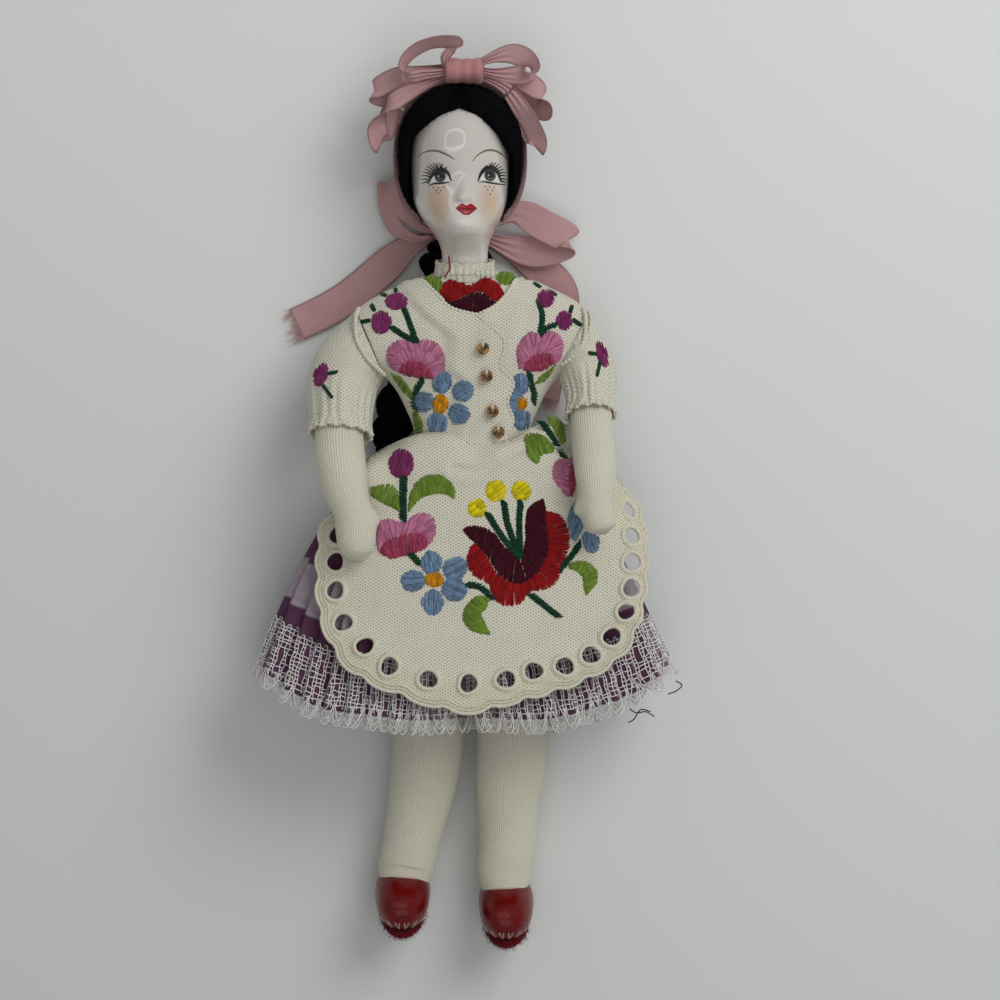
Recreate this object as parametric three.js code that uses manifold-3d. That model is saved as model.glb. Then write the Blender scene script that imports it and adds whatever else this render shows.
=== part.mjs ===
// Folk doll lying on its back, in millimetres.
// +Z is the doll's front, +Y points to its head, z = 0 is the surface it lies on,
// and the origin is under the middle of its outline. Left and right are the doll's own.

import * as THREE from 'three';
import * as BufferGeometryUtils from 'three/addons/utils/BufferGeometryUtils.js';
import Module from 'manifold-3d';

const wasm = await Module();
wasm.setup();

// Clearances and cloth
const seamGap = 0.3;
const layerGap = 0.46;
const knitThickness = 0.6;
const blouseThickness = 0.4;
const ribbonThickness = 0.4;
const skirtThickness = 0.6;
const laceThickness = 0.45;
const apronThickness = 0.6;

// Levels along the body
const waistY = 12.9;
const bodiceLength = 38.4;
const neckLength = 6.2;
const skullHeight = 34.6;

// Head and neck
const headTurnX = -1.6;
const faceWidth = 22.4;
const faceDepth = 13.3;
const skullDepth = 12.6;
const headZ = 15;
const neckX = -0.5;
const neckZ = 16.5;
const neckRadius = 5.3;
const neckStubRadius = 3.6;
const neckStubLength = 5.5;
const noseHeight = 2.2;
const hairSide = 3.2;
const hairTop = 2.2;
const hairBack = 2.9;

// Bodice and torso
const bodiceX = 1.15;
const bodiceZ = 18;
const waistHalfWidth = 13.25;
const chestHalfWidth = 33;
const bodiceHalfDepth = 9.3;
const armholeOffset = 23.35;
const armholeDrop = 17;
const armholeTilt = 23;
const armholeHalfHeight = 8.3;
const armholeHalfDepth = 7.9;
const pelvisLength = 11.5;
const waistbandHeight = 1.9;
const waistbandThickness = 1;

// Arms
const armHalfWidth = 5.7;
const handHalfWidth = 4.5;
const armStartHalfWidth = 6.2;
const thumbRadius = 2.3;
const hemFlare = 7.2;
const armMaxThickness = 0.92;

// Legs and shoes
const hipSpacing = 17.2;
const hipX = 0.3;
const hipY = -1;
const hipZ = 15;
const thighHalfWidth = 7.9;
const ankleHalfWidth = 6.7;
const shoeHalfWidth = 6.3;
const shoeHalfLength = 9.6;
const shoeHalfHeight = 5.2;
const shoeZ = 10.8;
const soleThickness = 1.3;
const footPitch = 60;

// Skirt, lace and apron
const skirtLengthFront = 63.1;
const skirtLengthSide = 50.5;
const hemFullness = 4;
const skirtTopHalfWidth = 12.9;
const gatherWidth = 9.5;
const skirtFlare = 22.9;
const gatherHeight = 2.4;
const skirtRise = 9;
const skirtPleats = 36;
const pleatDepth = 1.5;
const laceStart = 0.8;
const laceDrop = 4.3;
const apronLift = 0.5;
const apronPuff = 1.3;
const apronSpreadRight = 6;
const apronSpreadLeft = 16;
const eyeletRadius = 1.65;
const scallopDepth = 0.7;

// Ribbons, plait and beads
const ribbonWidth = 8;
const bowRibbonWidth = 5;
const knotHalfWidth = 4.5;
const knotHalfHeight = 2.9;
const knotHalfDepth = 4.6;
const plaitHalfWidth = 5.7;
const plaitHalfDepth = 3.7;
const plaitTwists = 7;
const beadRadius = 1.45;
const beadHole = 0.42;
const beadHeight = 1.7;

const neckY = waistY + bodiceLength;
const chinY = neckY + neckLength;
const skullTopY = chinY + skullHeight;
const crownY = skullTopY + hairTop;
const shoulderY = neckY - armholeDrop;
const degree = Math.PI / 180;

// A smooth curve through [place, value] pairs, flat beyond its ends
function profile(pairs) {
  const slope = (i) => {
    const before = pairs[Math.max(0, i - 1)];
    const after = pairs[Math.min(pairs.length - 1, i + 1)];
    return (after[1] - before[1]) / (after[0] - before[0]);
  };
  return (at) => {
    const x = Math.min(Math.max(at, pairs[0][0]), pairs[pairs.length - 1][0]);
    let i = 0;
    while (i < pairs.length - 2 && x > pairs[i + 1][0]) i += 1;
    const span = pairs[i + 1][0] - pairs[i][0];
    const u = (x - pairs[i][0]) / span;
    const a = pairs[i][1];
    const b = pairs[i + 1][1];
    const hermite = (2 * u ** 3 - 3 * u ** 2 + 1) * a + (3 * u ** 2 - 2 * u ** 3) * b;
    const lean = (u ** 3 - 2 * u ** 2 + u) * slope(i) + (u ** 3 - u ** 2) * slope(i + 1);
    return hermite + lean * span;
  };
}

function smooth(from, to, x) {
  const u = Math.min(Math.max((x - from) / (to - from), 0), 1);
  return u * u * (3 - 2 * u);
}

function power(x, exponent) {
  return Math.sign(x) * Math.abs(x) ** exponent;
}

// Point on an oval of the given fullness, 2 being an ellipse
function oval(angle, halfWidth, halfDepth, fullness) {
  const x = halfWidth * power(Math.cos(angle), 2 / fullness);
  const z = halfDepth * power(Math.sin(angle), 2 / fullness);
  return [x, z];
}

// A closed body from its points and faces, turned so that its faces point out
function closedBody(points, faces) {
  let volume = 0;
  for (const [a, b, c] of faces) {
    volume += new THREE.Vector3(...points[a])
      .dot(new THREE.Vector3(...points[b]).cross(new THREE.Vector3(...points[c])));
  }
  const order = volume > 0 ? faces : faces.map(([a, b, c]) => [a, c, b]);
  const geometry = new THREE.BufferGeometry();
  geometry.setAttribute('position', new THREE.Float32BufferAttribute(points.flat(), 3));
  geometry.setIndex(order.flat());
  return BufferGeometryUtils.mergeVertices(geometry, 1e-4);
}

// Faces of a grid of rows and columns whose first point has the given number
function gridFaces(rows, columns, first, wrap) {
  const faces = [];
  const across = wrap ? columns : columns - 1;
  for (let r = 0; r < rows - 1; r += 1) {
    for (let c = 0; c < across; c += 1) {
      const a = first + r * columns + c;
      const b = first + r * columns + ((c + 1) % columns);
      faces.push([a, b, b + columns], [a, b + columns, a + columns]);
    }
  }
  return faces;
}

// Solid through closed rings of points, capped flat at both ends
function loft(rings) {
  const columns = rings[0].length;
  const points = rings.flat();
  const faces = gridFaces(rings.length, columns, 0, true);
  const capAt = (ring, turned) => {
    const middle = [0, 1, 2].map((axis) => ring.reduce((sum, p) => sum + p[axis], 0) / columns);
    const centre = points.length;
    const first = turned ? 0 : (rings.length - 1) * columns;
    points.push(middle);
    for (let c = 0; c < columns; c += 1) {
      const a = first + c;
      const b = first + ((c + 1) % columns);
      faces.push(turned ? [centre, b, a] : [centre, a, b]);
    }
  };
  capAt(rings[0], true);
  capAt(rings[rings.length - 1], false);
  return closedBody(points, faces);
}

// Open tube with a wall, from its outer and its inner grid of rings
function tubeShell(outer, inner) {
  const rows = outer.length;
  const columns = outer[0].length;
  const count = rows * columns;
  const points = [...outer.flat(), ...inner.flat()];
  const faces = gridFaces(rows, columns, 0, true);
  for (const [a, b, c] of gridFaces(rows, columns, count, true)) faces.push([a, c, b]);
  for (let c = 0; c < columns; c += 1) {
    const d = (c + 1) % columns;
    const last = (rows - 1) * columns;
    faces.push([c, count + c, count + d], [c, count + d, d]);
    faces.push([last + c, last + d, count + last + d], [last + c, count + last + d, count + last + c]);
  }
  return closedBody(points, faces);
}

// Sheet with a thickness, from its upper and its lower grid of points
function slab(upper, lower) {
  const rows = upper.length;
  const columns = upper[0].length;
  const count = rows * columns;
  const points = [...upper.flat(), ...lower.flat()];
  const faces = gridFaces(rows, columns, 0, false);
  for (const [a, b, c] of gridFaces(rows, columns, count, false)) faces.push([a, c, b]);
  const rim = [];
  for (let c = 0; c < columns - 1; c += 1) rim.push([c, c + 1]);
  for (let r = 0; r < rows - 1; r += 1) rim.push([(r + 1) * columns - 1, (r + 2) * columns - 1]);
  for (let c = columns - 1; c > 0; c -= 1) rim.push([count - columns + c, count - columns + c - 1]);
  for (let r = rows - 1; r > 0; r -= 1) rim.push([r * columns, (r - 1) * columns]);
  for (const [a, b] of rim) faces.push([b, a, a + count], [b, a + count, b + count]);
  return closedBody(points, faces);
}

function grid(rows, columns, pointAt) {
  return Array.from({ length: rows }, (_, r) => (
    Array.from({ length: columns }, (_, c) => pointAt(r / (rows - 1), c / (columns - 1)))
  ));
}

function toManifold(geometry) {
  const bare = new THREE.BufferGeometry();
  bare.setAttribute('position', geometry.getAttribute('position').clone());
  if (geometry.index) bare.setIndex(geometry.index.clone());
  const merged = BufferGeometryUtils.mergeVertices(bare, 1e-4);
  return new wasm.Manifold(new wasm.Mesh({
    numProp: 3,
    vertProperties: new Float32Array(merged.getAttribute('position').array),
    triVerts: new Uint32Array(merged.index.array),
  }));
}

function fromManifold(solid) {
  const mesh = solid.getMesh();
  const geometry = new THREE.BufferGeometry();
  geometry.setAttribute('position', new THREE.Float32BufferAttribute(mesh.vertProperties, 3));
  geometry.setIndex(Array.from(mesh.triVerts));
  return geometry;
}

function cut(geometry, ...tools) {
  let solid = toManifold(geometry);
  for (const tool of tools) solid = solid.subtract(toManifold(tool));
  return fromManifold(solid);
}

function join(geometry, ...others) {
  let solid = toManifold(geometry);
  for (const other of others) solid = solid.add(toManifold(other));
  return fromManifold(solid);
}

function common(geometry, other) {
  return fromManifold(toManifold(geometry).intersect(toManifold(other)));
}

// Upright prism over a closed outline of [x, y] points
function prism(outline, fromZ, toZ) {
  const shape = new THREE.Shape(outline.map(([x, y]) => new THREE.Vector2(x, y)));
  const body = new THREE.ExtrudeGeometry(shape, { depth: toZ - fromZ, bevelEnabled: false });
  return body.translate(0, 0, fromZ);
}

// Frames along a smooth path: place, side, upward and forward direction
function framesAlong(pathPoints, count, startDirection) {
  const curve = new THREE.CatmullRomCurve3(pathPoints.map((p) => new THREE.Vector3(...p)));
  return Array.from({ length: count }, (_, i) => {
    const u = i / (count - 1);
    const forward = curve.getTangent(u);
    if (startDirection) {
      const share = 1 - smooth(0, 0.45, u);
      forward.lerp(startDirection, share).normalize();
    }
    const side = new THREE.Vector3().crossVectors(forward, new THREE.Vector3(0, 0, 1)).normalize();
    const up = new THREE.Vector3().crossVectors(side, forward).normalize();
    return { u, place: curve.getPoint(u), side, up, forward };
  });
}

function ringAt(frame, halfWidth, halfDepth, columns, fullness = 2) {
  return Array.from({ length: columns }, (_, c) => {
    const [a, b] = oval((2 * Math.PI * c) / columns, halfWidth, halfDepth, fullness);
    return frame.place.clone().addScaledVector(frame.side, a).addScaledVector(frame.up, b).toArray();
  });
}

// Flat ribbon along a path. Its width lies along across, and narrows to the ends where pinched
function ribbon(pathPoints, across, width, { pinch = 0.35, steps = 16, tail = false } = {}) {
  const curve = new THREE.CatmullRomCurve3(pathPoints.map((p) => new THREE.Vector3(...p)));
  const rings = [];
  for (let i = 0; i <= steps; i += 1) {
    const u = i / steps;
    const forward = curve.getTangent(u);
    const wide = new THREE.Vector3(...across).addScaledVector(
      forward, -forward.dot(new THREE.Vector3(...across)),
    ).normalize();
    const thin = new THREE.Vector3().crossVectors(forward, wide);
    const open = tail ? smooth(0, 0.4, u) : smooth(0, 0.3, u) * smooth(0, 0.3, 1 - u);
    const half = (width / 2) * (pinch + (1 - pinch) * open);
    const place = curve.getPoint(u);
    const corner = (a, b) => place.clone().addScaledVector(wide, a * half)
      .addScaledVector(thin, (b * ribbonThickness) / 2).toArray();
    rings.push([corner(-1, -1), corner(1, -1), corner(1, 1), corner(-1, 1)]);
  }
  return loft(rings);
}

const doll = new THREE.Group();

function addPiece(name, geometry, color, roughness, metalness = 0) {
  const material = new THREE.MeshStandardMaterial({ color, roughness, metalness });
  const mesh = new THREE.Mesh(geometry, material);
  mesh.name = name;
  doll.add(mesh);
}

const porcelain = '#e6e3df';
const hairBlack = '#141316';
const ribbonPink = '#b4717a';
const knitCream = '#d8d4c6';
const stockingCream = '#c4c1b4';
const skirtViolet = '#5c3a58';
const laceWhite = '#dcd8da';
const shoeRed = '#761420';
const feltRed = '#8c1222';
const beadAmber = '#7a5420';

// Head: egg-shaped rings from the neck stub to the top of the skull
const skullWidth = profile([
  [0, 0.49], [0.06, 0.68], [0.13, 0.82], [0.24, 0.91], [0.36, 0.97], [0.5, 1], [0.65, 0.99],
  [0.8, 0.91], [0.91, 0.7], [0.97, 0.43], [1, 0],
]);
const skullFront = profile([
  [0, 0.42], [0.06, 0.86], [0.13, 0.97], [0.24, 1], [0.36, 0.98], [0.5, 0.96], [0.65, 0.97],
  [0.8, 0.9], [0.91, 0.7], [0.97, 0.43], [1, 0],
]);
const skullBack = profile([
  [0, 0.42], [0.06, 0.54], [0.13, 0.66], [0.24, 0.8], [0.36, 0.9], [0.5, 0.97], [0.65, 1],
  [0.8, 0.93], [0.91, 0.72], [0.97, 0.45], [1, 0],
]);
const mouthShare = 0.235;
const noseShare = 0.31;
const bridgeShare = 0.43;
const eyeShare = 0.455;
const eyeSpacing = 10.8;

function headCentre(share) {
  const u = smooth(-0.1, 0.3, share);
  return [neckX + (headTurnX - neckX) * u, neckZ + (headZ - neckZ) * u];
}

// Relief of the face above the plain egg, in millimetres
function faceRelief(x, share) {
  const bell = (value, middle, spread) => Math.exp(-(((value - middle) / spread) ** 2));
  const ridge = smooth(bridgeShare + 0.04, noseShare, share) * smooth(noseShare - 0.045, noseShare, share);
  const nose = noseHeight * ridge * bell(x, 0, 1.1 + (0.5 * (bridgeShare - share)) / bridgeShare);
  const lips = 0.7 * bell(share, mouthShare, 0.03) * bell(x, 0, 2.2);
  const chin = 0.6 * bell(share, 0.1, 0.05) * bell(x, 0, 3);
  const socket = bell(share, eyeShare, 0.05);
  const eyes = 0.55 * socket * (bell(x, eyeSpacing / 2, 2.2) + bell(x, -eyeSpacing / 2, 2.2));
  return nose + lips + chin - eyes;
}

function headRings(offset, columns, rows) {
  const rings = [];
  for (let r = 0; r < rows; r += 1) {
    const share = 0.5 * (1 - Math.cos((Math.PI * r) / (rows - 1)));
    const [cx, cz] = headCentre(share);
    const halfWidth = (faceWidth / 2) * Math.max(skullWidth(share), 0.004) + offset;
    const front = faceDepth * Math.max(skullFront(share), 0.004) + offset;
    const back = skullDepth * Math.max(skullBack(share), 0.004) + offset;
    const y = chinY + share * skullHeight + offset * smooth(0.8, 1, share);
    rings.push(Array.from({ length: columns }, (_, c) => {
      const even = (2 * Math.PI * c) / columns;
      const angle = even + 0.42 * Math.cos(even);
      const x = halfWidth * Math.cos(angle);
      const depth = Math.sin(angle) > 0 ? front : back;
      const forward = Math.max(Math.sin(angle), 0);
      const z = depth * Math.sin(angle) + forward * faceRelief(x, share);
      return [cx + x, y, cz + z];
    }));
  }
  return rings;
}

function neckRing(y, radius, columns) {
  return Array.from({ length: columns }, (_, c) => {
    const even = (2 * Math.PI * c) / columns;
    const angle = even + 0.42 * Math.cos(even);
    return [neckX + radius * Math.cos(angle), y, neckZ + radius * Math.sin(angle)];
  });
}

const neckFootY = neckY + 1;
const stubFootY = neckFootY - neckStubLength;

function headSolid(offset, columns, rows) {
  return loft([
    neckRing(stubFootY - offset, neckStubRadius + offset, columns),
    neckRing(neckFootY - offset, neckStubRadius + offset, columns),
    neckRing(neckFootY - offset, neckRadius + offset, columns),
    neckRing(neckFootY + 0.6 * neckLength, neckRadius + offset, columns),
    ...headRings(offset, columns, rows).slice(1),
  ]);
}

addPiece('head', headSolid(0, 32, 21), porcelain, 0.12);

// Hair: a cap round the skull, open over the face
const hairWidth = profile([
  [0.02, 0.5], [0.1, 0.62], [0.2, 0.83], [0.3, 0.95], [0.42, 0.99], [0.6, 1], [0.74, 0.95],
  [0.86, 0.79], [0.94, 0.56], [0.985, 0.3], [1, 0],
]);
const hairHalfWidth = faceWidth / 2 + hairSide;
const hairHeight = crownY - chinY;
const hairBackDepth = skullDepth + hairBack;
const hairFrontDepth = faceDepth - 0.1;

function hairHalfWidthAt(y) {
  return hairHalfWidth * hairWidth((y - chinY) / hairHeight);
}

const hairRows = 14;
const hairColumns = 28;
const coarseCut = seamGap + 0.25;
const hairFootShare = 0.12;
const hairRings = Array.from({ length: hairRows }, (_, r) => {
  const share = hairFootShare + (1 - hairFootShare) * Math.sin((Math.PI / 2) * (r / (hairRows - 1)));
  const [cx, cz] = headCentre(share);
  const scale = Math.max(hairWidth(share), 0.004);
  const y = chinY + share * hairHeight;
  return Array.from({ length: hairColumns }, (_, c) => {
    const angle = (2 * Math.PI * c) / hairColumns;
    const depth = Math.sin(angle) > 0 ? hairFrontDepth : hairBackDepth;
    const [x, z] = oval(angle, hairHalfWidth * scale, depth * scale, 2.15);
    return [cx + x, y, cz + z];
  });
});
const hairline = [
  [-11.3, 0.28], [-11.2, 0.42], [-10.2, 0.68], [-6.9, 0.745], [-1.6, 0.84], [1.3, 0.84],
  [4.2, 0.79], [7.6, 0.69], [10.9, 0.55], [11.6, 0.42], [11.8, 0.28], [12.5, -0.4], [-12.5, -0.4],
].map(([x, share]) => [headTurnX + x, chinY + share * hairHeight]);
const floorBlock = new THREE.BoxGeometry(300, 300, 50).translate(0, 0, -25);
const hairCap = cut(
  loft(hairRings),
  headSolid(coarseCut, 20, 13),
  prism(hairline, headZ - 1, headZ + 30),
  floorBlock,
);
addPiece('hair_cap', hairCap, hairBlack, 0.95);

// Bodice sections: half-width and half-depth of the jacket's outer face at a height
const bodiceWidthAt = profile([
  [waistY - pelvisLength, waistHalfWidth + 1.4], [waistY, waistHalfWidth],
  [waistY + 5, waistHalfWidth + 1.3], [shoulderY - 7.7, 19.9],
  [shoulderY - 3, chestHalfWidth - 4], [shoulderY + 1, chestHalfWidth],
  [shoulderY + 4.5, chestHalfWidth - 1.5], [shoulderY + 7.8, 26.6], [shoulderY + 10.5, 22.6],
  [shoulderY + 13, 17.6], [shoulderY + 15, 13.8], [neckY, 11.6],
]);
const bodiceDepthAt = profile([
  [waistY - pelvisLength, bodiceHalfDepth - 0.6], [waistY, bodiceHalfDepth - 0.5],
  [shoulderY - 8, bodiceHalfDepth], [shoulderY, bodiceHalfDepth - 0.1],
  [shoulderY + 8, bodiceHalfDepth - 1.2], [shoulderY + 13, bodiceHalfDepth - 2.2],
  [neckY, bodiceHalfDepth - 2.8],
]);

function bodicePoint(y, angle, offset) {
  const [x, z] = oval(angle, bodiceWidthAt(y) + offset, bodiceDepthAt(y) + offset, 2.3);
  const cz = bodiceZ + (neckZ - bodiceZ) * smooth(shoulderY + 6, neckY, y);
  return [bodiceX + x, y, cz + z];
}

// Height of the bodice's front face over a place on it
function bodiceFrontZ(x, y, offset) {
  const share = Math.min(Math.abs((x - bodiceX) / (bodiceWidthAt(y) + offset)), 1);
  const height = (bodiceDepthAt(y) + offset) * (1 - share ** 2.3) ** (1 / 2.3);
  return bodicePoint(y, 0, offset)[2] + height;
}

const sides = {
  right: { sign: -1, normal: [-Math.cos(armholeTilt * degree), -Math.sin(armholeTilt * degree)] },
  left: { sign: 1, normal: [Math.cos(armholeTilt * degree), -Math.sin(armholeTilt * degree)] },
};
for (const side of Object.values(sides)) {
  side.armhole = [bodiceX + side.sign * armholeOffset, shoulderY, bodiceZ];
}

// Everything outside one armhole's plane, pushed out by the given distance
function armholeBlock(side, distance) {
  const size = 60;
  const block = new THREE.BoxGeometry(size, 2 * size, 2 * size);
  block.translate(size / 2 + distance, 0, 0);
  block.rotateZ(Math.atan2(side.normal[1], side.normal[0]));
  return block.translate(...side.armhole);
}
const armholeBlocks = [armholeBlock(sides.right, 0), armholeBlock(sides.left, 0)];

const blouseOffset = -knitThickness - layerGap;
const torsoOffset = blouseOffset - blouseThickness - layerGap;
const lapOffset = knitThickness + layerGap;

// Torso: the stuffed cloth body, with a stub of cloth tied round the head's neck
const hips = {
  right: [hipX - hipSpacing / 2, hipY, hipZ],
  left: [hipX + hipSpacing / 2, hipY, hipZ],
};
const torsoTopY = neckY - 1.1;
const torsoRings = Array.from({ length: 13 }, (_, r) => {
  const u = r / 12;
  const footY = waistY - pelvisLength;
  const y = footY + (torsoTopY - footY) * u;
  return Array.from({ length: 24 }, (_, c) => bodicePoint(y, (2 * Math.PI * c) / 24, torsoOffset));
});
const clothNeckRadius = neckStubRadius + seamGap + 0.8;
const clothNeck = loft([
  neckRing(torsoTopY - 2, clothNeckRadius, 16),
  neckRing(neckFootY - 0.3, clothNeckRadius, 16),
]);
const hipBalls = Object.values(hips).map((hip) => (
  new THREE.SphereGeometry(thighHalfWidth + coarseCut, 16, 10).translate(...hip)
));
const neckSocket = loft([
  neckRing(stubFootY - seamGap, neckStubRadius + seamGap, 16),
  neckRing(neckFootY + 3, neckStubRadius + seamGap, 16),
]);
const torso = cut(
  join(loft(torsoRings), clothNeck),
  neckSocket,
  ...armholeBlocks,
  ...hipBalls,
);
addPiece('torso', torso, knitCream, 0.95);

// A band round a path's end: an oval ring with a wall
function band(frame, halfWidth, halfDepth, wall, length, columns) {
  const at = (distance, grow) => {
    const place = frame.place.clone().addScaledVector(frame.forward, distance);
    return ringAt({ ...frame, place }, halfWidth + grow, halfDepth + grow, columns);
  };
  const ends = [-length / 2, length / 2];
  return tubeShell(ends.map((d) => at(d, wall)), ends.map((d) => at(d, 0)));
}

const upright = {
  side: new THREE.Vector3(1, 0, 0),
  up: new THREE.Vector3(0, 0, 1),
  forward: new THREE.Vector3(0, 1, 0),
};
const neckTieInner = clothNeckRadius + seamGap;
const neckTieWall = 0.5;
addPiece('neck_tie', band(
  { ...upright, place: new THREE.Vector3(neckX, neckY - 0.1, neckZ) },
  neckTieInner, neckTieInner, neckTieWall, 1, 20,
), knitCream, 0.9);

// Blouse: a gathered collar round the neck and a front that runs under the jacket
const collarInner = neckTieInner + neckTieWall + seamGap;
const collarFootY = neckY - 0.8;
const collarTopY = neckY + 2.1;
const collarColumns = 40;
function collarRings(base, wave) {
  return [collarFootY, collarTopY].map((y, r) => Array.from({ length: collarColumns }, (_, c) => {
    const angle = (2 * Math.PI * c) / collarColumns;
    const radius = base + wave * (0.4 + 0.6 * r) * (c % 2);
    return [neckX + radius * Math.cos(angle), y, neckZ + radius * Math.sin(angle)];
  }));
}
const collar = tubeShell(collarRings(collarInner + 0.5, 0.7), collarRings(collarInner, 0.25));
const bibHalfWidth = 9.5;
const bibFootY = neckY - 14;
const bibRise = 1.1;
function bibPoint(u, v, offset) {
  const y = bibFootY + (neckY - 0.2 - bibFootY) * u;
  const narrow = 1 - 0.42 * smooth(neckY - 5, neckY, y);
  const x = bodiceX + (2 * v - 1) * bibHalfWidth * narrow;
  const rise = bibRise * smooth(neckY - 2.6, neckY - 1, y);
  return [x, y, bodiceFrontZ(x, y, offset) + rise];
}
const bib = slab(
  grid(9, 10, (u, v) => bibPoint(u, v, blouseOffset)),
  grid(9, 10, (u, v) => bibPoint(u, v, blouseOffset - blouseThickness)),
);
addPiece('blouse_insert', join(collar, bib), knitCream, 0.95);

// Jacket: a back and two fronts, the right front lapping over the left
const neckline = [
  [-11.9, neckY + 3], [-11.9, neckY - 1], [-8.2, neckY - 5.2], [-4.8, neckY - 8.8],
  [1.7, neckY - 10.6], [5.4, neckY - 8.4], [8.1, neckY - 5.6], [10.9, neckY - 0.5],
  [11, neckY + 3],
].map(([x, y]) => [bodiceX + x, y]);
const necklineHole = prism(neckline, bodiceZ - 2.5, bodiceZ + 30);
const backNeckHole = loft([
  neckRing(neckY - 3, collarInner + 0.6 + 1.3, 24), neckRing(neckY + 9, collarInner + 0.6 + 3, 24),
]);
const lapEdge = profile([
  [waistY - 1, 7.6], [waistY + 3.6, 9.6], [waistY + 7.8, 8.3], [waistY + 12.5, 9.6],
  [waistY + 15.8, 6.6], [waistY + 20, 7.5], [waistY + 22.6, 7.1], [waistY + 27.7, 1.4],
  [waistY + 34, -4],
]);
const jacketTopY = neckY - 0.1;

// Angle round the bodice at which its front face stands over x
function angleOver(x, y, offset) {
  const share = Math.min(Math.max((x - bodiceX) / (bodiceWidthAt(y) + offset), -1), 1);
  return Math.acos(power(share, 2.3 / 2));
}

function jacketSheet(startAngle, endAngle, offsetAt) {
  const at = (u, v, inward) => {
    const y = waistY + (jacketTopY - waistY) * u;
    const from = startAngle(y);
    const angle = from + (endAngle(y) - from) * v;
    return bodicePoint(y, angle, offsetAt(y, angle) - inward);
  };
  return cut(
    slab(grid(11, 11, (u, v) => at(u, v, 0)), grid(11, 11, (u, v) => at(u, v, knitThickness))),
    necklineHole,
    backNeckHole,
    ...armholeBlocks,
  );
}
const sideSeam = 0.014;
const lapUnder = 9;
addPiece('jacket_back', jacketSheet(
  () => Math.PI + sideSeam,
  () => 2 * Math.PI - sideSeam,
  () => 0,
), knitCream, 0.95);
addPiece('jacket_front_left', jacketSheet(
  () => sideSeam,
  (y) => angleOver(bodiceX + lapEdge(y) - lapUnder, y, 0),
  () => 0,
), knitCream, 0.95);
addPiece('jacket_front_right', jacketSheet(
  () => Math.PI - sideSeam,
  (y) => angleOver(bodiceX + lapEdge(y), y, lapOffset),
  (y, angle) => {
    const x = bodicePoint(y, angle, 0)[0] - bodiceX;
    const lapStart = lapEdge(y) - lapUnder;
    return lapOffset * smooth(lapStart - 5, lapStart - 0.6, x);
  },
), knitCream, 0.95);

// Beads: four glass beads sewn near the lapped edge
const beadPlaces = [
  [2.6, waistY + 20], [3.4, waistY + 13.7], [4.75, waistY + 5.7], [6.1, waistY + 0.95],
];
beadPlaces.forEach(([x, y], i) => {
  const half = beadHeight / 2;
  const outline = [
    [beadHole, -half * 0.6], [beadHole + 0.25, -half], [beadRadius - 0.4, -half],
    [beadRadius, 0], [beadRadius - 0.4, half], [beadHole + 0.25, half], [beadHole, half * 0.6],
    [beadHole, -half * 0.6],
  ].map(([r, h]) => new THREE.Vector2(r, h));
  const bead = new THREE.LatheGeometry(outline, 9).rotateX(Math.PI / 2);
  const z = bodiceFrontZ(bodiceX + x, y, lapOffset) + seamGap + half + 0.1;
  addPiece(`bead_${i + 1}`, bead.translate(bodiceX + x, y, z), beadAmber, 0.2, 0.35);
});

// Arms and sleeves: both start on the armhole's plane and turn there
const armPaths = {
  right: {
    arm: [[-5.6, -8, 2.2], [-6.8, -21, 7.2], [-5.6, -31.4, 13.6], [-3.1, -40.5, 16.4], [-2.3, -49.9, 17.6]],
    hem: [-6.6, -20.7, 6.4],
    thumb: [1.9, -39.4, 16.2],
    hemHalfWidth: 7.6,
    reach: 1,
  },
  left: {
    arm: [[4.5, -6.5, 2], [4.4, -16, 7], [5.1, -29.7, 17.8], [5.6, -38.6, 19.8], [6.6, -43.6, 20]],
    hem: [3.7, -16.4, 6.4],
    thumb: [2.6, -37, 19.2],
    hemHalfWidth: 6.4,
    reach: 0.86,
  },
};
const sleeveGap = 0.2;

function limbSolid(frames, widthAt, depthShare, columns, grow = 0) {
  return loft(frames.map((f) => (
    ringAt(f, widthAt(f.u) + grow, widthAt(f.u) * depthShare + grow, columns)
  )));
}

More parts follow.
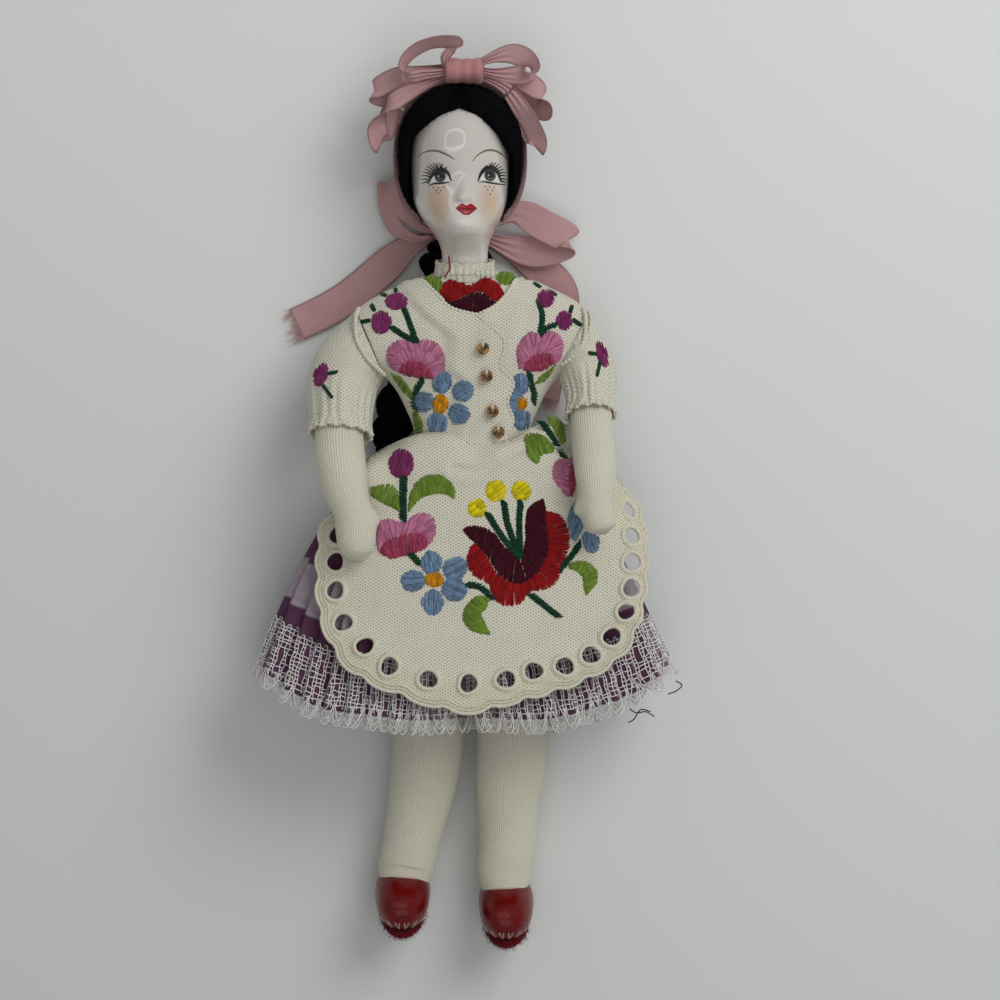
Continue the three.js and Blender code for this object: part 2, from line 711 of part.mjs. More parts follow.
for (const [name, side] of Object.entries(sides)) {
  const route = armPaths[name];
  const outward = new THREE.Vector3(...side.normal, 0);
  const start = new THREE.Vector3(...side.armhole).addScaledVector(outward, sleeveGap);
  const from = (p) => [start.x + p[0], start.y + p[1], start.z + p[2]];
  const armFrames = framesAlong([start.toArray(), ...route.arm.map(from)], 15, outward);
  const armWidth = profile([
    [0, armStartHalfWidth], [0.3, armHalfWidth * route.reach], [0.6, armHalfWidth * route.reach * 0.96],
    [0.74, handHalfWidth * route.reach * 0.95], [0.86, handHalfWidth * route.reach],
    [0.95, handHalfWidth * route.reach * 0.72], [1, 0.5],
  ]);
  const thumb = new THREE.SphereGeometry(thumbRadius, 9, 6).scale(0.8, 1.35, 0.85)
    .translate(...from(route.thumb));
  const arm = join(limbSolid(armFrames, armWidth, armMaxThickness, 14), thumb);
  addPiece(`arm_${name}`, arm, stockingCream, 0.95);

  const hem = new THREE.Vector3(...from(route.hem));
  const reachIn = hem.clone().sub(start).multiplyScalar(0.38);
  const mid = start.clone().addScaledVector(outward, 4.2).add(reachIn.clone().multiplyScalar(0.75));
  const sleeveFrames = framesAlong([start.toArray(), mid.toArray(), hem.toArray()], 8, outward);
  const puff = profile([
    [0, armholeHalfHeight], [0.3, armholeHalfHeight + 0.35], [0.65, route.hemHalfWidth + 0.5],
    [0.88, route.hemHalfWidth - 0.4], [1, route.hemHalfWidth],
  ]);
  const depth = profile([
    [0, armholeHalfDepth], [0.4, armholeHalfDepth + 0.2], [0.88, hemFlare - 0.5], [1, hemFlare],
  ]);
  const wall = (grow) => sleeveFrames.map((f, i) => {
    const ring = ringAt(f, puff(f.u) + grow, depth(f.u) + grow, 22);
    const last = i === sleeveFrames.length - 1;
    return ring.map((p, c) => {
      const drop = last && c % 2 ? scallopDepth : 0;
      return new THREE.Vector3(...p).addScaledVector(f.forward, drop).toArray();
    });
  });
  addPiece(`sleeve_${name}`, tubeShell(wall(0), wall(-knitThickness)), knitCream, 0.95);
}

// Skirt: pleated rings from the waist to the hem, lying flat on the surface at the back
const waistbandFootY = waistY - seamGap - waistbandHeight;
const skirtTopY = waistbandFootY - seamGap;

function skirtSection(share) {
  const gather = 1 - Math.exp(-Math.max(share, 0) / 0.06);
  const halfWidth = skirtTopHalfWidth + gatherWidth * gather + skirtFlare * share;
  const torsoDepth = bodiceDepthAt(skirtTopY) + torsoOffset;
  const wallOut = seamGap + skirtThickness + 0.3;
  const rise = gatherHeight * gather + skirtRise * Math.max(share, 0) ** 1.5;
  const front = bodiceZ + torsoDepth + wallOut + rise;
  const backTop = bodiceZ - torsoDepth - wallOut - gather;
  const back = backTop + (0.8 - backTop) * smooth(0.04, 0.24, share);
  return { halfWidth, front, back, centreX: bodiceX * Math.max(1 - share, 0) };
}

// Evenly spaced points round the skirt at one share of its length
function skirtRing(share, columns, offset, floor) {
  const { halfWidth, front, back, centreX } = skirtSection(share);
  const cz = (front + back) / 2;
  const halfDepth = (front - back) / 2;
  const fine = 720;
  const outline = Array.from({ length: fine + 1 }, (_, i) => (
    oval((2 * Math.PI * i) / fine, halfWidth, halfDepth, 2.6)
  ));
  const lengths = [0];
  for (let i = 1; i <= fine; i += 1) {
    const [x, z] = outline[i];
    lengths.push(lengths[i - 1] + Math.hypot(x - outline[i - 1][0], z - outline[i - 1][1]));
  }
  let i = 0;
  return Array.from({ length: columns }, (_, c) => {
    const along = (lengths[fine] * c) / columns;
    while (lengths[i + 1] < along) i += 1;
    const u = (along - lengths[i]) / (lengths[i + 1] - lengths[i]);
    const x = outline[i][0] + (outline[i + 1][0] - outline[i][0]) * u;
    const z = outline[i][1] + (outline[i + 1][1] - outline[i][1]) * u;
    const tangent = [outline[i + 1][0] - outline[i][0], outline[i + 1][1] - outline[i][1]];
    const size = Math.hypot(...tangent);
    const fold = (c % 2 ? 1 : -1) * pleatDepth * (0.15 + 0.85 * Math.min(share, 1));
    const out = offset + fold;
    const middle = 1 - Math.abs(x / halfWidth) ** hemFullness;
    const length = skirtLengthSide + (skirtLengthFront - skirtLengthSide) * middle;
    const px = centreX + x + (out * tangent[1]) / size;
    const pz = Math.max(cz + z - (out * tangent[0]) / size, floor);
    return [px, skirtTopY - share * length, pz];
  });
}

const skirtColumns = 2 * skirtPleats;
const laceFloor = 0;
const skirtFloor = laceFloor + 2 * laceThickness + seamGap;
const skirtRows = [0, 0.05, 0.14, 0.32, 0.6, 1];
const skirtWall = (offset, floor) => skirtRows.map((s) => skirtRing(s, skirtColumns, offset, floor));
addPiece('skirt', tubeShell(
  skirtWall(0, skirtFloor), skirtWall(-skirtThickness, skirtFloor + skirtThickness),
), skirtViolet, 0.9);

// Lace: a band over the lower skirt that hangs below its hem
const laceEnd = 1 + laceDrop / skirtLengthFront;
const laceRows = [laceStart, (laceStart + 1) / 2, laceEnd];
const laceOut = 2 * laceThickness + seamGap + 0.15;
const laceWall = (offset, floor) => laceRows.map((s) => skirtRing(s, skirtColumns, offset, floor));
addPiece('skirt_lace', tubeShell(
  laceWall(laceOut, laceFloor), laceWall(laceOut - laceThickness, laceFloor + laceThickness),
), laceWhite, 0.85);

// Waistband: closes round the torso above the skirt
const bandRing = (y, offset) => Array.from({ length: 32 }, (_, c) => (
  bodicePoint(y, (2 * Math.PI * c) / 32, offset)
));
const bandLevels = [waistbandFootY, waistY - seamGap];
const bandIn = torsoOffset + seamGap;
addPiece('waistband', tubeShell(
  bandLevels.map((y) => bandRing(y, bandIn + waistbandThickness)),
  bandLevels.map((y) => bandRing(y, bandIn)),
), knitCream, 0.95);

// Apron: a curved sheet over the skirt's front, with a scalloped edge and a row of eyelets
const apronOutline = [
  [-22.8, 7.6], [-12, 13.1], [-4.8, 13.8], [8.5, 11.9], [15.6, 15.2], [20.9, 16.5], [31, 8],
  [40, -3.2], [42, -11], [41, -26], [36, -37], [25.5, -43], [12.5, -47], [0, -50], [-15.9, -45.6],
  [-27, -40.5], [-33.6, -30], [-35, -18], [-33.4, -6],
];

function skirtShareAt(x, y) {
  const drop = skirtTopY - y;
  const guess = drop / skirtLengthFront;
  const { halfWidth } = skirtSection(Math.max(guess, 0));
  const middle = 1 - Math.min(Math.abs(x / halfWidth), 1) ** hemFullness;
  return Math.max(drop / (skirtLengthSide + (skirtLengthFront - skirtLengthSide) * middle), 0);
}

function apronZ(x, y) {
  const share = Math.min(skirtShareAt(x, y), 1);
  const { halfWidth, front, back, centreX } = skirtSection(share);
  const cz = (front + back) / 2;
  const overLace = laceOut * smooth(laceStart - 0.12, laceStart - 0.04, share);
  const pleats = pleatDepth * (0.15 + 0.85 * share);
  const puff = apronPuff * Math.exp(-share / 0.1);
  const lift = apronThickness + seamGap + apronLift + pleats + overLace + puff;
  const spread = x < centreX ? apronSpreadRight : apronSpreadLeft;
  const across = Math.min(Math.abs((x - centreX) / (halfWidth + spread)), 0.97);
  return cz + (front - cz + lift) * (1 - across ** 2.6) ** (1 / 2.6);
}

const apronCurve = new THREE.CatmullRomCurve3(
  apronOutline.map(([x, y]) => new THREE.Vector3(x, y, 0)), true,
);
const scallopCount = 30;
const apronEdge = apronCurve.getSpacedPoints(3 * scallopCount).slice(0, -1).map((p, i, all) => {
  const next = all[(i + 1) % all.length];
  const before = all[(i + all.length - 1) % all.length];
  const outward = new THREE.Vector3(-(next.y - before.y), next.x - before.x, 0).normalize();
  const isTop = p.y > 0;
  const wave = isTop ? 0 : scallopDepth * (i % 3 === 0 ? -1 : 0.3);
  return [p.x + outward.x * wave, p.y + outward.y * wave];
});
const eyeletPlaces = [
  [-29.9, -9.7], [-30.4, -15.9], [-30.4, -22.5], [-28.5, -29.9], [-23.5, -35.2], [-17.9, -39.8],
  [-9, -42.8], [0.2, -43.7], [8.7, -42.8], [15, -40.9], [22.1, -39.8], [28.1, -37.3],
  [32.9, -33.1], [36.2, -27.4], [37.4, -22], [37.6, -16], [37.6, -10], [37.2, -4],
];
const eyelets = eyeletPlaces.map(([x, y]) => (
  new THREE.CylinderGeometry(eyeletRadius, eyeletRadius, 60, 7).rotateX(Math.PI / 2).translate(x, y, 30)
));
const apronBlank = (inward) => grid(13, 15, (u, v) => {
  const y = 18 - 70 * u;
  const x = -38 + 82 * v;
  return [x, y, apronZ(x, y) - inward];
});
const apron = common(slab(apronBlank(0), apronBlank(apronThickness)), prism(apronEdge, -5, 60));
addPiece('apron', cut(apron, ...eyelets), knitCream, 0.95);

// Legs: a round hip in the torso's socket, then the calf, and a foot inside the shoe
const legRoutes = {
  right: [[-0.5, -29, -2.2], [-0.8, -56.5, -4], [-2.9, -68.9, -5.2], [-4.9, -79.5, -6], [-6, -86.4, -6.2]],
  left: [[0.9, -29, -2.2], [1.45, -56.5, -4], [0.6, -68.9, -5], [0.5, -79.5, -5.7], [-0.3, -86.4, -6]],
};
const shoePlaces = { right: [-14.95, -93.4], left: [9, -95.7] };
const pitch = footPitch * degree;
const footForward = new THREE.Vector3(0, -Math.cos(pitch), Math.sin(pitch));
const footDown = new THREE.Vector3(0, -Math.sin(pitch), -Math.cos(pitch));
const soleSeat = shoeHalfHeight - 1.2;

for (const [name, hip] of Object.entries(hips)) {
  const [shoeX, shoeY] = shoePlaces[name];
  const shoeCentre = new THREE.Vector3(shoeX, shoeY, shoeZ);
  const footMiddle = shoeCentre.clone().addScaledVector(footDown, -1);
  const path = [hip, ...legRoutes[name].map((p) => [hip[0] + p[0], hip[1] + p[1], hip[2] + p[2]])];
  const frames = framesAlong([...path, footMiddle.toArray()], 15);
  const legWidth = profile([
    [0, thighHalfWidth - 0.6], [0.3, thighHalfWidth], [0.62, thighHalfWidth + 0.1],
    [0.78, ankleHalfWidth + 0.6], [0.9, ankleHalfWidth], [0.97, ankleHalfWidth - 1.9],
    [1, ankleHalfWidth - 3.6],
  ]);
  const hipBall = (grow) => new THREE.SphereGeometry(thighHalfWidth + grow, 16, 10).translate(...hip);
  const legAt = (grow) => join(limbSolid(frames, legWidth, 0.93, 14, grow), hipBall(grow));
  addPiece(`leg_${name}`, legAt(0), stockingCream, 0.95);

  const shoeFrames = Array.from({ length: 11 }, (_, i) => {
    const u = i / 10;
    const along = -Math.cos(Math.PI * u);
    const place = shoeCentre.clone().addScaledVector(footForward, along * shoeHalfLength);
    return { u: along, place, side: new THREE.Vector3(1, 0, 0), up: footDown, forward: footForward };
  });
  const round = (along) => Math.max(Math.sqrt(Math.max(1 - along * along, 0)), 0.03);
  const egg = loft(shoeFrames.map((f) => (
    ringAt(f, shoeHalfWidth * round(f.u) * (1 - 0.1 * f.u), shoeHalfHeight * round(f.u), 18, 2.2)
  )));
  const below = new THREE.BoxGeometry(60, 60, 60).translate(0, 0, -30 - soleSeat);
  below.rotateX(-pitch).translate(...shoeCentre.toArray());
  addPiece(`shoe_${name}`, cut(egg, legAt(seamGap), below), shoeRed, 0.25);

  const soleOutline = Array.from({ length: 24 }, (_, i) => {
    const angle = (2 * Math.PI * i) / 24;
    const along = Math.sin(angle);
    const half = shoeHalfWidth * 0.93 * Math.cos(angle) * (1 - 0.1 * along);
    return [half, along * shoeHalfLength * 0.96];
  });
  const soleAt = (distance) => soleOutline.map(([a, b]) => (
    shoeCentre.clone().addScaledVector(footDown, distance).addScaledVector(footForward, b)
      .add(new THREE.Vector3(a, 0, 0)).toArray()
  ));
  const soleTop = soleSeat + seamGap;
  addPiece(`sole_${name}`, loft([soleAt(soleTop), soleAt(soleTop + soleThickness)]), feltRed, 1);
}

// Plait: leaves the nape, runs down under the back and drifts to the doll's right
const plaitX = -2;
const plaitTopY = chinY + hairFootShare * hairHeight - seamGap;
const plaitPath = [
  [plaitX, plaitTopY, 4], [-2.6, 54, 4], [-6.5, 42, 4.2], [-12.5, 30, 4.2], [-16.4, 20, 4.2],
  [-18.2, 10.5, 3.9], [-18.6, 4.5, 3.6],
];
const plaitSteps = 28;
const plaitFrames = framesAlong(plaitPath, plaitSteps + 1);
const tieShare = 25 / plaitSteps;
const napeShare = 1 / plaitSteps;
const plaitShape = profile([
  [0, 0.74], [0.1, 0.74], [0.2, 0.95], [0.5, 1], [0.75, 0.95], [0.84, 0.8], [tieShare, 0.42],
  [0.92, 0.62], [0.97, 0.6], [1, 0.15],
]);
const plaitRing = (f, grow) => {
  const twist = 1 + 0.07 * Math.cos(2 * Math.PI * plaitTwists * f.u) * smooth(0.1, 0.2, f.u);
  const scale = plaitShape(f.u);
  return ringAt(f, plaitHalfWidth * scale * twist + grow, plaitHalfDepth * scale + grow, 12);
};
addPiece('hair_plait', cut(loft(plaitFrames.map((f) => plaitRing(f, 0))), floorBlock), hairBlack, 0.95);

function plaitBand(share, wall, length, columns) {
  const frame = plaitFrames[Math.round(share * plaitSteps)];
  const scale = plaitShape(share);
  return band(
    frame, plaitHalfWidth * scale + seamGap + 0.45, plaitHalfDepth * scale + seamGap + 0.4,
    wall, length, columns,
  );
}
addPiece('plait_tie', plaitBand(tieShare, 0.6, 1.1, 16), ribbonPink, 0.8);
addPiece('nape_knot', plaitBand(napeShare, ribbonThickness, 3, 20), ribbonPink, 0.8);

// Head ribbon: a band that follows the hair from the nape over the crown
const bandClearance = seamGap + ribbonThickness / 2 + 0.1;
const ribbonLevels = [0.16, 0.26, 0.4, 0.56, 0.72, 0.86, 0.95];
const hairSidePoint = (sign) => (share) => {
  const y = chinY + share * hairHeight;
  const lift = bandClearance * smooth(0.75, 1, share);
  const x = headCentre(share)[0] + sign * (hairHalfWidthAt(y) + bandClearance);
  return [x, y + lift, headZ - 6 + 3 * smooth(0.16, 0.5, share)];
};
const headRibbonPath = [
  ...ribbonLevels.map(hairSidePoint(-1)),
  [headTurnX, crownY + bandClearance, headZ - 3],
  ...ribbonLevels.map(hairSidePoint(1)).reverse(),
];
addPiece('head_ribbon', ribbon(headRibbonPath, [0, 0, 1], bowRibbonWidth, { pinch: 1, steps: 36 }),
  ribbonPink, 0.8);

// Bow on the crown: a knot and six loops
const knotCentre = [headTurnX + 1, crownY + seamGap + knotHalfHeight + 0.4, headZ + 4.5];
const knotOutline = [
  [0, -1], [0.72, -1], [0.94, -0.75], [0.9, 0], [0.94, 0.75], [0.72, 1], [0, 1],
].map(([r, h]) => new THREE.Vector2(r, h));
const knot = new THREE.LatheGeometry(knotOutline, 16).rotateZ(Math.PI / 2);
knot.scale(knotHalfWidth, knotHalfHeight, knotHalfDepth).translate(...knotCentre);
addPiece('bow_knot', knot, ribbonPink, 0.8);

// Loop points are measured from the knot's middle
const bowLoops = {
  bow_loop_right_1: {
    across: [0, 0, 1],
    path: [
      [-4.9, 1.2, 1.4], [-4.7, 3.4, 1.5], [-2.2, 4.4, 1.5], [-1.6, 5.6, 1.5], [-4, 6.8, 1.5],
      [-8, 6.5, 1.5], [-11.4, 5, 1.5], [-13.9, 2.4, 1.4], [-14.9, -0.2, 1.3], [-13.8, -2.5, 1.2],
      [-10, -1.9, 1.2], [-4.9, -0.8, 1.3],
    ],
  },
  bow_loop_right_2: {
    across: [0.3, 0.95, 0],
    path: [
      [-4.9, 0.2, -2.6], [-11, -1.4, -2.4], [-17, -2.6, -2.4], [-21.4, -5.2, -3.8],
      [-18.3, -6.2, -5.6], [-12.5, -4.4, -5.8], [-4.9, -1.3, -4.2],
    ],
  },
  bow_loop_right_3: {
    across: [0.6, 0.8, 0],
    path: [
      [-4.9, -2.6, -0.6], [-11, -5, 0], [-17.6, -8.8, -0.4], [-21, -13.6, -2], [-19.8, -18, -3.8],
      [-18.4, -13.6, -5], [-15.9, -8, -4.8], [-11.7, -5.4, -4.4], [-4.9, -2.5, -3.2],
    ],
  },
  bow_loop_left_1: {
    across: [0, 0.5, 0.87],
    path: [
      [4.9, 1.5, 2.6], [9.5, 3.1, 3.2], [14, 2.7, 3], [16.4, -0.2, 2.2], [13.4, -1.2, 1.6],
      [9, -0.4, 1.6], [4.9, -0.1, 1.5],
    ],
  },
  bow_loop_left_2: {
    across: [-0.4, 0.92, 0],
    path: [
      [4.9, -1.4, -2], [10.5, -2.3, -2], [16.8, -4.6, -2.2], [18.6, -9.6, -3.2], [16.4, -8.8, -5],
      [10.5, -4.3, -5.2], [4.9, -2, -4],
    ],
  },
  bow_loop_left_3: {
    across: [-0.7, 0.7, 0],
    path: [
      [4.9, -2.9, 0.4], [9.8, -5.3, 1], [14.6, -10.4, 0.6], [18, -16.4, -1], [17.3, -19, -2],
      [16.6, -16, -3.6], [14.6, -10.6, -3.4], [10, -5.6, -3], [4.9, -2.9, -2.2],
    ],
  },
};
for (const [name, loop] of Object.entries(bowLoops)) {
  const path = loop.path.map((p) => p.map((value, axis) => knotCentre[axis] + value));
  addPiece(name, ribbon(path, loop.across, bowRibbonWidth, { steps: 18 }), ribbonPink, 0.8);
}

// Ribbon at the nape: two loops and two long tails, measured from the nape knot
const napeFrame = plaitFrames[Math.round(napeShare * plaitSteps)];
const napeBow = {
  nape_loop_right: {
    across: [0.8, 0.3, 0.5],
    width: 4.3,
    path: [
      [-6, 0.6, 1.4], [-10.8, 3.2, 1.8], [-14.9, 7.6, 2], [-16, 11, 1.9], [-16.7, 12, 0.9],
      [-17, 10.6, -0.1], [-16.6, 6.4, -0.4], [-14.4, 1.4, -0.4], [-10, -0.9, -0.2], [-6, -0.6, 0.1],
    ],
  },
  nape_tail_right: {
    across: [0.55, 0.83, 0],
    width: ribbonWidth,
    tail: true,
    path: [
      [-5.3, -0.3, -2.1], [-11.5, -2.6, -2.4], [-17.5, -7.6, -2.4], [-24, -13, -2.6],
      [-30.5, -17.2, -3], [-37.6, -20.6, -3.4],
    ],
  },
  nape_loop_left: {
    across: [-0.2, 0.97, 0],
    width: 6.4,
    path: [
      [6, 0.8, 1.2], [14, 4.2, 1.2], [20.5, 1.6, 2], [25.6, -1.4, 1], [19, -3.8, -0.8],
      [12.5, -2.8, -0.9], [6, -0.4, -0.6],
    ],
  },
  nape_tail_left: {
    across: [1, 0.5, 0],
    width: ribbonWidth,
    tail: true,
    path: [
      [4.9, -0.3, -2.2], [12, -3.4, -2.7], [18.5, -7.4, -3], [23.6, -12.6, -3.2], [24, -19, -3.3],
      [21.6, -28, -3.3], [19.5, -38, -3.3],
    ],
  },
};
for (const [name, piece] of Object.entries(napeBow)) {
  const { x, y, z } = napeFrame.place;
  const path = piece.path.map((p) => [x + p[0], y + p[1], z + p[2]]);
  addPiece(name, ribbon(path, piece.across, piece.width, { tail: piece.tail }), ribbonPink, 0.8);
}

export default doll;
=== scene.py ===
"""Folk doll lying on its back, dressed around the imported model.

Shapes are worked out in millimetres in the frame of the part: +Z is the doll's front, +Y points to
its head, +X is its left side, and z = 0 is the surface that it lies on.
"""
import math

import bpy
import mathutils
import mathutils.geometry
import numpy as np
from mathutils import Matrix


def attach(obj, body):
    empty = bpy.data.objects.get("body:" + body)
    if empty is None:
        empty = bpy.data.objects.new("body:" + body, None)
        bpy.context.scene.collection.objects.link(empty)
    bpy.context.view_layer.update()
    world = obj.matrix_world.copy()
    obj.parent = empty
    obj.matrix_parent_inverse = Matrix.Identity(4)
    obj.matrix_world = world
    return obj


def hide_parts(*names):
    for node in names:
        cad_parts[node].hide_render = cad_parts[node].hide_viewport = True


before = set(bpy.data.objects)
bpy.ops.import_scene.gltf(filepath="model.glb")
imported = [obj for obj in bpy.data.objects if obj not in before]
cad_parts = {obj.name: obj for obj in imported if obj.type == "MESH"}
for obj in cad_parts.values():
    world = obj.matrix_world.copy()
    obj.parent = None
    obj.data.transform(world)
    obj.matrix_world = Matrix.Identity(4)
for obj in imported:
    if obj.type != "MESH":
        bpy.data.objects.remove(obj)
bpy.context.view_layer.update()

bl_info = {
    "name": "Folk Doll",
    "version": (1, 0, 0),
    "blender": (4, 5, 0),
    "location": "View3D > Sidebar > Folk Doll",
    "description": "Builds a porcelain-headed folk doll in embroidered dress",
    "category": "Object",
}

MM = 0.001
TAU = 2 * math.pi
SQUARE = 0.23

# Levels along the body, in millimetres
WAIST_Y = 12.9
FRONT_HEM_Y = 10.9
NECK_Y = 51.3
CHIN_Y = 57.5
SKULL_HEIGHT = 34.6
CROWN_Y = 94.3
SHOULDER_Y = 34.3
SKIRT_TOP_Y = 10.4
COLLAR_Y = 51.1


# Numbers and curves

def smooth(start, end, x):
    """Rises from 0 at start to 1 at end with level ends: u squared times (3 - 2u)."""
    u = np.clip((np.asarray(x, float) - start) / (end - start), 0, 1)
    return u * u * (3 - 2 * u)


def bell(x, middle, spread):
    """A hump of height 1: e to the minus square of the distance over the spread."""
    return np.exp(-(((x - middle) / spread) ** 2))


def profile(*pairs):
    """A smooth function through (place, value) pairs: a cubic between each two, level outside them."""
    places, values = np.array(pairs, float).T
    before = np.maximum(np.arange(len(places)) - 1, 0)
    after = np.minimum(np.arange(len(places)) + 1, len(places) - 1)
    slopes = (values[after] - values[before]) / (places[after] - places[before])

    def at(x):
        x = np.clip(np.asarray(x, float), places[0], places[-1])
        i = np.clip(np.searchsorted(places, x, side="left") - 1, 0, len(places) - 2)
        span = places[i + 1] - places[i]
        u = (x - places[i]) / span
        value = (2 * u**3 - 3 * u**2 + 1) * values[i] + (3 * u**2 - 2 * u**3) * values[i + 1]
        lean = (u**3 - 2 * u**2 + u) * slopes[i] + (u**3 - u**2) * slopes[i + 1]
        return value + lean * span

    return at


def curve(points, u, closed=False):
    """Points on a smooth curve through the given ones, at shares u of its spans (centripetal spline)."""
    p = np.asarray(points, float)
    if closed:
        p = np.concatenate([p[-1:], p, p[:2]])
    else:
        p = np.concatenate([2 * p[:1] - p[1:2], p, 2 * p[-1:] - p[-2:-1]])
    spans = len(p) - 3
    t = np.asarray(u, float) * spans
    i = np.clip(t.astype(int), 0, spans - 1)
    w = (t - i)[:, None]
    p0, p1, p2, p3 = p[i], p[i + 1], p[i + 2], p[i + 3]

    def gap(a, b):
        return np.maximum(np.linalg.norm(b - a, axis=1, keepdims=True) ** 0.5, 1e-4)

    g0, g1, g2 = gap(p0, p1), gap(p1, p2), gap(p2, p3)
    lean1 = ((p1 - p0) / g0 - (p2 - p0) / (g0 + g1) + (p2 - p1) / g1) * g1
    lean2 = ((p2 - p1) / g1 - (p3 - p1) / (g1 + g2) + (p3 - p2) / g2) * g1
    square = -3 * p1 + 3 * p2 - 2 * lean1 - lean2
    cube = 2 * p1 - 2 * p2 + lean1 + lean2
    return p1 + lean1 * w + square * w**2 + cube * w**3


def along_chain(points):
    """Length from the start of a chain of points to each of them."""
    return np.concatenate([[0], np.cumsum(np.linalg.norm(np.diff(points, axis=0), axis=1))])


def evenly(points, count, closed=False):
    """A smooth curve through the points, cut at equal lengths into count points."""
    fine = curve(points, np.linspace(0, 1, 40 * len(points)), closed)
    length = along_chain(fine)
    wanted = np.linspace(0, length[-1], count + 1 if closed else count)[:count]
    return np.stack([np.interp(wanted, length, fine[:, k]) for k in range(fine.shape[1])], axis=1)


def length_of(points):
    """Length of a chain of points."""
    return float(np.linalg.norm(np.diff(np.asarray(points, float), axis=0), axis=1).sum())


def unit(v):
    """Vectors scaled to length 1."""
    return v / np.maximum(np.linalg.norm(v, axis=-1, keepdims=True), 1e-9)


def power(x, exponent):
    """Sign of x times its size to an exponent."""
    return np.sign(x) * np.abs(x) ** exponent


def chart(*places):
    """Embroidery chart squares of 0.23 mm, counted right and down from the pattern's corner, as x, y."""
    squares = np.array(places, float).reshape(-1, 2)
    return (squares - (467, 493)) * (SQUARE, -SQUARE)


def turns_of(count):
    """Angles of a full turn in equal steps."""
    return np.linspace(0, TAU, count + 1)[:-1]


def joined(*parts):
    """Points from coordinates whose shapes match or stretch to match."""
    return np.stack(np.broadcast_arrays(*parts), axis=-1)


def above(points, floor):
    """Lifts points that lie below a height up to it."""
    points[..., 2] = np.maximum(points[..., 2], floor)
    return points


# Meshes

def grid_faces(rows, columns, wrap=False):
    """Four-cornered faces of a grid of points, closed round its columns where wrapped."""
    r, c = np.meshgrid(np.arange(rows - 1), np.arange(columns if wrap else columns - 1), indexing="ij")
    d = (c + 1) % columns
    corners = [r * columns + c, r * columns + d, (r + 1) * columns + d, (r + 1) * columns + c]
    return np.stack(corners, axis=-1).reshape(-1, 4)


def grid_uv(uv, rows, columns, wrap):
    """Cloth coordinates of the corners of grid_faces. uv has one more column than the points if wrapped."""
    r, c = np.meshgrid(np.arange(rows - 1), np.arange(columns if wrap else columns - 1), indexing="ij")
    corners = [uv[r, c], uv[r, c + 1], uv[r + 1, c + 1], uv[r + 1, c]]
    return np.stack(corners, axis=-2).reshape(-1, 4, 2)


def put_mesh(name, points, faces, uv=None, tint=None):
    """A smooth mesh object from points in millimetres. uv is per corner, tint a colour per point."""
    mesh = bpy.data.meshes.new(name)
    mesh.from_pydata((np.asarray(points).reshape(-1, 3) * MM).tolist(), [], [list(f) for f in faces])
    if uv is not None:
        layer = mesh.uv_layers.new(name="cloth")
        layer.data.foreach_set("uv", np.asarray(uv, np.float32).ravel())
    if tint is not None:
        layer = mesh.color_attributes.new(name="tint", type="FLOAT_COLOR", domain="POINT")
        full = np.ones((len(mesh.vertices), 4), np.float32)
        full[:, :3] = tint
        layer.data.foreach_set("color", full.ravel())
    mesh.polygons.foreach_set("use_smooth", np.ones(len(mesh.polygons), bool))
    mesh.update()
    obj = bpy.data.objects.new(name, mesh)
    bpy.context.scene.collection.objects.link(obj)
    return obj


def faces_out(points, faces):
    """Whether the faces of a closed body point outwards, so that its volume isn't negative."""
    a, b, c = (points[faces[:, k]] for k in range(3))
    volume = np.einsum("ij,ij->i", a, np.cross(b, c)).sum()
    if faces.shape[1] == 4:
        d = points[faces[:, 3]]
        volume += np.einsum("ij,ij->i", a, np.cross(c, d)).sum()
    return volume >= 0


def body_mesh(name, P, uv=None):
    """A closed body through rings of points P[row, column], its ends closed by flat caps."""
    rows, columns = P.shape[:2]
    points = P.reshape(-1, 3)
    faces = grid_faces(rows, columns, wrap=True)
    caps = [np.arange(columns)[::-1], (rows - 1) * columns + np.arange(columns)]
    way = 1 if faces_out(points, faces) else -1
    quads = faces[:, ::way].tolist() + [cap[::way].tolist() for cap in caps]
    corners = None
    if uv is not None:
        sides = grid_uv(uv, rows, columns, True)[:, ::way].reshape(-1, 2)
        corners = np.concatenate([sides, uv[0, :-1][::-way], uv[-1, :-1][::way]])
    return put_mesh(name, points, quads, corners)


def add_wall(obj, thickness):
    """Gives a sheet of cloth its thickness, half to each side, in millimetres."""
    wall = obj.modifiers.new("wall", "SOLIDIFY")
    wall.thickness = thickness * MM
    wall.offset = 0


def sheet_mesh(name, P, uv=None, wrap=False, thickness=None, tint=None):
    """A sheet of cloth over a grid of points, given a wall where thickness is set."""
    rows, columns = P.shape[:2]
    corners = None if uv is None else grid_uv(uv, rows, columns, wrap)
    obj = put_mesh(name, P, grid_faces(rows, columns, wrap), corners, tint)
    if thickness:
        add_wall(obj, thickness)
    return obj


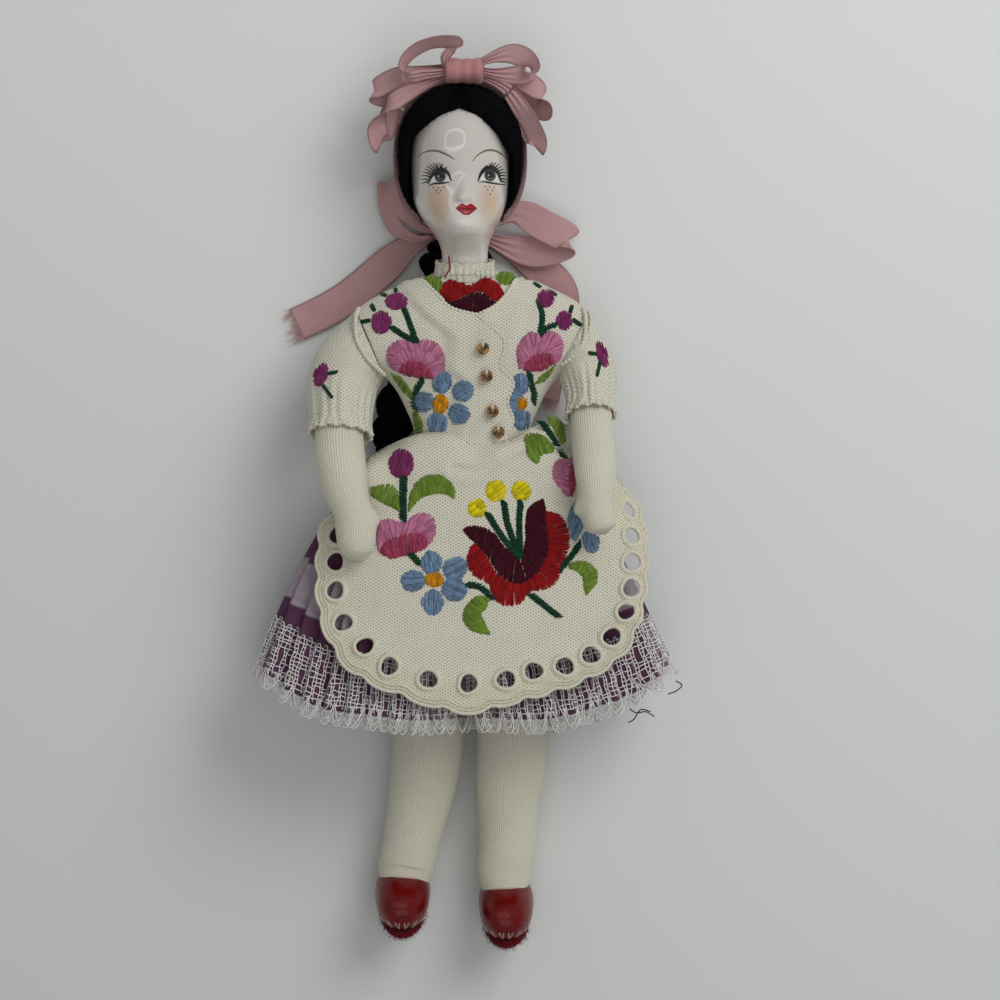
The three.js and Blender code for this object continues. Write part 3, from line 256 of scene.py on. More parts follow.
def tubes_mesh(name, paths, radius, up=(0, 0, 1), sides=4, flat=1.0, tint=None, wrap=False):
    """Closed tubes along paths[tube, step], all alike: a ring of corners is carried along each path.

    radius is one number or one per step; flat is the height of the section over its width;
    tint is one colour per tube; wrap joins the last ring to the first.
    """
    paths = np.asarray(paths, float)
    if paths.ndim == 2:
        paths = paths[None]
    count, steps = paths.shape[:2]
    if wrap:
        tangent = unit(np.roll(paths, -1, axis=1) - np.roll(paths, 1, axis=1))
    else:
        tangent = unit(np.gradient(paths, axis=1))
    side = unit(np.cross(tangent, np.broadcast_to(np.asarray(up, float), paths.shape)))
    rise = np.cross(side, tangent)
    radius = np.broadcast_to(np.asarray(radius, float), (count, steps))[..., None, None]
    angle = (TAU * (np.arange(sides) + 0.5) / sides)[None, None, :, None]
    ring = radius * (np.cos(angle) * side[:, :, None] + flat * np.sin(angle) * rise[:, :, None])
    points = (paths[:, :, None] + ring).reshape(-1, 3)
    s = np.arange(sides)
    k = np.arange(steps if wrap else steps - 1)[:, None]
    after = (k + 1) % steps
    one = np.stack([k * sides + s, k * sides + (s + 1) % sides,
                    after * sides + (s + 1) % sides, after * sides + s], axis=-1).reshape(-1, 4)
    if not wrap and sides == 4:
        one = np.concatenate([one, [[3, 2, 1, 0]], [(steps - 1) * 4 + s]])
    faces = (np.arange(count)[:, None, None] * steps * sides + one[None]).reshape(-1, 4)
    if not faces_out(points, faces):
        faces = faces[:, ::-1]
    faces = faces.tolist()
    if not wrap and sides != 4:
        for base in range(0, count * steps * sides, steps * sides):
            faces += [(base + s[::-1]).tolist(), (base + (steps - 1) * sides + s).tolist()]
    if tint is not None:
        tint = np.repeat(np.asarray(tint, float), steps * sides, axis=0)
    return put_mesh(name, points, faces, tint=tint)


def finish(obj, body, material, replaces=()):
    """Gives a piece its material, the body that it moves with and the CAD nodes that it stands for."""
    obj.data.materials.clear()
    obj.data.materials.append(material)
    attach(obj, body)
    if replaces:
        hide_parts(*replaces)
    return obj


# Settings that a user would change

def length_property(name, description, default, least, most):
    """A length in metres that a user may change."""
    return bpy.props.FloatProperty(
        name=name, description=description, default=default, min=least, max=most, unit="LENGTH")


def count_property(name, description, default, least, most):
    """A number of like things that a user may change."""
    return bpy.props.IntProperty(name=name, description=description, default=default, min=least, max=most)


def colour_property(name, description, default):
    """A colour that a user may change."""
    return bpy.props.FloatVectorProperty(
        name=name, description=description, default=default, size=3, min=0, max=1, subtype="COLOR")


class DollSizes(bpy.types.PropertyGroup):
    """Sizes of threads and cloth, in metres"""
    thread: length_property(
        "Embroidery thread", "Thickness of one strand of embroidery wool", 0.00053, 0.0001, 0.001)
    cloth: length_property("Cloth", "Thickness of the jacket and apron cloth", 0.00045, 0.0001, 0.001)
    ribbon: length_property("Ribbon", "Thickness of the hair ribbon", 0.00014, 0.00005, 0.0005)
    pleats: count_property("Pleats", "Number of pleats round the skirt", 44, 12, 80)
    hair_strands: count_property("Hair strands", "Combed strands on the head", 620, 50, 2000)


class DollColours(bpy.types.PropertyGroup):
    """Colours of the doll and its clothes"""
    porcelain: colour_property("Porcelain", "Glaze of the head", (0.68, 0.635, 0.585))
    hair: colour_property("Hair", "Wool of the hair", (0.0035, 0.0035, 0.0045))
    ribbon: colour_property("Ribbon", "Hair ribbon", (0.69, 0.405, 0.41))
    cloth: colour_property("Cloth", "Jacket, sleeves and apron", (0.74, 0.715, 0.59))
    trim: colour_property("Trim", "Overcast edges and cords", (0.70, 0.67, 0.54))
    blouse: colour_property("Blouse", "Blouse under the jacket", (0.72, 0.70, 0.66))
    stocking: colour_property("Stocking", "Arms and legs", (0.80, 0.775, 0.635))
    violet: colour_property("Violet", "Dark check of the skirt", (0.135, 0.055, 0.105))
    lavender: colour_property("Lavender", "Light check of the skirt", (0.38, 0.30, 0.36))
    lace: colour_property("Lace", "Lace at the hem", (0.92, 0.90, 0.88))
    leather: colour_property("Leather", "Shoes", (0.15, 0.0025, 0.003))
    felt: colour_property("Felt", "Soles", (0.13, 0.003, 0.008))


THREADS = {
    "dark_green": (0.008, 0.046, 0.024),
    "leaf": (0.165, 0.26, 0.035),
    "magenta": (0.22, 0.03, 0.125),
    "pink": (0.50, 0.175, 0.29),
    "deep_pink": (0.37, 0.055, 0.115),
    "blue": (0.16, 0.25, 0.37),
    "orange": (0.58, 0.24, 0.008),
    "yellow": (0.72, 0.60, 0.008),
    "red": (0.27, 0.008, 0.009),
    "maroon": (0.05, 0.004, 0.012),
    "pale": (0.45, 0.32, 0.32),
}


def sizes():
    """The doll's sizes in the scene."""
    return bpy.context.scene.folk_doll_sizes


def colour(name):
    """One of the doll's colours, opaque."""
    return tuple(getattr(bpy.context.scene.folk_doll_colours, name)) + (1.0,)


def times(tone, *factors):
    """An opaque colour whose parts are multiplied by one factor or by three."""
    return tuple(part * factor for part, factor in zip(tone[:3], factors * 3)) + (1,)


# Shader building

def feed(tree, made, inputs):
    """Puts values on a node's sockets, or links them where the value is a socket itself."""
    for key, value in inputs.items():
        if isinstance(value, bpy.types.NodeSocket):
            tree.links.new(value, made.inputs[key])
        else:
            made.inputs[key].default_value = value
    return made


def node(tree, kind, inputs=None, **settings):
    """Adds a shader node, with settings on the node and values or links on its sockets."""
    made = tree.nodes.new("ShaderNode" + kind)
    for key, value in settings.items():
        setattr(made, key, value)
    return feed(tree, made, inputs or {})


def calc(tree, operation, a, b=0.0, c=0.0):
    """A Math node's result."""
    return node(tree, "Math", {0: a, 1: b, 2: c}, operation=operation).outputs[0]


def product(tree, first, *others):
    """Several values multiplied."""
    for other in others:
        first = calc(tree, "MULTIPLY", first, other)
    return first


def wave(tree, value, length, middle=0.5):
    """A sine of the value with the given wavelength, between 0 and 1 or, with middle None, -1 and 1."""
    sine = calc(tree, "SINE", product(tree, value, TAU / length))
    return sine if middle is None else calc(tree, "MULTIPLY_ADD", sine, 0.5, middle)


def ramp(tree, value, start, end, kind="LINEAR"):
    """Rises from 0 to 1 while the value goes from start to end."""
    return node(tree, "MapRange", {"Value": value, "From Min": start, "From Max": end},
                interpolation_type=kind).outputs[0]


def noise(tree, place, scale, detail=2.0):
    """A Noise node's outputs."""
    return node(tree, "TexNoise", {"Vector": place, "Scale": scale, "Detail": detail}).outputs


def split(tree, vector):
    """The three parts of a vector."""
    return node(tree, "SeparateXYZ", {0: vector}).outputs


def vector_calc(tree, operation, *values):
    """A Vector Math node's outputs."""
    return node(tree, "VectorMath", dict(enumerate(values)), operation=operation).outputs


def blend_colours(tree, share, a, b, kind="MIX"):
    """A Mix node's colour, a at share 0 and b at share 1."""
    return node(tree, "Mix", {0: share, 6: a, 7: b}, data_type="RGBA", blend_type=kind).outputs[2]


def object_place(tree):
    """The place of a shaded point in its piece's own space, in metres."""
    return node(tree, "TexCoord").outputs["Object"]


def cloth_uv(tree):
    """The piece's own cloth coordinates, in millimetres along the cloth."""
    return node(tree, "UVMap", uv_map="cloth").outputs[0]


def own_tint(tree):
    """The colour that the piece's points carry."""
    return node(tree, "Attribute", attribute_name="tint").outputs["Color"]


def wobbled(tree, vector, scale, amount):
    """Cloth coordinates pushed about a little by soft noise."""
    shift = vector_calc(tree, "SUBTRACT", noise(tree, vector, scale)["Color"], (0.5, 0.5, 0.5))[0]
    return split(tree, vector_calc(tree, "MULTIPLY_ADD", shift, (amount, amount, 0), vector)[0])


def shaded(tree, tone, value, amount):
    """A colour made lighter and darker as a value swings about one half."""
    swing = calc(tree, "MULTIPLY_ADD", calc(tree, "SUBTRACT", value, 0.5), product(tree, amount, 2.0), 1.0)
    grey = node(tree, "CombineColor", {0: swing, 1: swing, 2: swing}).outputs[0]
    return blend_colours(tree, 1.0, tone, grey, "MULTIPLY")


GROUPS = {}
ORIGIN, WHITE = ("v", (0, 0, 0)), ("c", (1, 1, 1, 1))


def make_group(name, inputs, outputs, fill):
    """A node group: fill gets its tree and input sockets, and returns what goes to the outputs in order."""
    tree = bpy.data.node_groups.new(name, "ShaderNodeTree")
    kinds = {"v": "NodeSocketVector", "c": "NodeSocketColor", "f": "NodeSocketFloat"}
    for label, (kind, default) in inputs.items():
        socket = tree.interface.new_socket(name=label, in_out="INPUT", socket_type=kinds[kind])
        socket.default_value = default
    for label, kind in outputs.items():
        tree.interface.new_socket(name=label, in_out="OUTPUT", socket_type=kinds[kind])
    sources = tree.nodes.new("NodeGroupInput").outputs
    feed(tree, tree.nodes.new("NodeGroupOutput"), dict(zip(outputs, fill(tree, sources))))
    GROUPS[name] = tree


def use_group(tree, name, inputs):
    """Places a node group with its values and returns its outputs."""
    placed = tree.nodes.new("ShaderNodeGroup")
    placed.node_tree = GROUPS[name]
    return feed(tree, placed, inputs).outputs


def blotches(tree, ins):
    """Soft light and dark patches over a colour."""
    value = noise(tree, object_place(tree), ins["Scale"], 3.0)["Fac"]
    return shaded(tree, ins["Color"], value, ins["Amount"]), value


def open_weave(tree, ins):
    """Holes where two cosines both peak, in rows set off by half a hole."""
    x, y, _ = wobbled(tree, ins["Vector"], 0.9, 0.35)
    across = calc(tree, "COSINE", product(tree, calc(tree, "DIVIDE", x, ins["Across"]), TAU))
    along = calc(tree, "COSINE", product(tree, calc(tree, "DIVIDE", y, ins["Along"]), math.pi))
    both = product(tree, across, along)
    holes = ramp(tree, both, calc(tree, "SUBTRACT", 1.0, ins["Openness"]), 1.0, "SMOOTHSTEP")
    fine = noise(tree, ins["Vector"], 5.0)["Fac"]
    bulge = calc(tree, "MULTIPLY_ADD", both, -0.35, product(tree, fine, 0.4))
    tone = blend_colours(tree, product(tree, holes, 0.85), ins["Color"], ins["Hole Color"])
    return tone, calc(tree, "SUBTRACT", bulge, holes)


def rib_knit(tree, ins):
    """Rounded ribs across, with small stitches up each rib."""
    x, y, _ = wobbled(tree, ins["Vector"], 0.5, 0.5)
    half_turns = product(tree, calc(tree, "DIVIDE", x, ins["Rib"]), math.pi)
    rib = calc(tree, "ABSOLUTE", calc(tree, "SINE", half_turns))
    rise = calc(tree, "ADD", calc(tree, "DIVIDE", y, ins["Stitch"]), product(tree, rib, 0.5))
    stitch = calc(tree, "MULTIPLY_ADD", calc(tree, "COSINE", product(tree, rise, TAU)), 0.5, 0.5)
    lit = product(tree, calc(tree, "POWER", rib, 0.6), calc(tree, "MULTIPLY_ADD", stitch, 0.3, 0.7))
    shade = blend_colours(tree, 1.0, ins["Color"], (0.62, 0.60, 0.54, 1), "MULTIPLY")
    dark = product(tree, calc(tree, "SUBTRACT", 1.0, lit), 0.6)
    return blend_colours(tree, dark, ins["Color"], shade), calc(tree, "MULTIPLY_ADD", stitch, 0.35, rib)


def streaks(tree, ins):
    """Fibres drawn out along the cloth's second coordinate."""
    x, y, _ = split(tree, ins["Vector"])
    drawn = node(tree, "CombineXYZ", {0: product(tree, x, ins["Across"]),
                                      1: product(tree, y, ins["Along"])}).outputs[0]
    value = noise(tree, drawn, 1.0, 3.0)["Fac"]
    return (shaded(tree, ins["Color"], value, ins["Amount"]),)


def painted_spot(tree, ins):
    """1 in the middle of a ball in space and 0 outside it."""
    away = vector_calc(tree, "DISTANCE", object_place(tree), ins["Centre"])["Value"]
    near = calc(tree, "SUBTRACT", 1.0, calc(tree, "DIVIDE", away, ins["Radius"]))
    return (ramp(tree, near, 0.0, 1.0, "SMOOTHERSTEP"),)


def make_groups():
    """The patterns that several materials share."""
    make_group("Blotches", {"Color": WHITE, "Scale": ("f", 200.0), "Amount": ("f", 0.15)},
               {"Color": "c", "Value": "f"}, blotches)
    make_group("Open weave", {"Vector": ORIGIN, "Color": WHITE, "Hole Color": ("c", (0, 0, 0, 1)),
                              "Across": ("f", 0.45), "Along": ("f", 0.3), "Openness": ("f", 0.5)},
               {"Color": "c", "Height": "f"}, open_weave)
    make_group("Rib knit", {"Vector": ORIGIN, "Color": WHITE, "Rib": ("f", 0.5), "Stitch": ("f", 0.38)},
               {"Color": "c", "Height": "f"}, rib_knit)
    make_group("Streaks", {"Vector": ORIGIN, "Color": WHITE, "Across": ("f", 3.0), "Along": ("f", 0.2),
                           "Amount": ("f", 0.4)}, {"Color": "c"}, streaks)
    make_group("Painted spot", {"Centre": ORIGIN, "Radius": ("f", 0.003)}, {"Mask": "f"}, painted_spot)


def blotched(tree, tone, scale, amount):
    """The Blotches group over a colour."""
    return use_group(tree, "Blotches", {"Color": tone, "Scale": scale, "Amount": amount})


def new_material(name, roughness, **sockets):
    """A material with a Principled shader: returns material, tree and shader."""
    material = bpy.data.materials.new(name)
    material.use_nodes = True
    tree = material.node_tree
    shader = tree.nodes["Principled BSDF"]
    feed(tree, shader, {"Roughness": roughness, **{k.replace("_", " "): v for k, v in sockets.items()}})
    return material, tree, shader


def dress(tree, shader, base, height=None, depth=0.0, strength=0.6):
    """Links the base colour and, where a height is given, a Bump of some depth in metres."""
    links = {"Base Color": base}
    if height is not None:
        bump = node(tree, "Bump", {"Height": height, "Distance": depth, "Strength": strength})
        links["Normal"] = bump.outputs[0]
    feed(tree, shader, links)


def weave_material(name, hole, across, along, openness, blotch, sheen, tinted=False):
    """Open woven cloth: pinholes between threads, slightly uneven."""
    material, tree, shader = new_material(name, 0.9, Sheen_Weight=sheen, Specular_IOR_Level=0.2)
    woven = use_group(tree, "Open weave", {
        "Vector": cloth_uv(tree), "Color": colour("cloth"), "Hole Color": hole,
        "Across": across, "Along": along, "Openness": openness})
    base = blotched(tree, woven["Color"], 160.0, blotch)["Color"]
    if tinted:
        base = blend_colours(tree, 1.0, base, own_tint(tree), "MULTIPLY")
    dress(tree, shader, base, woven["Height"], 0.00012, 0.7)
    return material


def rib_material(name, main, rib, stitch):
    """Ribbed stocking knit."""
    material, tree, shader = new_material(name, 0.95, Sheen_Weight=0.25, Specular_IOR_Level=0.15)
    knit = use_group(tree, "Rib knit", {"Vector": cloth_uv(tree), "Color": main, "Rib": rib, "Stitch": stitch})
    soft = blotched(tree, knit["Color"], 140.0, 0.06)
    dress(tree, shader, soft["Color"], knit["Height"], 0.00014, 0.8)
    return material


def fibre_material(name, tone, roughness, scale, amount, depth=0.0, strength=0.6, **sockets):
    """Fibres or paint of one colour, or of the piece's own tint where tone is None, in fine blotches."""
    material, tree, shader = new_material(name, roughness, **sockets)
    soft = blotched(tree, tone or own_tint(tree), scale, amount)
    dress(tree, shader, soft["Color"], soft["Value"] if depth else None, depth, strength)
    return material


def thread_material(name, roughness=0.8):
    """Wool or cotton thread, coloured by the tint of each stitch, with fine fibres."""
    return fibre_material(name, None, roughness, 2600.0, 0.28, 0.00008, 0.5,
                          Sheen_Weight=0.08, Specular_IOR_Level=0.12)


def plain_thread(name, tone, roughness=0.8):
    """Thread or yarn of one colour with fine fibres."""
    return fibre_material(name, tone, roughness, 1800.0, 0.2, 0.0001, 0.6,
                          Sheen_Weight=0.1, Specular_IOR_Level=0.15)


# The head

FACE_WIDTH, FACE_DEPTH, SKULL_DEPTH, HEAD_Z = 22.8, 13.3, 12.6, 15.0
FEATURES_X = 1.35
HEAD_TURN_X, NECK_X, NECK_Z = -1.6, -0.5, 16.5
HEAD_MIDDLE = np.array([HEAD_TURN_X, 76, HEAD_Z])
NECK_RADIUS, STUB_RADIUS = 5.3, 3.6
NECK_FOOT_Y, STUB_FOOT_Y = NECK_Y + 1, NECK_Y - 4.5
MOUTH, NOSE, BRIDGE, EYE = 0.221, 0.283, 0.416, 0.441
skull_width = profile(
    (0, 0.5), (0.05, 0.58), (0.107, 0.69), (0.185, 0.83), (0.266, 0.925), (0.36, 0.97), (0.5, 1), (0.65, 0.99),
    (0.8, 0.91), (0.91, 0.7), (0.97, 0.43), (1, 0))
skull_front = profile(
    (0, 0.62), (0.04, 0.84), (0.08, 0.945), (0.12, 0.985), (0.2, 0.99), (0.36, 0.98), (0.5, 0.975),
    (0.65, 0.97),
    (0.8, 0.9), (0.91, 0.7), (0.97, 0.43), (1, 0))
skull_back = profile(
    (0, 0.42), (0.06, 0.54), (0.13, 0.66), (0.24, 0.8), (0.36, 0.9), (0.5, 0.97), (0.65, 1),
    (0.8, 0.93), (0.91, 0.72), (0.97, 0.45), (1, 0))
hair_width = profile(
    (0.02, 0.42), (0.1, 0.5), (0.2, 0.7), (0.3, 0.89), (0.42, 0.97), (0.6, 1), (0.74, 0.95),
    (0.86, 0.79), (0.94, 0.56), (0.985, 0.3), (1, 0))
hair_depth = profile(
    (0.02, 0.5), (0.1, 0.62), (0.2, 0.83), (0.3, 0.95), (0.42, 0.99), (0.6, 1), (0.74, 0.95),
    (0.86, 0.79), (0.94, 0.56), (0.985, 0.3), (1, 0))


def head_centre(share):
    """Middle of the head's rings: slides from the neck's place to the face's by a smooth step."""
    u = smooth(-0.1, 0.3, share)
    return NECK_X + (HEAD_TURN_X - NECK_X) * u, NECK_Z + (HEAD_Z - NECK_Z) * u


def face_relief(x, share):
    """Height of the face over the plain egg: bells for nose, lips, chin and brow, less those of the eyes."""
    x = x - FEATURES_X
    ridge = smooth(BRIDGE + 0.04, NOSE, share) * smooth(NOSE - 0.055, NOSE, share)
    nose = 1.25 * ridge * bell(x, 0, 1.7 + 0.5 * (BRIDGE - share) / BRIDGE)
    wings = 0.35 * bell(share, NOSE, 0.018) * (bell(x, 1.35, 0.6) + bell(x, -1.35, 0.6))
    lips = 0.7 * bell(share, MOUTH, 0.03) * bell(x, 0, 2.2)
    part = 0.16 * bell(share, MOUTH - 0.002, 0.006) * bell(x, 0, 1.9)
    chin = 0.7 * bell(share, 0.115, 0.055) * bell(x, 0, 3.6)
    sockets = 0.55 * bell(share, EYE, 0.05) * (bell(x, 5.4, 2.2) + bell(x, -5.4, 2.2))
    return nose + wings + lips - part + chin - sockets


def face_point(x, y, lift=0.0):
    """The front of the face over a place x, y: the head's own ring formula solved for the height."""
    share = (y - CHIN_Y) / SKULL_HEIGHT
    cx, cz = head_centre(share)
    half = FACE_WIDTH / 2 * skull_width(share)
    aside = x - cx
    rise = np.sqrt(np.clip(1 - (aside / half) ** 2, 0, 1))
    z = cz + rise * (FACE_DEPTH * skull_front(share) + face_relief(aside, share))
    return np.stack([x, y, z + lift], axis=-1)


def neck_ring(y, radius, angle):
    """A ring of points round the neck."""
    return joined(NECK_X + radius * np.cos(angle), y, NECK_Z + radius * np.sin(angle))


def head_surface(columns, rows):
    """Rings of the head from neck stub to crown: ovals whose half-widths follow the skull's profiles."""
    turn = turns_of(columns)
    angle = turn + 0.42 * np.cos(turn)
    cos, sin = np.cos(angle), np.sin(angle)
    share = (0.5 * (1 - np.cos(np.pi * np.arange(1, rows) / (rows - 1))))[:, None]
    cx, cz = head_centre(share)
    half = FACE_WIDTH / 2 * np.maximum(skull_width(share), 0.004)
    front = FACE_DEPTH * np.maximum(skull_front(share), 0.004)
    back = SKULL_DEPTH * np.maximum(skull_back(share), 0.004)
    x = half * cos
    z = np.where(sin > 0, front, back) * sin + np.maximum(sin, 0) * face_relief(x, share)
    skull = joined(cx + x, CHIN_Y + share * SKULL_HEIGHT, cz + z)
    levels = [(STUB_FOOT_Y, STUB_RADIUS), (NECK_FOOT_Y, STUB_RADIUS), (NECK_FOOT_Y, NECK_RADIUS)]
    levels += [(y, NECK_RADIUS) for y in np.linspace(NECK_FOOT_Y + 0.3, NECK_FOOT_Y + 1.2, 4)]
    rings = [neck_ring(y, radius, angle) for y, radius in levels]
    first = int(np.argmax(share[:, 0] > 0.045))
    start, end = rings[-1], skull[first]
    rise = float(end[0, 1] - start[0, 1])
    leaving = np.array([0, rise, 0])
    arriving = (skull[first + 1] - end) / (skull[first + 1, :1, 1:2] - end[:1, 1:2]) * rise
    t = np.linspace(0, 1, 18)[1:-1, None, None]
    between = ((1 + 2 * t) * (1 - t) ** 2 * start + t * t * (3 - 2 * t) * end
               + t * (1 - t) ** 2 * leaving - t * t * (1 - t) * arriving)
    return np.concatenate([rings, between, skull[first:]])


CHEEK_X = -0.6
BLUSH = ((63.5, 5.6, (0.62, 0.50, 0.34, 1)), (67.1, 5.8, (0.66, 0.44, 0.28, 1)))


def porcelain_material():
    """White glaze with peach and yellow blush, each a soft painted spot, and a pale spot of painted light that
    brightens the chin.
    """
    material, tree, shader = new_material(
        "porcelain glaze", 0.09, Coat_Weight=0.8, Coat_Roughness=0.06, Specular_IOR_Level=0.5)
    base = blotched(tree, colour("porcelain"), 90.0, 0.02)["Color"]
    spots = [(CHEEK_X + sign * 6.1, *blush, 0.8) for sign in (-1, 1) for blush in BLUSH]
    # The last spot is painted light: it lightens the glaze on the chin, which the lamps leave in shade.
    for x, y, spread, tint, strength in [*spots, (CHEEK_X, 60.6, 6.5, (0.84, 0.79, 0.73, 1), 0.75)]:
        centre = face_point(np.array(x), np.array(y)) * MM
        mask = use_group(tree, "Painted spot", {"Centre": centre.tolist(), "Radius": spread * MM})["Mask"]
        base = blend_colours(tree, product(tree, mask, strength), base, tint)
    dress(tree, shader, base, noise(tree, object_place(tree), 350.0)["Fac"], 0.00002, 0.25)
    return material


class Paint:
    """Gathers painted strokes and patches on the face, each a thin closed plate over the glaze."""

    def __init__(self):
        self.points, self.faces, self.tints, self.count = [], [], [], 0

    def add(self, top, tint):
        """Adds a plate. Its upper side is the grid top[row, column], its lower side is sunk under the glaze."""
        rows, columns = top.shape[:2]
        low = top.copy()
        low[..., 2] -= 0.12
        both = np.concatenate([top.reshape(-1, 3), low.reshape(-1, 3)])
        size = rows * columns
        up = grid_faces(rows, columns)
        if np.cross(top[0, 1] - top[0, 0], top[1, 0] - top[0, 0])[2] < 0:
            up = up[:, ::-1]
        down = up[:, ::-1] + size
        ring = np.concatenate([np.arange(columns), (np.arange(1, rows) + 1) * columns - 1,
                               rows * columns - 1 - np.arange(1, columns),
                               (rows - 1 - np.arange(1, rows - 1)) * columns])
        after = np.roll(ring, -1)
        sides = np.stack([after, ring, ring + size, after + size], axis=-1)
        if up[0, 0] != 0:
            sides = sides[:, ::-1]
        self.points.append(both)
        self.faces.append(np.concatenate([up, down, sides]) + self.count)
        self.tints.append(np.broadcast_to(tint, both.shape))
        self.count += 2 * size

    def stroke(self, places, widths, tint, lift=0.03, steps=14):
        """A brush stroke along x, y places with the widths given along it."""
        path = evenly(places, steps)
        tangent = unit(np.gradient(path, axis=0))
        normal = np.stack([-tangent[:, 1], tangent[:, 0]], axis=-1)
        half = np.interp(np.linspace(0, 1, steps), np.linspace(0, 1, len(widths)), widths)[:, None] / 2
        across = np.array([-1, 0, 1])[None, :, None]
        flat = path[:, None] + across * (half * normal)[:, None]
        self.add(face_point(flat[..., 0], flat[..., 1], lift), tint)

    def patch(self, upper, lower, tint, lift=0.03, columns=24, rows=9):
        """A patch between an upper and a lower edge of x, y places."""
        a, b = evenly(upper, columns), evenly(lower, columns)
        v = np.linspace(0, 1, rows)[:, None, None]
        flat = b[None] * (1 - v) + a[None] * v
        self.add(face_point(flat[..., 0], flat[..., 1], lift), tint)

    def disc(self, place, radius, tint, lift=0.03, squeeze=1.0, sides=20):
        """A round dot: rings of points from its middle outwards."""
        turn = np.linspace(0, TAU, sides)
        half = np.sqrt(np.linspace(0.0004, 1, 4))[:, None]
        x = place[0] + radius * squeeze * half * np.cos(turn)
        y = place[1] + radius * half * np.sin(turn)
        self.add(face_point(x, y, lift)[:, ::-1], tint)

    def mesh(self, name):
        """The gathered plates as one object."""
        return put_mesh(name, np.concatenate(self.points), np.concatenate(self.faces).tolist(),
                        tint=np.concatenate(self.tints))


BLACK, BROWN, FRECKLE = (0.008, 0.008, 0.01), (0.21, 0.16, 0.11), (0.10, 0.045, 0.02)
EYES = (
    {"centre": (440.6, 176.6),
     "upper": [(428.6, 183.5), (432, 176), (438, 170.6), (444, 170.4), (448.6, 174), (451.8, 181.5)],
     "lower": [(428.6, 183.5), (434, 182.8), (441.5, 182.6), (447, 182.5), (451.8, 181.5)],
     "under": [(428.2, 186), (433, 183.8), (441.5, 183.4), (450, 182.6)],
     "lashes": [(422, 183), (421.6, 179), (422, 175), (423.3, 171.6), (425, 168.6), (427.2, 166),
                (429.8, 164.2), (433, 163), (436.4, 162.6), (440, 162.9), (443.6, 164), (447.2, 167.4)],
     "brow": [(417.8, 156.3), (423.5, 152.4), (431.3, 150.7), (439, 151.6), (448, 155.6), (455.2, 160)],
     "freckles": [(433.7, 187.4), (438.7, 188), (444, 187.4), (436.8, 190.4), (441.3, 190.4), (439, 193.3)]},
    {"centre": (490.2, 175.2),
     "upper": [(478.3, 181.5), (481.5, 173.4), (486.5, 168.6), (492.5, 167.8), (497.3, 171.4), (501, 181)],
     "lower": [(478.3, 181.5), (484, 181), (491, 181.6), (497, 182), (501, 181)],
     "under": [(479, 182.6), (484, 181.7), (491, 182.6), (499, 183.2), (505.4, 183)],
     "lashes": [(486, 165), (489.6, 162.6), (493, 161.6), (496.4, 161.8), (499.6, 163), (502, 165.2),
                (504, 168), (505.4, 171), (506.2, 174.4), (506.4, 178), (505.6, 181.6)],
     "brow": [(472.8, 161.6), (479, 154.6), (487.5, 150.4), (495.5, 150.6), (502, 153.4), (506.3, 157.1)],
     "freckles": [(485.2, 186.6), (489.6, 186.4), (494.2, 187), (487.6, 189.8), (492.4, 189.8), (490.4, 194)]},
)
LIPS = {
    "top": [(456, 208.6), (459.5, 205.4), (462.6, 203.9), (466.7, 205.8), (471, 203.9), (474, 205.4),
            (477.6, 208.4)],
    "part": [(456, 208.6), (461, 208.8), (466.7, 209.4), (472, 208.8), (477.6, 208.4)],
    "foot": [(456, 208.6), (460, 212), (463.5, 214.8), (466.8, 215.4), (470, 214.8), (473.6, 212),
             (477.6, 208.4)],
    "shine_top": [(463, 211.2), (466.8, 211.8), (470.4, 211.2)],
    "shine_foot": [(463, 211.6), (466.8, 214), (470.4, 211.6)]}


def face_chart(*places):
    """Chart places on the face, which lies high and so a little lower on the chart."""
    return chart(*places) - (0, 0.5)


def paint_eye(paint, eye):
    """One eye: white, iris, pupil and glint, the lids, a fan of lashes, the brow and six dots."""
    upper, lower = face_chart(*eye["upper"]), face_chart(*eye["lower"])
    centre = face_chart(eye["centre"])[0]
    paint.patch(upper, lower, (0.74, 0.74, 0.73), 0.02)
    paint.disc(centre, 1.3, (0.016, 0.02, 0.017), 0.045)
    paint.disc(centre, 1.04, (0.036, 0.048, 0.033), 0.06)
    paint.disc(centre + (-0.1, -0.55), 0.45, (0.10, 0.13, 0.095), 0.07, squeeze=1.3)
    paint.disc(centre + (0.05, 0.12), 0.7, BLACK, 0.08)
    paint.disc(centre + (-0.36, 0.02), 0.2, (0.42, 0.46, 0.42), 0.095)
    paint.stroke(upper, (0.25, 0.65, 1.15, 1.1, 0.6, 0.22), BLACK, 0.11)
    paint.stroke(face_chart(*eye["under"]), (0.1, 0.36, 0.4, 0.14), BLACK, 0.1)
    roots = evenly(upper, 40)
    for tip in face_chart(*eye["lashes"]):
        near = roots[np.argmin(np.linalg.norm(roots - (tip * 0.72 + centre * 0.28), axis=1))]
        across = np.array([near[1] - tip[1], tip[0] - near[0]])
        bend = (near + tip) / 2 + 0.11 * np.sign(tip[0] - centre[0]) * across
        paint.stroke([near, bend, tip], (0.42, 0.34, 0.24, 0.1), BLACK, 0.1, 8)
    paint.stroke(face_chart(*eye["brow"]), (0.12, 0.28, 0.42, 0.5, 0.44, 0.16), BROWN, 0.03, 20)
    for place in face_chart(*eye["freckles"]):
        paint.disc(place, 0.17, FRECKLE, 0.03, sides=12)


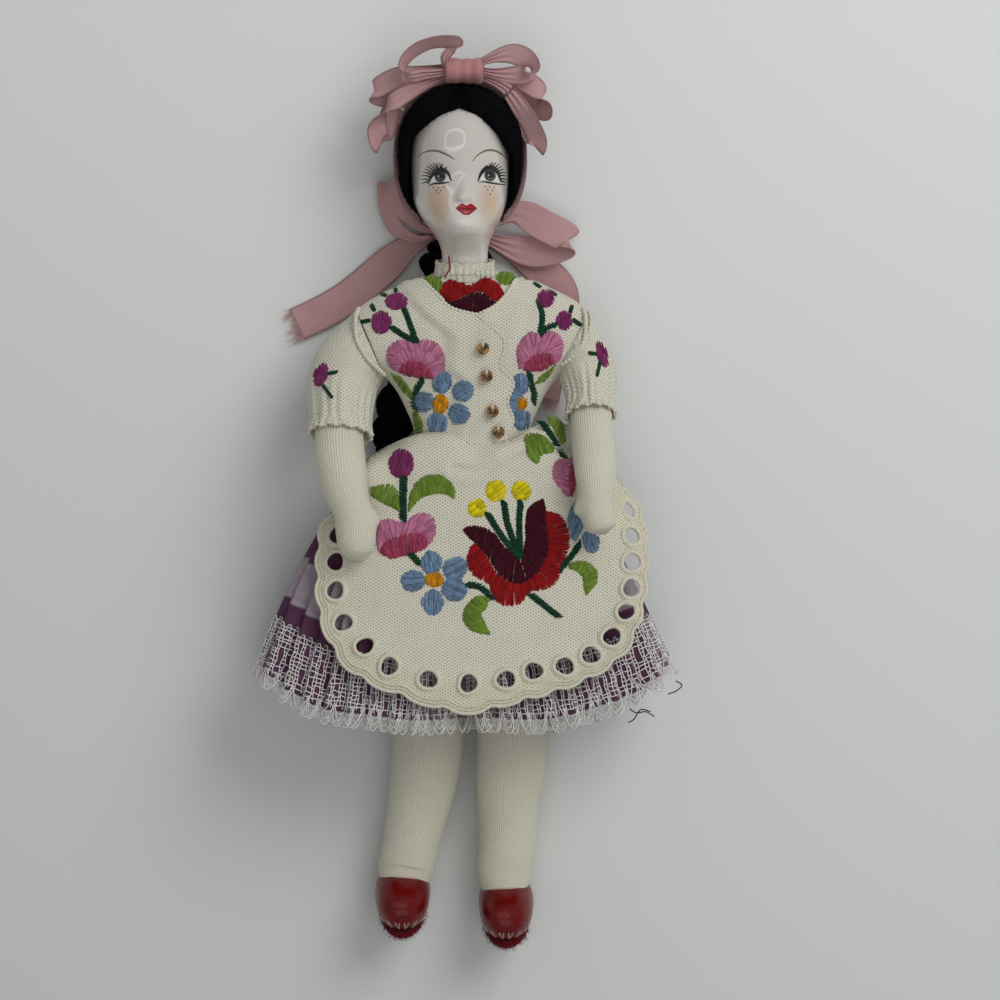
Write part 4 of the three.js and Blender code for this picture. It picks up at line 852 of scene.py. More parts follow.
class FOLKDOLL_OT_head(bpy.types.Operator):
    """Glazed head with its neck, and the painted face"""
    bl_idname = "folkdoll.head"
    bl_label = "Head and face"

    def execute(self, context):
        head = body_mesh("porcelain_head", head_surface(168, 190))
        finish(head, "root", porcelain_material(), ["head"])
        paint = Paint()
        for eye in EYES:
            paint_eye(paint, eye)
        lips = {name: face_chart(*places) for name, places in LIPS.items()}
        for upper, lower, tint, lift, columns, rows in (
                ("top", "part", (0.40, 0.008, 0.012), 0.04, 32, 7),
                ("part", "foot", (0.36, 0.010, 0.016), 0.04, 32, 7),
                ("shine_top", "shine_foot", (0.50, 0.16, 0.14), 0.055, 14, 5)):
            paint.patch(lips[upper], lips[lower], tint, lift, columns, rows)
        paint.stroke(lips["part"], (0.08, 0.2, 0.24, 0.2, 0.08), (0.16, 0.004, 0.006), 0.06, 20)
        glossy = fibre_material("china paint", None, 0.2, 900.0, 0.12, Coat_Weight=0.5, Coat_Roughness=0.05)
        finish(paint.mesh("painted_face"), "root", glossy)
        return {"FINISHED"}


# Hair

HAIR_HALF_WIDTH, HAIR_HEIGHT = 14.15, SKULL_HEIGHT + 2.2
HAIR_BACK, HAIR_FRONT = SKULL_DEPTH + 2.9, FACE_DEPTH - 0.1
HAIRLINE_RIGHT = ((0.1, -10.9), (0.28, -11.7), (0.42, -11.7), (0.59, -11.2), (0.665, -10.2), (0.73, -7.3),
                  (0.782, -4.4), (0.808, -2.6), (0.818, -1.4), (0.824, -0.03), (1, -0.03))
HAIRLINE_LEFT = ((0.1, 11.3), (0.28, 12), (0.42, 12), (0.54, 11.4), (0.675, 8.3), (0.772, 4.6), (0.808, 2.4),
                 (0.818, 1.3), (0.824, 0.03), (1, 0.03))


def hair_point(share, s, lift=0.0):
    """Outer face of the hair: s runs from the left of the face round the back to the right of it.

    Each level is an oval of fullness 2.15. Near the face it curves down to the skin like a quarter circle.
    """
    share, s = np.broadcast_arrays(np.asarray(share, float), np.asarray(s, float))
    y = CHIN_Y + share * HAIR_HEIGHT
    cx, cz = head_centre(share)
    scale = np.maximum(hair_width(share), 0.02)
    half = HAIR_HALF_WIDTH * scale

    def angle_at(line):
        places, values = np.array(line).T
        x = np.clip(np.interp(share, places, values) / half, -0.999, 0.999)
        return np.arccos(power(x, 1.075))

    start, end = angle_at(HAIRLINE_LEFT), angle_at(HAIRLINE_RIGHT) - TAU
    angle = start + (end - start) * s
    depth = np.where(np.sin(angle) > 0, HAIR_FRONT, HAIR_BACK) * np.maximum(hair_depth(share), 0.02)
    x = (half + lift) * power(np.cos(angle), 2 / 2.15)
    z = (depth + lift) * power(np.sin(angle), 2 / 2.15)
    edge = np.minimum(s, 1 - s) * (start - end) * half / 2.6
    face_share = np.clip((y - CHIN_Y) / SKULL_HEIGHT, 0, 0.995)
    skin_half = FACE_WIDTH / 2 * skull_width(face_share)
    skin = FACE_DEPTH * skull_front(face_share) * np.sqrt(np.clip(1 - (x / skin_half) ** 2, 0, 1))
    rounded = np.sqrt(np.clip(1 - (1 - np.clip(edge, 0, 1)) ** 2, 0, 1))
    parting = smooth(0.803, 0.826, share)
    floor = np.minimum(z, (skin - 0.6) * (1 - parting) + (z - 0.5) * parting)
    z = np.where(edge < 1, floor + (z - floor) * rounded, z)
    return np.stack([cx + x, y + lift * smooth(0.85, 1, share), np.maximum(cz + z, 0.02)], axis=-1)


def hair_material(name, stretch):
    """Matt black wool: fibres show as faint streaks."""
    material, tree, shader = new_material(name, 1.0, Specular_IOR_Level=0.02)
    fibres = noise(tree, vector_calc(tree, "MULTIPLY", object_place(tree), stretch)[0], 1.0, 4.0)["Fac"]
    black = colour("hair")
    dress(tree, shader, blend_colours(tree, fibres, black, times(black, 2.6)), fibres, 0.00025, 0.7)
    return material


def frames_along(path_points, count):
    """Places along a smooth path with their side, up and forward directions."""
    fine = curve(path_points, np.linspace(0, 1, count))
    forward = unit(np.gradient(fine, axis=0))
    side = unit(np.cross(forward, [0, 0, 1]))
    return fine, side, np.cross(side, forward), forward


PLAIT_TOP_Y = CHIN_Y + 0.12 * HAIR_HEIGHT - 0.3
PLAIT_WIDTH, PLAIT_DEPTH = 5.7, 3.7
PLAIT_PATH = [(-2, PLAIT_TOP_Y, 4), (-2.6, 54, 4), (-6.5, 42, 4.2), (-12.5, 30, 4.2), (-16.4, 20, 4.2),
              (-18.2, 10.5, 3.9), (-18.6, 4.5, 3.6)]
plait_shape = profile((0, 0.74), (0.05, 0.8), (0.1, 1.45), (0.2, 1.7), (0.28, 1.0), (0.5, 1), (0.75, 0.95),
                      (0.84, 0.8), (25 / 28, 0.42), (0.92, 0.6), (0.97, 0.6), (1, 0.3))


def hair_cap():
    """Closed shell of the hair over the skull: its outer face, and the same drawn in towards the middle."""
    rows, columns = 70, 150
    share = (0.12 + 0.88 * np.sin(np.pi / 2 * np.arange(rows) / (rows - 1)))[:, None]
    s = (0.5 - 0.5 * np.cos(np.pi * np.arange(columns) / (columns - 1)))[None]
    outer = hair_point(share, s)
    x, z = head_centre(share)
    centre = joined(x, CHIN_Y + share * HAIR_HEIGHT - 1.5, z)
    inner = centre + 0.72 * (outer - centre)
    foot = (outer[:1] + inner[:1]) / 2 - (0, 0.5, 0)
    shell = np.concatenate([outer, inner[:, ::-1]], axis=1)
    return np.concatenate([np.concatenate([foot, foot[:, ::-1]], axis=1), shell])


class FOLKDOLL_OT_hair(bpy.types.Operator):
    """Wool hair combed from a parting, and the plait at the nape"""
    bl_idname = "folkdoll.hair"
    bl_label = "Hair and plait"

    def execute(self, context):
        rng = np.random.default_rng(7)
        wool = hair_material("black wool", (900, 160, 500))
        finish(body_mesh("hair", hair_cap()), "root", wool, ["hair_cap"])

        count = sizes().hair_strands
        t = np.linspace(0, 1, 26)[None]
        reach = rng.uniform(0.0, 1.0, (count, 1))
        start = 0.826 + 0.168 * rng.uniform(0, 1, (count, 1)) ** 0.8 * smooth(0, 0.15, reach)
        foot_share = 0.14 + 0.05 * rng.uniform(0, 1, (count, 1))
        along = start + (foot_share - start) * (t ** 0.85)
        round_back = 0.006 + 0.475 * reach * (1 - (1 - t) ** 2.2)
        round_back = round_back + 0.006 * np.sin(9 * t + TAU * rng.uniform(0, 1, (count, 1)))
        side = rng.integers(0, 2, (count, 1))
        sweep = np.clip(np.where(side == 0, round_back, 1 - round_back), 0.002, 0.998)
        strands = hair_point(along, sweep, 0.06 + 0.1 * rng.uniform(0, 1, (count, 1)))
        taper = 0.15 * (0.5 + 0.5 * np.sin(np.pi * t)) * rng.uniform(0.7, 1.3, (count, 1))
        locks = tubes_mesh("hair_strands", strands, taper, unit(strands - HEAD_MIDDLE), 3)
        finish(locks, "root", hair_material("combed wool", (600, 600, 600)))

        number = 3600
        share = 0.14 + 0.86 * rng.uniform(0, 1, number) ** 0.8
        s = np.where(rng.uniform(0, 1, number) < 0.5, rng.uniform(0, 0.03, number), rng.uniform(0, 0.5, number))
        s = np.where(rng.uniform(0, 1, number) < 0.5, s, 1 - s)
        roots = hair_point(share, s, 0.05)
        ways = unit(unit(roots - HEAD_MIDDLE) * 0.5 + rng.normal(0, 0.75, (number, 3)))
        lengths = rng.uniform(0.35, 1.0, number)
        fuzz = thread_bundle("hair_fuzz", roots, ways, lengths, 0.07, rng, curl=0.5, steps=5)
        finish(fuzz, "root", hair_material("loose wool", (600, 600, 600)))

        spine, across, rise, _ = frames_along(PLAIT_PATH, 121)
        u = np.linspace(0, 1, 121)
        wide, deep = PLAIT_WIDTH * plait_shape(u), PLAIT_DEPTH * plait_shape(u)
        spread = 0.40 + 0.25 * smooth(0.9, 1, u)
        fibres = []
        for lock in range(3):
            phase = TAU * (2.9 * u + lock / 3)
            core = (spine + (0.46 * wide * np.sin(phase))[:, None] * across
                    + (0.36 * deep * np.sin(2 * phase))[:, None] * rise)
            turns = rng.uniform(0, TAU, 34)
            far = rng.uniform(0.35, 1, 34) ** 0.5
            for turn, reach in zip(turns, far):
                spin = turn + 2.2 * u * TAU * 0.3
                fibres.append(core + (spread * wide * reach * np.cos(spin))[:, None] * across
                              + (0.52 * deep * reach * np.sin(spin))[:, None] * rise)
        fibres = np.array(fibres)[:, ::2]
        fibres[..., 2] = np.clip(fibres[..., 2], 0.45, 8.6)
        plait = tubes_mesh("plait", fibres, 0.42 * (0.35 + 0.65 * smooth(1, 0.93, u[::2]))[None], sides=5)
        finish(plait, "root", hair_material("plaited wool", (700, 250, 700)), ["hair_plait"])
        return {"FINISHED"}


# Ribbons

KNOT = np.array([HEAD_TURN_X + 1, CROWN_Y + 3.6, HEAD_Z + 4.5])
BOW_LOOPS = {
    "top_bow_loop_right_1": (
        [(0.8, 0, 0.6), (0.9, 0, 0.5), (0.75, 0.1, 0.6), (0.6, 0.5, 0.6), (0.1, 0.5, 0.85), (-0.1, 0.45, 0.9),
         (-0.3, 0.4, 0.88), (-0.4, 0.2, 0.88), (-0.35, 0, 0.93), (-0.1, 0.5, 0.85), (0, 1, 0.35), (0, 1, 0.3)],
        "bow_loop_right_1", [
        (-3.9, -0.6, 2.2), (-4.3, 2.2, 2.2), (-3.1, 4.0, 2.0), (-1.9, 5.4, 1.8), (-4.2, 6.5, 1.6),
        (-7.8, 6.2, 1.5),
        (-10.9, 4.7, 1.5), (-13.5, 2.2, 1.4), (-14.5, -0.2, 1.3), (-13.2, -2.3, 1.4), (-9, -1.9, 1.6),
        (-3.8, -1.3, 1.8)]),
    "top_bow_loop_right_2": ((0.3, 0.95, 0), "bow_loop_right_2", [
        (-3.9, 0.0, -1.6), (-11, -1.4, -2.0), (-17, -2.8, -2.2), (-21.2, -5.4, -3.8), (-18.3, -6.4, -5.6),
        (-12.5, -4.6, -5.6), (-3.9, -1.4, -3.0)]),
    "top_bow_loop_right_3": ((0.6, 0.8, 0), "bow_loop_right_3", [
        (-3.9, -1.8, -0.4), (-11, -4.8, 0), (-17.2, -8.6, -0.4), (-20.4, -13.4, -2), (-19.6, -17.4, -3.8),
        (-18.4, -13.6, -5), (-15.9, -8, -4.8), (-11.7, -5.4, -4.4), (-3.9, -2.2, -2.4)]),
    "top_bow_loop_left_1": (
        [(-0.1, 1, 0.25), (-0.15, 1, 0.25), (0, 1, 0.3), (0.3, 0.8, 0.4), (0.4, 0.5, 0.7), (0.2, 0.6, 0.7),
         (0, 1, 0.4), (0, 1, 0.3), (0, 1, 0.3)], "bow_loop_left_1", [
        (3.8, 0.9, 2.4), (7.6, 2.5, 3.0), (11.4, 3.1, 3.2), (14.2, 2.0, 3.0), (15.9, -0.2, 2.4),
        (15.2, -1.9, 1.7),
        (12.8, -2.0, 1.5), (8.6, -1.8, 1.5), (3.8, -1.0, 1.5)]),
    "top_bow_loop_left_2": ((-0.4, 0.92, 0), "bow_loop_left_2", [
        (3.9, -1.2, -1.6), (10.5, -2.3, -2), (16.8, -4.8, -2.2), (18.9, -9.6, -3.2), (16.6, -9.0, -5),
        (10.5, -4.3, -5.2), (3.9, -1.6, -3.0)]),
    "top_bow_loop_left_3": ((-0.7, 0.7, 0), "bow_loop_left_3", [
        (3.9, -2.0, 0.2), (9.8, -5.2, 0.8), (13.8, -10.4, 0.4), (16.9, -16.2, -1), (16.8, -18.4, -2),
        (15.8, -15.6, -3.6), (13.8, -10.6, -3.4), (9.8, -5.6, -3), (3.9, -2.3, -1.8)]),
}
NAPE = curve(PLAIT_PATH, np.linspace(0, 1, 29))[1]
NAPE_BOW = {
    "nape_bow_loop_right": ((0.8, 0.3, 0.5), "nape_loop_right", 4.3, False, [
        (-6, 0.6, 1.4), (-10.8, 3.2, 1.8), (-14.9, 7.6, 2), (-16, 11, 1.9), (-16.7, 12, 0.9), (-17, 10.6, -0.1),
        (-16.6, 6.4, -0.4), (-14.4, 1.4, -0.4), (-10, -0.9, -0.2), (-6, -0.6, 0.1)]),
    "nape_bow_tail_right": ((0.55, 0.83, 0), "nape_tail_right", 8, True, [
        (-5.3, -0.3, -2.1), (-11.5, -2.6, -2.4), (-17.5, -7.6, -2.4), (-24, -13, -2.6), (-30.5, -17.2, -3),
        (-37.6, -20.6, -3.4)]),
    "nape_bow_loop_left": ((0.2, 0.97, 0), "nape_loop_left", 7.2, False, [
        (6, 1.8, 1.2), (13.2, 5.2, 1.2), (19.8, 2.2, 2), (25.6, -1.4, 1), (19, -3.8, -0.8), (12.5, -2.8, -0.9),
        (6, -0.4, -0.6)]),
    "nape_bow_tail_left": ((1, 0.5, 0), "nape_tail_left", 8, True, [
        (4.9, -0.3, -2.2), (12, -3.4, -2.7), (18.5, -7.4, -3), (23.6, -12.6, -3.2), (24, -19, -3.3),
        (21.6, -28, -3.3), (19.5, -38, -3.3)]),
}


def ribbon_grid(path, across, width, tail=False, pinch=0.35, rows=110, columns=17, waves=0.28, seed=1):
    """A ribbon's middle surface and its cloth coordinates.

    Its width lies along the across direction (one for all, or one for each path point). It narrows by
    a smooth step to the pinched ends and takes folds there: a cosine of three half waves over the
    width. Elsewhere it has long soft ripples.
    """
    u = np.linspace(0, 1, rows)
    place = curve(path, u)
    forward = unit(np.gradient(place, axis=0))
    across = np.array(across, float)
    across = curve(across, u) if across.ndim > 1 else np.broadcast_to(across, place.shape)
    wide = unit(across - (forward * across).sum(axis=1, keepdims=True) * forward)
    thin = np.cross(forward, wide)
    opened = smooth(0, 0.4, u) if tail else smooth(0, 0.3, u) * smooth(0, 0.3, 1 - u)
    half = width / 2 * (pinch + (1 - pinch) * opened)
    v = np.linspace(-1, 1, columns)
    rng = np.random.default_rng(seed)
    length = length_of(place)
    ripple = np.zeros((rows, columns))
    for k in range(4):
        turn = rng.uniform(0, TAU, 2)
        swing = np.sin(TAU * u[:, None] * length / (9 + 5 * k) + turn[0])
        ripple += rng.uniform(0.4, 1) * swing * np.sin((1 + 0.8 * k) * v[None] + turn[1]) / 4
    folds = (1 - opened)[:, None] * 0.55 * np.cos(3 * np.pi * v[None]) * smooth(0, 0.03, u)[:, None]
    if not tail:
        folds = folds * smooth(0, 0.03, 1 - u)[:, None]
    push = folds + waves * ripple * opened[:, None]
    P = place[:, None] + (half[:, None] * v[None])[..., None] * wide[:, None] + push[..., None] * thin[:, None]
    return above(P, 0.3), joined((v * width / 2)[None], (u * length)[:, None])


def ribbon_material(name, width, layers=(1.0, 1.0, 1.0)):
    """Sheer ribbed ribbon: fine cross ribs, darker along both edges, a little see-through.

    Ribbon wound in several layers looks deeper, which layers gives as a factor for each colour.
    """
    material, tree, shader = new_material(name, 0.7, Sheen_Weight=0.15, Specular_IOR_Level=0.2, Alpha=0.9)
    uv = cloth_uv(tree)
    x, y, _ = split(tree, uv)
    ribs = wave(tree, y, 0.37)
    edge = ramp(tree, calc(tree, "ABSOLUTE", x), width / 2 - 0.55, width / 2 - 0.2, "SMOOTHSTEP")
    tone = times(colour("ribbon"), *layers)
    drawn = use_group(tree, "Streaks", {"Vector": uv, "Color": tone, "Across": 1.6, "Along": 5.0,
                                        "Amount": 0.16})
    dark = times(tone, 0.5)
    base = blend_colours(tree, product(tree, edge, 0.8), drawn["Color"], dark)
    dress(tree, shader, blend_colours(tree, product(tree, ribs, 0.5), base, dark), ribs, 0.00006)
    return material


def thread_bundle(name, starts, directions, lengths, radius, rng, curl=0.35, floor=0.25, steps=12):
    """Loose fibres: from each start the thread runs on with a curl that grows along it."""
    count = len(starts)
    t = np.linspace(0, 1, steps)[None, :, None]
    swing = rng.normal(0, 1, (count, 1, 3))
    curls = rng.normal(0, 1, (count, 1, 3)) * np.sin(TAU * t * rng.uniform(0.6, 1.4, (count, 1, 1)))
    bent = t * directions[:, None] + curl * (t**2 * swing + 0.3 * t * curls)
    paths = above(starts[:, None] + lengths[:, None, None] * bent, floor)
    taper = radius * (1 - 0.55 * np.linspace(0, 1, steps))
    return tubes_mesh(name, paths, taper[None], sides=3)


NARROW, BROAD = 5.0, 8.0
BAND_LEVELS = np.array([0.16, 0.26, 0.4, 0.56, 0.72, 0.86, 0.95])
knot_profile = profile((0, 0.72), (0.06, 0.94), (0.25, 0.93), (0.5, 0.9), (0.75, 0.93), (0.94, 0.94), (1, 0.72))


def band_path(clear=0.22):
    """Path of the ribbon over the hair, from one jaw over the crown to the other, a little off the hair."""
    y = CHIN_Y + BAND_LEVELS * HAIR_HEIGHT + clear * smooth(0.75, 1, BAND_LEVELS)
    z = HEAD_Z - 6 + 4.5 * smooth(0.16, 0.5, BAND_LEVELS)
    half = HAIR_HALF_WIDTH * hair_width(BAND_LEVELS) + clear
    right, left = (joined(head_centre(BAND_LEVELS)[0] + sign * half, y, z) for sign in (-1, 1))
    return np.concatenate([right, [[HEAD_TURN_X, CROWN_Y + clear, HEAD_Z - 1.5]], left[::-1]])


class FOLKDOLL_OT_ribbons(bpy.types.Operator):
    """Pink ribbon: the band over the hair, the bow on the crown and the bow at the nape"""
    bl_idname = "folkdoll.ribbons"
    bl_label = "Ribbons"

    def execute(self, context):
        rng = np.random.default_rng(11)
        wall = sizes().ribbon / MM
        narrow, broad = ribbon_material("narrow ribbon", NARROW), ribbon_material("broad ribbon", BROAD)

        for seed, (name, (across, cad, path)) in enumerate(BOW_LOOPS.items()):
            path = np.array(path) * (0.98, 1, 1)
            path[:, 1] = np.minimum(path[:, 1], 0.86 * path[:, 1])
            P, uv = ribbon_grid(path + KNOT, across, NARROW, seed=seed + 3)
            finish(sheet_mesh(name, P, uv, thickness=wall), "root", narrow, [cad])
        for seed, (name, (across, cad, width, tail, path)) in enumerate(NAPE_BOW.items()):
            P, uv = ribbon_grid(np.array(path) + NAPE, across, width, tail, seed=seed + 20, waves=0.4)
            finish(sheet_mesh(name, P, uv, thickness=wall), "root", broad, [cad])
            if tail:
                ends = P[-1]
                where = rng.uniform(0, len(ends) - 1.001, 90)
                low = where.astype(int)
                starts = ends[low] + (ends[low + 1] - ends[low]) * (where - low)[:, None]
                ways = unit(unit(ends - P[-4])[low] + rng.normal(0, 0.25, (90, 3)))
                fray = thread_bundle(name + "_fray", starts, ways, rng.uniform(0.8, 3.4, 90), 0.06, rng)
                finish(fray, "root", plain_thread("ribbon fibres", colour("ribbon")))

        path = band_path()
        lean = unit((path - (HEAD_TURN_X, 74, 0)) * (1, 1, 0)) * 0.4 + (0, 0, 1)
        P, uv = ribbon_grid(path, lean, NARROW, pinch=1, rows=240, waves=0.08, seed=40)
        finish(sheet_mesh("ribbon_over_hair", P, uv, thickness=wall), "root", narrow, ["head_ribbon"])

        # Each knot is a ribbon wound round: an oval tube with creases along the winding
        t = np.linspace(0, 1, 30)[:, None]
        turn = turns_of(72)[None]
        crease = 1 + 0.035 * np.cos(TAU * 3.5 * t + 0.8 * np.sin(turn)) + 0.02 * np.cos(5 * turn + 4 * t)
        radius = knot_profile(t) * crease
        x = -4.5 + 9 * t
        P = joined(x, 3.1 * radius * np.cos(turn), 4.6 * radius * np.sin(turn)) + KNOT - (0, 0.9, 0)
        knot = body_mesh("top_bow_knot", P, joined(x, np.linspace(0, 24, 73)[None]))
        deep = ribbon_material("knotted ribbon", 9.4, (0.94, 0.74, 0.75))
        finish(knot, "root", deep, ["bow_knot"])

        spine, across, rise, forward = frames_along(PLAIT_PATH, 29)
        for name, cad, index, length, bulge, count in (
                ("nape_bow_knot", "nape_knot", 1, 3.0, 0.5, 5),
                ("plait_ribbon_tie", "plait_tie", 25, 1.1, 0.65, 3)):
            scale = plait_shape(index / 28)
            a, b = PLAIT_WIDTH * scale + 0.75, PLAIT_DEPTH * scale + 0.7
            k = np.linspace(0, 1, 6 * count)[:, None]
            turned = bulge * (0.75 + 0.25 * np.abs(np.cos(np.pi * count / 2 * k)))
            turned = turned * np.sin(np.pi * np.clip(k, 0.03, 0.97)) ** 0.3

            def rings(out):
                return (spine[index] + ((a + out) * np.cos(turn))[..., None] * across[index]
                        + ((b + out) * np.sin(turn))[..., None] * rise[index]
                        + ((k - 0.5) * length)[..., None] * forward[index])

            outer, inner = rings(turned), rings(0 * k)
            band = above(np.concatenate([outer, inner[::-1], outer[:1]]), 0.05)
            uv = joined(np.linspace(-3, 3, len(band))[:, None], np.linspace(0, 30, 73)[None])
            finish(sheet_mesh(name, band, uv, wrap=True), "root", narrow, [cad])
        return {"FINISHED"}


# Body, jacket and limbs

BODICE_X, BODICE_Z = 1.15, 18.0
KNIT, LAYER_GAP = 0.6, 0.46
BLOUSE_OFFSET = -KNIT - LAYER_GAP
TORSO_OFFSET = BLOUSE_OFFSET - 0.4 - LAYER_GAP
LAP_OFFSET = KNIT + LAYER_GAP
ARMHOLE, ARMHOLE_TURN = 23.35, math.radians(23)
ARMHOLE_LEAN = math.tan(ARMHOLE_TURN)
HIPS = {"right": np.array([-8.3, -1, 15.0]), "left": np.array([8.9, -1, 15.0])}
HIP_BALL, HIP_SOCKET = 7.9, 8.45
TORSO_FOOT_Y, TORSO_FOOT = 1.4, np.array([0.3, 1.4, 15.5])
NECK_OPENING = ((50.0, 7.2), (50.2, 5.2), (50.6, 4.7), (52.0, 4.7), (52.0, 3.95), (46.6, 3.95), (46.4, 0.02))
bodice_width = profile(
    (1.4, 14.65), (12.9, 13.25), (17.9, 14.55), (26.6, 19.9), (31.3, 29), (35.3, 33), (38.8, 31.5),
    (42.1, 26.6), (44.8, 22.6), (47.3, 17.6), (49.3, 13.8), (51.3, 11.6))
bodice_depth = profile((1.4, 8.7), (12.9, 8.8), (26.3, 9.3), (34.3, 9.2), (42.3, 8.1), (47.3, 7.1), (51.3, 6.5))
lap_edge = profile(
    (11.9, 7.6), (16.5, 9.6), (20.7, 8.3), (25.4, 9.6), (28.7, 6.6), (32.9, 7.5), (35.5, 7.1), (40.6, 1.4),
    (46.9, -4))
NECKLINE_RIGHT = [(1.4, 40.62), (-4.8, 42.5), (-8.2, 46.1), (-11.2, 49.6), (-11.9, 50.9)]
NECKLINE_LEFT = [(1.2, 40.7), (5.4, 42.9), (8.1, 45.7), (10.2, 49.3), (10.9, 50.8)]


def bodice_point(y, angle, offset=0.0):
    """A point of the bodice: ovals of fullness 2.3 whose half-width and half-depth change with height."""
    x = (bodice_width(y) + offset) * power(np.cos(angle), 2 / 2.3)
    z = (bodice_depth(y) + offset) * power(np.sin(angle), 2 / 2.3)
    middle = BODICE_Z + (NECK_Z - BODICE_Z) * smooth(40.3, 51.3, y)
    return joined(BODICE_X + x, y, middle + z)


def angle_over(x, y, offset=0.0):
    """Angle round the bodice at which its front stands over x, measured from the bodice's middle."""
    share = np.clip(x / (bodice_width(y) + offset), -1, 1)
    return np.arccos(power(share, 2.3 / 2))


def bodice_front(x, y, offset=0.0):
    """Height of the bodice's front face over x, y."""
    return bodice_point(y, angle_over(x - BODICE_X, y, offset), offset)[..., 2]


def side_angle(y):
    """Angle at which the left side seam, or the armhole's edge, is met at a height."""
    limit = np.minimum(ARMHOLE + (y - SHOULDER_Y) * ARMHOLE_LEAN, bodice_width(y) * 0.9999)
    return np.maximum(angle_over(limit, y), 0.012)


def closed_round(P):
    """A grid of points with its first column again at the end."""
    return np.concatenate([P, P[:, :1]], axis=1)


def lattice_uv(P, wrap=False):
    """Cloth coordinates of a grid: lengths along each row from its middle, and mean lengths down the rows."""
    Q = closed_round(P) if wrap else P
    rows = np.linalg.norm(np.diff(Q, axis=1), axis=-1)
    across = np.concatenate([np.zeros((len(Q), 1)), np.cumsum(rows, axis=1)], axis=1)
    across -= across[:, -1:] / 2
    columns = np.linalg.norm(np.diff(Q, axis=0), axis=-1).mean(axis=1)
    along = np.concatenate([[0], np.cumsum(columns)])
    return joined(across, along[:, None])


def ruled(inner, outer, rows, columns):
    """A grid between two chains of (angle, height) on the bodice, each cut at equal lengths."""
    def cut(chain):
        chain = np.array(chain, float)
        length = along_chain(bodice_point(chain[:, 1], chain[:, 0]))
        wanted = np.linspace(0, length[-1], rows)
        return np.stack([np.interp(wanted, length, chain[:, k]) for k in (0, 1)], axis=1)

    a, b = cut(outer), cut(inner)
    v = np.linspace(0, 1, columns)[None, :, None]
    return a[:, None] * (1 - v) + b[:, None] * v


def soft_folds(x, y, seed, size=6.0, count=5):
    """Low waves of cloth: the sum of a few sines in different directions, about 1 high."""
    rng = np.random.default_rng(seed)
    total = 0.0
    for _ in range(count):
        turn, phase, scale = rng.uniform(0, TAU), rng.uniform(0, TAU), size * rng.uniform(0.7, 1.8)
        total = total + np.sin((x * math.cos(turn) + y * math.sin(turn)) * TAU / scale + phase) / count
    return total


def front_surface(angle, y, offset):
    """Jacket front: the bodice with soft folds that run towards the armholes."""
    base = bodice_point(y, angle, offset)
    lift = 0.22 * soft_folds(base[..., 0], base[..., 1] * 0.5, 5, 7.0) * np.sin(angle) ** 2
    lift = np.where(np.sin(angle) > 0, lift, 0)
    return base + lift[..., None] * np.array([0, 0, 1])


def right_front_offset(angle, y):
    """The right front rises over the left one by a smooth step before its edge."""
    x = bodice_point(y, angle)[..., 0] - BODICE_X
    start = lap_edge(y) - 9
    return LAP_OFFSET * smooth(start - 5, start - 0.6, x)


def armhole(sign, out):
    """The way out of an armhole, and the armhole's middle moved out that way by some millimetres."""
    way = np.array([sign * math.cos(ARMHOLE_TURN), -math.sin(ARMHOLE_TURN), 0])
    return way, np.array([BODICE_X + sign * ARMHOLE, SHOULDER_Y, BODICE_Z]) + out * way


def knit_material():
    """Openwork knit of jacket and sleeves."""
    return weave_material("openwork knit", (0.17, 0.155, 0.11, 1), 1.18, 0.363, 0.62, 0.08, 0.2)


def edge_cord(name, path, radius, body="root", ripple=0.3, pitch=0.95, wrap=False, sides=10):
    """A rolled and overcast edge: a tube along the path whose thickness swells at each stitch."""
    path = evenly(path, max(12, int(length_of(path) / 0.16)), closed=wrap)
    steps = np.linspace(0, length_of(path), len(path))
    swell = radius * (1 + ripple * np.cos(TAU * steps / pitch))
    obj = tubes_mesh(name, path, swell[None], sides=sides, wrap=wrap)
    return finish(obj, body, plain_thread(name + " yarn", colour("trim")))


class FOLKDOLL_OT_torso(bpy.types.Operator):
    """The stuffed cloth body with hollows for the hips, and the tie at the neck"""
    bl_idname = "folkdoll.torso"
    bl_label = "Torso"

    def execute(self, context):
        angle = turns_of(96)

        def ring(y):
            P = bodice_point(np.full(96, y), angle, TORSO_OFFSET)
            limit = ARMHOLE - 0.25 + (y - SHOULDER_Y) * ARMHOLE_LEAN
            P[:, 0] = BODICE_X + np.clip(P[:, 0] - BODICE_X, -limit, limit)
            return P

        shares = (0.002, 0.2, 0.4, 0.55, 0.7, 0.8, 0.9, 0.97)
        rows = [TORSO_FOOT + share * (ring(TORSO_FOOT_Y) - TORSO_FOOT) for share in shares]
        P = np.array(rows + [ring(y) for y in np.linspace(TORSO_FOOT_Y, 49.4, 60)])
        for hip in HIPS.values():
            away = (P[..., 0] - hip[0]) ** 2 + (P[..., 2] - hip[2]) ** 2
            ball = hip[1] + np.sqrt(np.clip(HIP_SOCKET**2 - away, 0, None))
            P[..., 1] = np.where((away < HIP_SOCKET**2) & (P[..., 1] < ball), ball, P[..., 1])
        P[..., 0] += 0.12 * soft_folds(P[..., 1], P[..., 2], 3, 9)
        P = np.concatenate([P, [neck_ring(y, radius, angle) for y, radius in NECK_OPENING]])
        torso = body_mesh("stuffed_body", P, lattice_uv(P, wrap=True))
        finish(torso, "root", rib_material("body cloth", colour("stocking"), 0.5, 0.4), ["torso"])

        coils = np.array([neck_ring(50.85 + 0.36 * k, 5.25, angle) for k in range(3)])
        tie = tubes_mesh("neck_thread", coils, 0.22, (0, 1, 0), 6, wrap=True)
        finish(tie, "root", plain_thread("neck tie", colour("trim")), ["neck_tie"])
        return {"FINISHED"}


BIB_FOOT_Y, BIB_HALF_WIDTH = 37.3, 9.5


